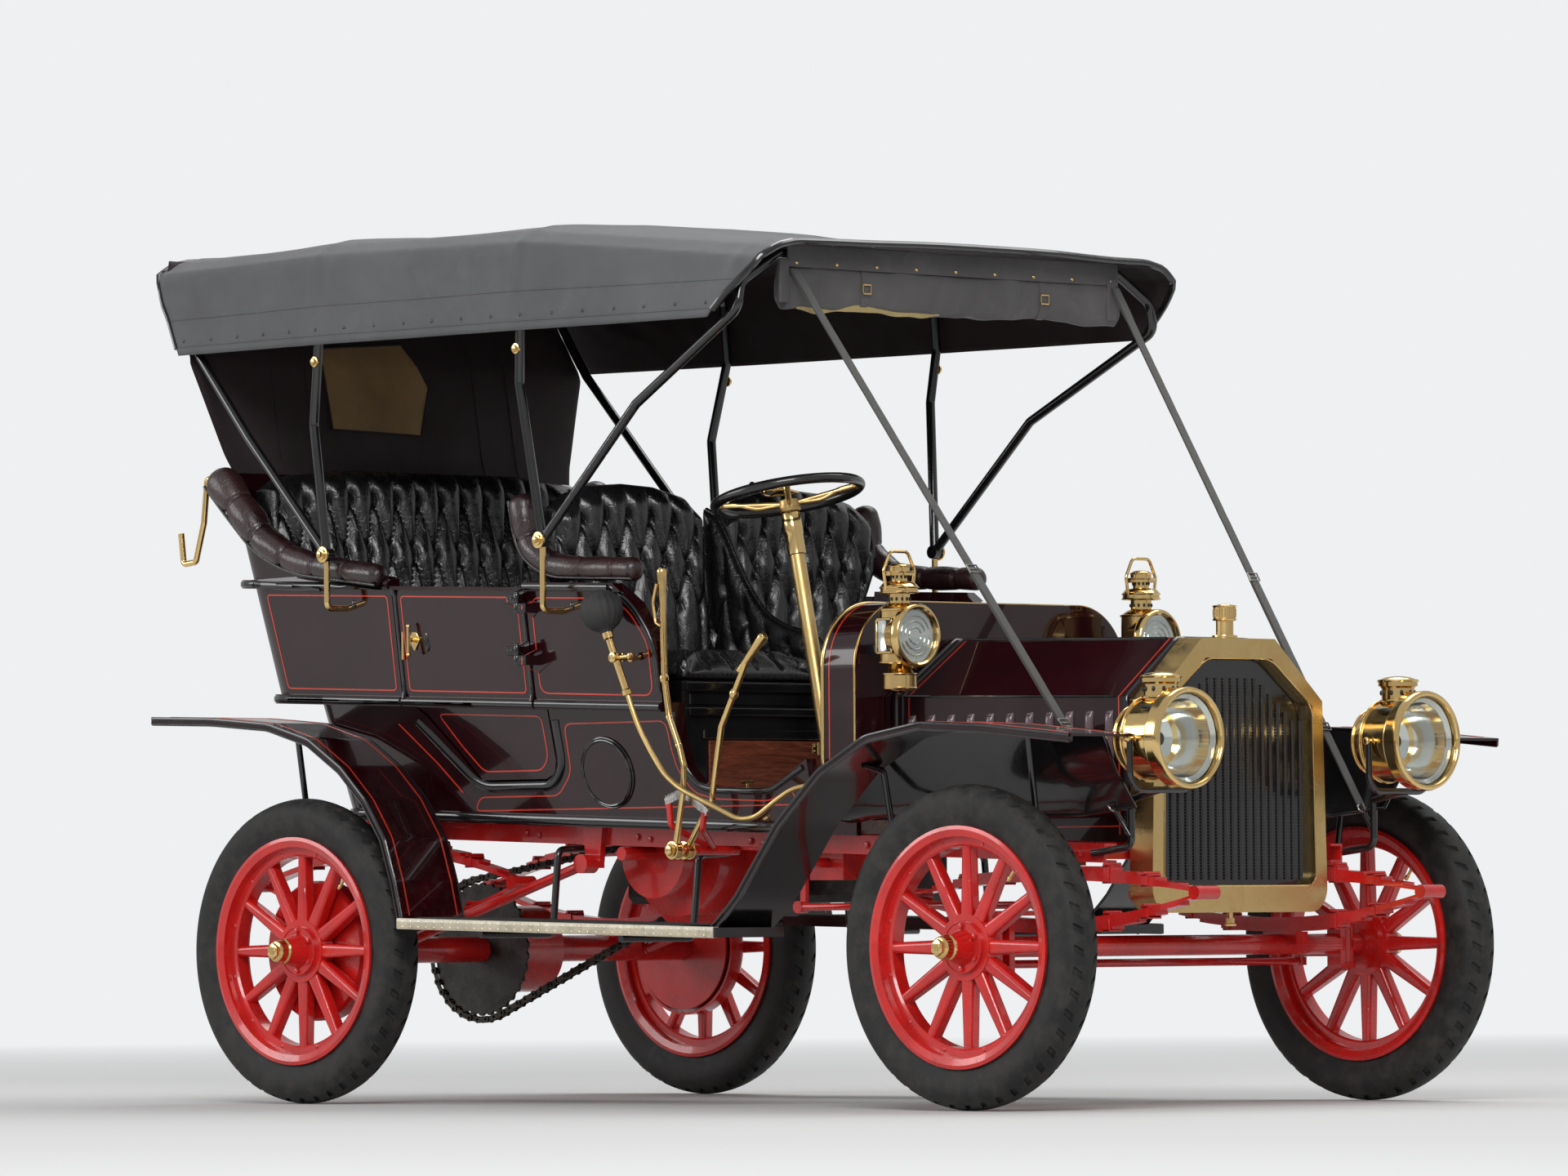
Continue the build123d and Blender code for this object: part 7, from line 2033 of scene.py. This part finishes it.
class CAR_OT_springs(bpy.types.Operator):
    """Bind the springs with their clips and U-bolts, and bolt up the frame sides"""
    bl_idname = "touring_car.springs"
    bl_label = "Spring Clips and Bolts"

    def execute(self, context):
        surface = Panels("springs")
        clips = bmesh.new()
        for side, _ in SIDES:
            y = side * SPRING_Y
            for x in [middle + reach for middle in (0.0, REAR_AXLE_X) for reach in CLIP_REACHES]:
                for z, way in ((0.10, 1), (0.66, -1)):
                    hit = surface.touch((x, y, z), (0, 0, way))
                    far = surface.touch((x, y, 0.52), (0, 0, -way))
                    if not hit or not far or abs(hit[0].z - far[0].z) > 0.075:
                        continue
                    low, high = sorted((hit[0].z, far[0].z))
                    for y0, y1, z0, z1 in ((-0.0245, 0.0245, low - 0.004, low),
                                           (-0.0245, 0.0245, high, high + 0.004),
                                           (-0.0245, -0.0208, low - 0.004, high + 0.004),
                                           (0.0208, 0.0245, low - 0.004, high + 0.004)):
                        box(clips, (x - 0.011, y + y0, z0), (x + 0.011, y + y1, z1), 0.0008)
                    rod(clips, [(x, y - 0.029, high + 0.0065), (x, y + 0.029, high + 0.0065)], 0.0042,
                        rounds=2)
        for side, _ in SIDES:
            for x in FRAME_BOLTS:
                z = line_z(-0.023, x)
                nut(clips, (x, side * 0.4245, z), (0, side, 0), 0.0080, 0.0070, 0.0105)
                nut(clips, (x + 0.045, side * 0.4245, z - 0.006), (0, side, 0), 0.0070, 0.0060, 0.0095)
        finish_piece("spring_clips", clips, "enamel", sharp=40)
        return {"FINISHED"}


IRON_TOPS = ((-2.680, 1.906), (-2.263, 1.893), (-1.488, 1.891), (-0.854, 1.931))
IRON_FEET = ((-1.470, 1.403), (-2.262, 1.392))
IRON_SEARCH = (0, 0.006, -0.006, 0.012, -0.012, 0.018, -0.018, 0.024, -0.024, 0.032, -0.032)


class CAR_OT_top_fittings(bpy.types.Operator):
    """Fit the brass bolts and pivots, and the black snaps, of the folding top"""
    bl_idname = "touring_car.top_fittings"
    bl_label = "Top Fittings"

    def execute(self, context):
        brass, snaps = new_shapes(2)
        surface = Panels("top_bows")
        for side, _ in SIDES:
            out = Vector((0, side, 0))
            for x, z in IRON_TOPS:
                # the outermost point of the iron near the bolt's place
                found = [surface.touch((x + dx, side * 1.2, z - 0.012), -out) for dx in IRON_SEARCH]
                found = [hit[0] for hit in found if hit and abs(hit[0].y) > 0.69]
                if not found:
                    continue
                spot = max(found, key=lambda place: abs(place.y)) - out * 0.002
                drum(brass, spot, spot + out * 0.005, 0.0135, sides=24, bevel=0.0008)
                nut(brass, spot + out * 0.004, out, 0.0085, 0.008)
            for x, z in IRON_FEET:
                spot = Vector((x, side * 0.712, z))
                drum(brass, spot, spot + out * 0.006, 0.021, sides=28, bevel=0.0015)
                drum(brass, spot + out * 0.006, spot + out * 0.011, 0.014, sides=24, bevel=0.001)
                nut(brass, spot + out * 0.010, out, 0.0085, 0.009)
            level = 0.020 if side < 0 else 0.980
            for index in range(19):
                spot = roof_point(0.02 + 0.96 * index / 18, level)
                ball(snaps, spot + out * 0.0012, 0.0042, (1, 0.5, 1), 6)
        finish_piece("top_bolts", brass, "brass")
        finish_piece("top_snaps", snaps, "dark_enamel")
        return {"FINISHED"}


# Front compartment

WING_TOP = ((-1.600, 0.450), (-1.560, 0.432), (-1.520, 0.372), (-1.480, 0.300), (-1.430, 0.228),
            (-1.380, 0.175), (-1.310, 0.142), (-1.235, 0.128), (-1.190, 0.105), (-1.170, 0.070),
            (-1.165, 0.030))
SEAT_FRONT = -1.155
LOUVRES = (-0.5376, 0.0837)
# Along the hood, and how far out, as a share of the puff.
LOUVRE_SECTION = ((-0.0115, -0.05), (-0.0105, 0.50), (-0.0070, 0.85), (-0.0020, 1.0), (0.0035, 0.95),
                  (0.0075, 0.70), (0.0100, 0.35), (0.0110, -0.05))


class CAR_OT_front_seats(bpy.types.Operator):
    """Upholster the side wings of the front seats, and trim and panel the seat box"""
    bl_idname = "touring_car.front_seats"
    bl_label = "Front Seat Wings and Box"

    def execute(self, context):
        for side, word in SIDES:
            def place(across, up, out, side=side):
                return Vector((across, side * (0.0050 + out), SEAT_LEVEL + up))

            edges = (lambda up: WING_TOP[0][0], lambda up: WING_TOP[-1][0],
                     lambda u: between(WING_TOP, WING_TOP[0][0] + 0.435 * u))
            bm = seat_back(edges, (0.30, 0.66), (0.074, 0.012), 0.017, place,
                           lambda spot, side=side: Vector((spot.x, side * 0.0035, spot.z)), (90, 70),
                           roll=0.035)
            wing = finish_piece(f"seat_wing_{word}", bm, "leather", sharp=75)
        pipes, black, wood, brass = new_shapes(4)
        edge = [Vector((x, 0, SEAT_LEVEL + up)) for x, up in WING_TOP]
        skin(pipes, tube_rings(stepped(rounded(edge, 0.04, closed=False), 0.012), 0.0062, 12))
        for side, _ in SIDES:
            rim = []
            for y in [0.036 + 0.548 * i / 40 for i in range(41)]:
                high = between(FRONT_TOP, y)
                rim.append(Vector((-1.548 - 0.070 * high, side * y, SEAT_LEVEL + 0.998 * high - 0.010)))
            skin(pipes, tube_rings(rim, 0.0058, 10))
        finish_piece("seat_piping", pipes, "leather", sharp=60)
        front = SEAT_FRONT
        for reach, low, high, thick, bevel in ((0.522, 1.024, 1.047, 0.012, 0.003),
                                               (0.510, 0.962, 0.984, 0.010, 0.004)):
            box(black, (front, -reach, low), (front + thick, reach, high), bevel, 2)
        for y0, y1 in ((-0.505, -0.030), (0.030, 0.505)):
            box(black, (front, y0, 0.990), (front + 0.004, y1, 1.018), 0.0015)
        box(black, (front, -0.460, 0.905), (front + 0.007, 0.460, 0.930), 0.003)
        finish_piece("seat_box_mouldings", black, "dark_enamel")
        for y0, y1 in ((-0.440, 0.020), (0.032, 0.440)):
            box(wood, (front, y0, 0.766), (front + 0.006, y1, 0.902), 0.0015)
        finish_piece("seat_box_panels", wood, "panel_wood")
        for y in (-0.060, 0.062):
            box(brass, (front + 0.006, y - 0.020, 0.872), (front + 0.009, y + 0.020, 0.896), 0.0008)
            drum(brass, (front + 0.009, y, 0.868), (front + 0.009, y, 0.900), 0.0042, sides=12)
            for dy in (-0.013, 0.013):
                for z in (0.878, 0.890):
                    ball(brass, (front + 0.0095, y + dy, z), 0.0026, (0.5, 1, 1), 5)
        drum(brass, (front + 0.050, -0.355, 0.722), (front + 0.050, -0.355, 0.796), 0.0050, sides=14)
        drum(brass, (front + 0.050, -0.355, 0.722), (front + 0.050, -0.355, 0.732), 0.0110,
             sides=6, bevel=0.001)
        rod(brass, [(front + 0.050, -0.377, 0.798), (front + 0.050, -0.333, 0.798)], 0.0046)
        finish_piece("seat_box_brass", brass, "brass")
        return {"FINISHED"}


class CAR_OT_louvres(bpy.types.Operator):
    """Press the louvres along both sides of the hood"""
    bl_idname = "touring_car.louvres"
    bl_label = "Hood Louvres"

    def execute(self, context):
        surface = Panels("hood")
        bm = bmesh.new()
        for side, _ in SIDES:
            for index in range(11):
                x = LOUVRES[0] + (LOUVRES[1] - LOUVRES[0]) * index / 10
                rings = []
                for share in [step / 14 for step in range(15)]:
                    z = 0.8180 + 0.134 * share
                    base = surface.beside(x + 0.016, z, side)[0].y * side
                    puff = math.sqrt(clamp(1 - (2 * share - 1) ** 6)) * 0.0125 + 0.0006
                    rings.append([Vector((x + dx, side * (base + out * puff), z))
                                  for dx, out in LOUVRE_SECTION])
                skin(bm, rings)
        # finished in pale grey as a painted highlight, not in the coach paint of the hood
        finish_piece("hood_louvres", bm, "louvre", sharp=50)
        return {"FINISHED"}


# Stage

CAMERA_PLACE = (16.097, -17.494, 0.442)
CAMERA_AIM = (-1.323, 0.0, 1.293)
CAMERA_LENS = 225.0
CAMERA_ROLL = math.radians(-0.442)
FLOOR_TONE = (0.62, 0.62, 0.615)
FLOOR_HALF = 60.0
FLOOR_FADE = (5.0, 14.0)
SKY_LIGHT = 0.55
SKY_SEEN_MORE = 0.45
BACKDROP = (0.86, 0.87, 0.88)
LAMPS = (
    # name, place, aim, size, watts
    ("key", (8.0, -9.5, 8.0), (0.0, 0.0, 0.9), (6.0, 5.0), 900.0),
    ("fill", (-8.0, -9.0, 4.5), (0.0, 0.0, 0.9), (7.0, 4.0), 330.0),
    ("over", (0.0, 4.0, 9.0), (0.0, 0.0, 1.0), (9.0, 6.0), 520.0),
)


class CAR_OT_stage(bpy.types.Operator):
    """Set the floor, the soft light and the camera"""
    bl_idname = "touring_car.stage"
    bl_label = "Stage"

    def execute(self, context):
        scene = context.scene
        scene.view_settings.view_transform = "Standard"
        bm = bmesh.new()
        bmesh.ops.create_grid(bm, x_segments=2, y_segments=2, size=FLOOR_HALF)
        mesh = bpy.data.meshes.new("floor")
        bm.to_mesh(mesh)
        bm.free()
        floor = bpy.data.objects.new("floor", mesh)
        scene.collection.objects.link(floor)
        ground = Finish("pale_floor", FLOOR_TONE, 0.9)
        seen_ground = ground.add("ShaderNodeLightPath").outputs["Is Camera Ray"]
        distance = ground.add("ShaderNodeVectorMath", {"Vector": ground.place}, operation="LENGTH")
        far = ground.spread(distance.outputs["Value"], *FLOOR_FADE)
        glow = ground.add("ShaderNodeEmission", {"Color": (*BACKDROP, 1), "Strength": 1.0})
        blend = ground.add("ShaderNodeMixShader", {0: ground.sum(seen_ground, far, "MULTIPLY"),
                                                   1: ground.shader.outputs["BSDF"],
                                                   2: glow.outputs["Emission"]})
        ground.tree.links.new(blend.outputs["Shader"], ground.tree.nodes["Material Output"].inputs["Surface"])
        mesh.materials.append(ground.done())
        world = bpy.data.worlds.new("studio")
        world.use_nodes = True
        scene.world = world
        tree = world.node_tree
        sky = tree.nodes["Background"]
        ray = tree.nodes.new("ShaderNodeLightPath")
        seen = tree.nodes.new("ShaderNodeMath")
        seen.operation = "MULTIPLY_ADD"
        tree.links.new(ray.outputs["Is Camera Ray"], seen.inputs[0])
        seen.inputs[1].default_value = SKY_SEEN_MORE
        seen.inputs[2].default_value = SKY_LIGHT
        sky.inputs["Color"].default_value = (*BACKDROP, 1)
        tree.links.new(seen.outputs["Value"], sky.inputs["Strength"])
        for name, place, aim, size, power in LAMPS:
            data = bpy.data.lights.new(name, "AREA")
            data.shape = "RECTANGLE"
            data.size, data.size_y = size
            data.energy = power
            lamp = bpy.data.objects.new(name, data)
            scene.collection.objects.link(lamp)
            lamp.location = place
            lamp.rotation_euler = (Vector(aim) - Vector(place)).to_track_quat("-Z", "Y").to_euler()
        data = bpy.data.cameras.new("view")
        data.lens = CAMERA_LENS
        data.sensor_width = 36.0
        data.clip_end = 200.0
        camera = bpy.data.objects.new("view", data)
        scene.collection.objects.link(camera)
        place, aim = [Vector((x + AXLE_X, y, z)) for x, y, z in (CAMERA_PLACE, CAMERA_AIM)]
        turn = (aim - place).to_track_quat("-Z", "Y").to_matrix().to_4x4()
        camera.matrix_world = Matrix.Translation(place) @ turn @ Matrix.Rotation(CAMERA_ROLL, 4, "Z")
        scene.camera = camera
        return {"FINISHED"}


class CAR_OT_nodes(bpy.types.Operator):
    """Give the carried-over parts their finishes"""
    bl_idname = "touring_car.nodes"
    bl_label = "Finishes"

    def execute(self, context):
        make_finishes(context.scene.car_finish)
        coat_nodes()
        return {"FINISHED"}


OPERATORS = (CAR_OT_stage, CAR_OT_nodes, CAR_OT_top, CAR_OT_seat_backs, CAR_OT_cushions, CAR_OT_body_trim,
             CAR_OT_door_fittings, CAR_OT_wheels, CAR_OT_arm_rolls, CAR_OT_rear_curtain, CAR_OT_front_curtain,
             CAR_OT_straps, CAR_OT_front_trim, CAR_OT_lamps, CAR_OT_controls, CAR_OT_fender_trim,
             CAR_OT_boards, CAR_OT_chain, CAR_OT_springs, CAR_OT_top_fittings, CAR_OT_front_seats,
             CAR_OT_louvres)


class CAR_PT_panel(bpy.types.Panel):
    """Lists the steps that dress the car"""
    bl_idname = "CAR_PT_panel"
    bl_label = "Touring Car"
    bl_space_type = "VIEW_3D"
    bl_region_type = "UI"
    bl_category = "Touring Car"

    def draw(self, context):
        for group in (context.scene.car_finish, context.scene.car_sizes):
            for name in group.bl_rna.properties.keys():
                if name not in ("rna_type", "name"):
                    self.layout.prop(group, name)
        for operator in OPERATORS:
            self.layout.operator(operator.bl_idname)


CLASSES = (CarFinish, CarSizes, *OPERATORS, CAR_PT_panel)


def register():
    for one in CLASSES:
        bpy.utils.register_class(one)
    bpy.types.Scene.car_finish = PointerProperty(type=CarFinish)
    bpy.types.Scene.car_sizes = PointerProperty(type=CarSizes)


def unregister():
    del bpy.types.Scene.car_sizes
    del bpy.types.Scene.car_finish
    for one in reversed(CLASSES):
        bpy.utils.unregister_class(one)


def main():
    register()
    for operator in OPERATORS:
        group, name = operator.bl_idname.split(".")
        getattr(getattr(bpy.ops, group), name)()


if __name__ == "__main__":
    main()
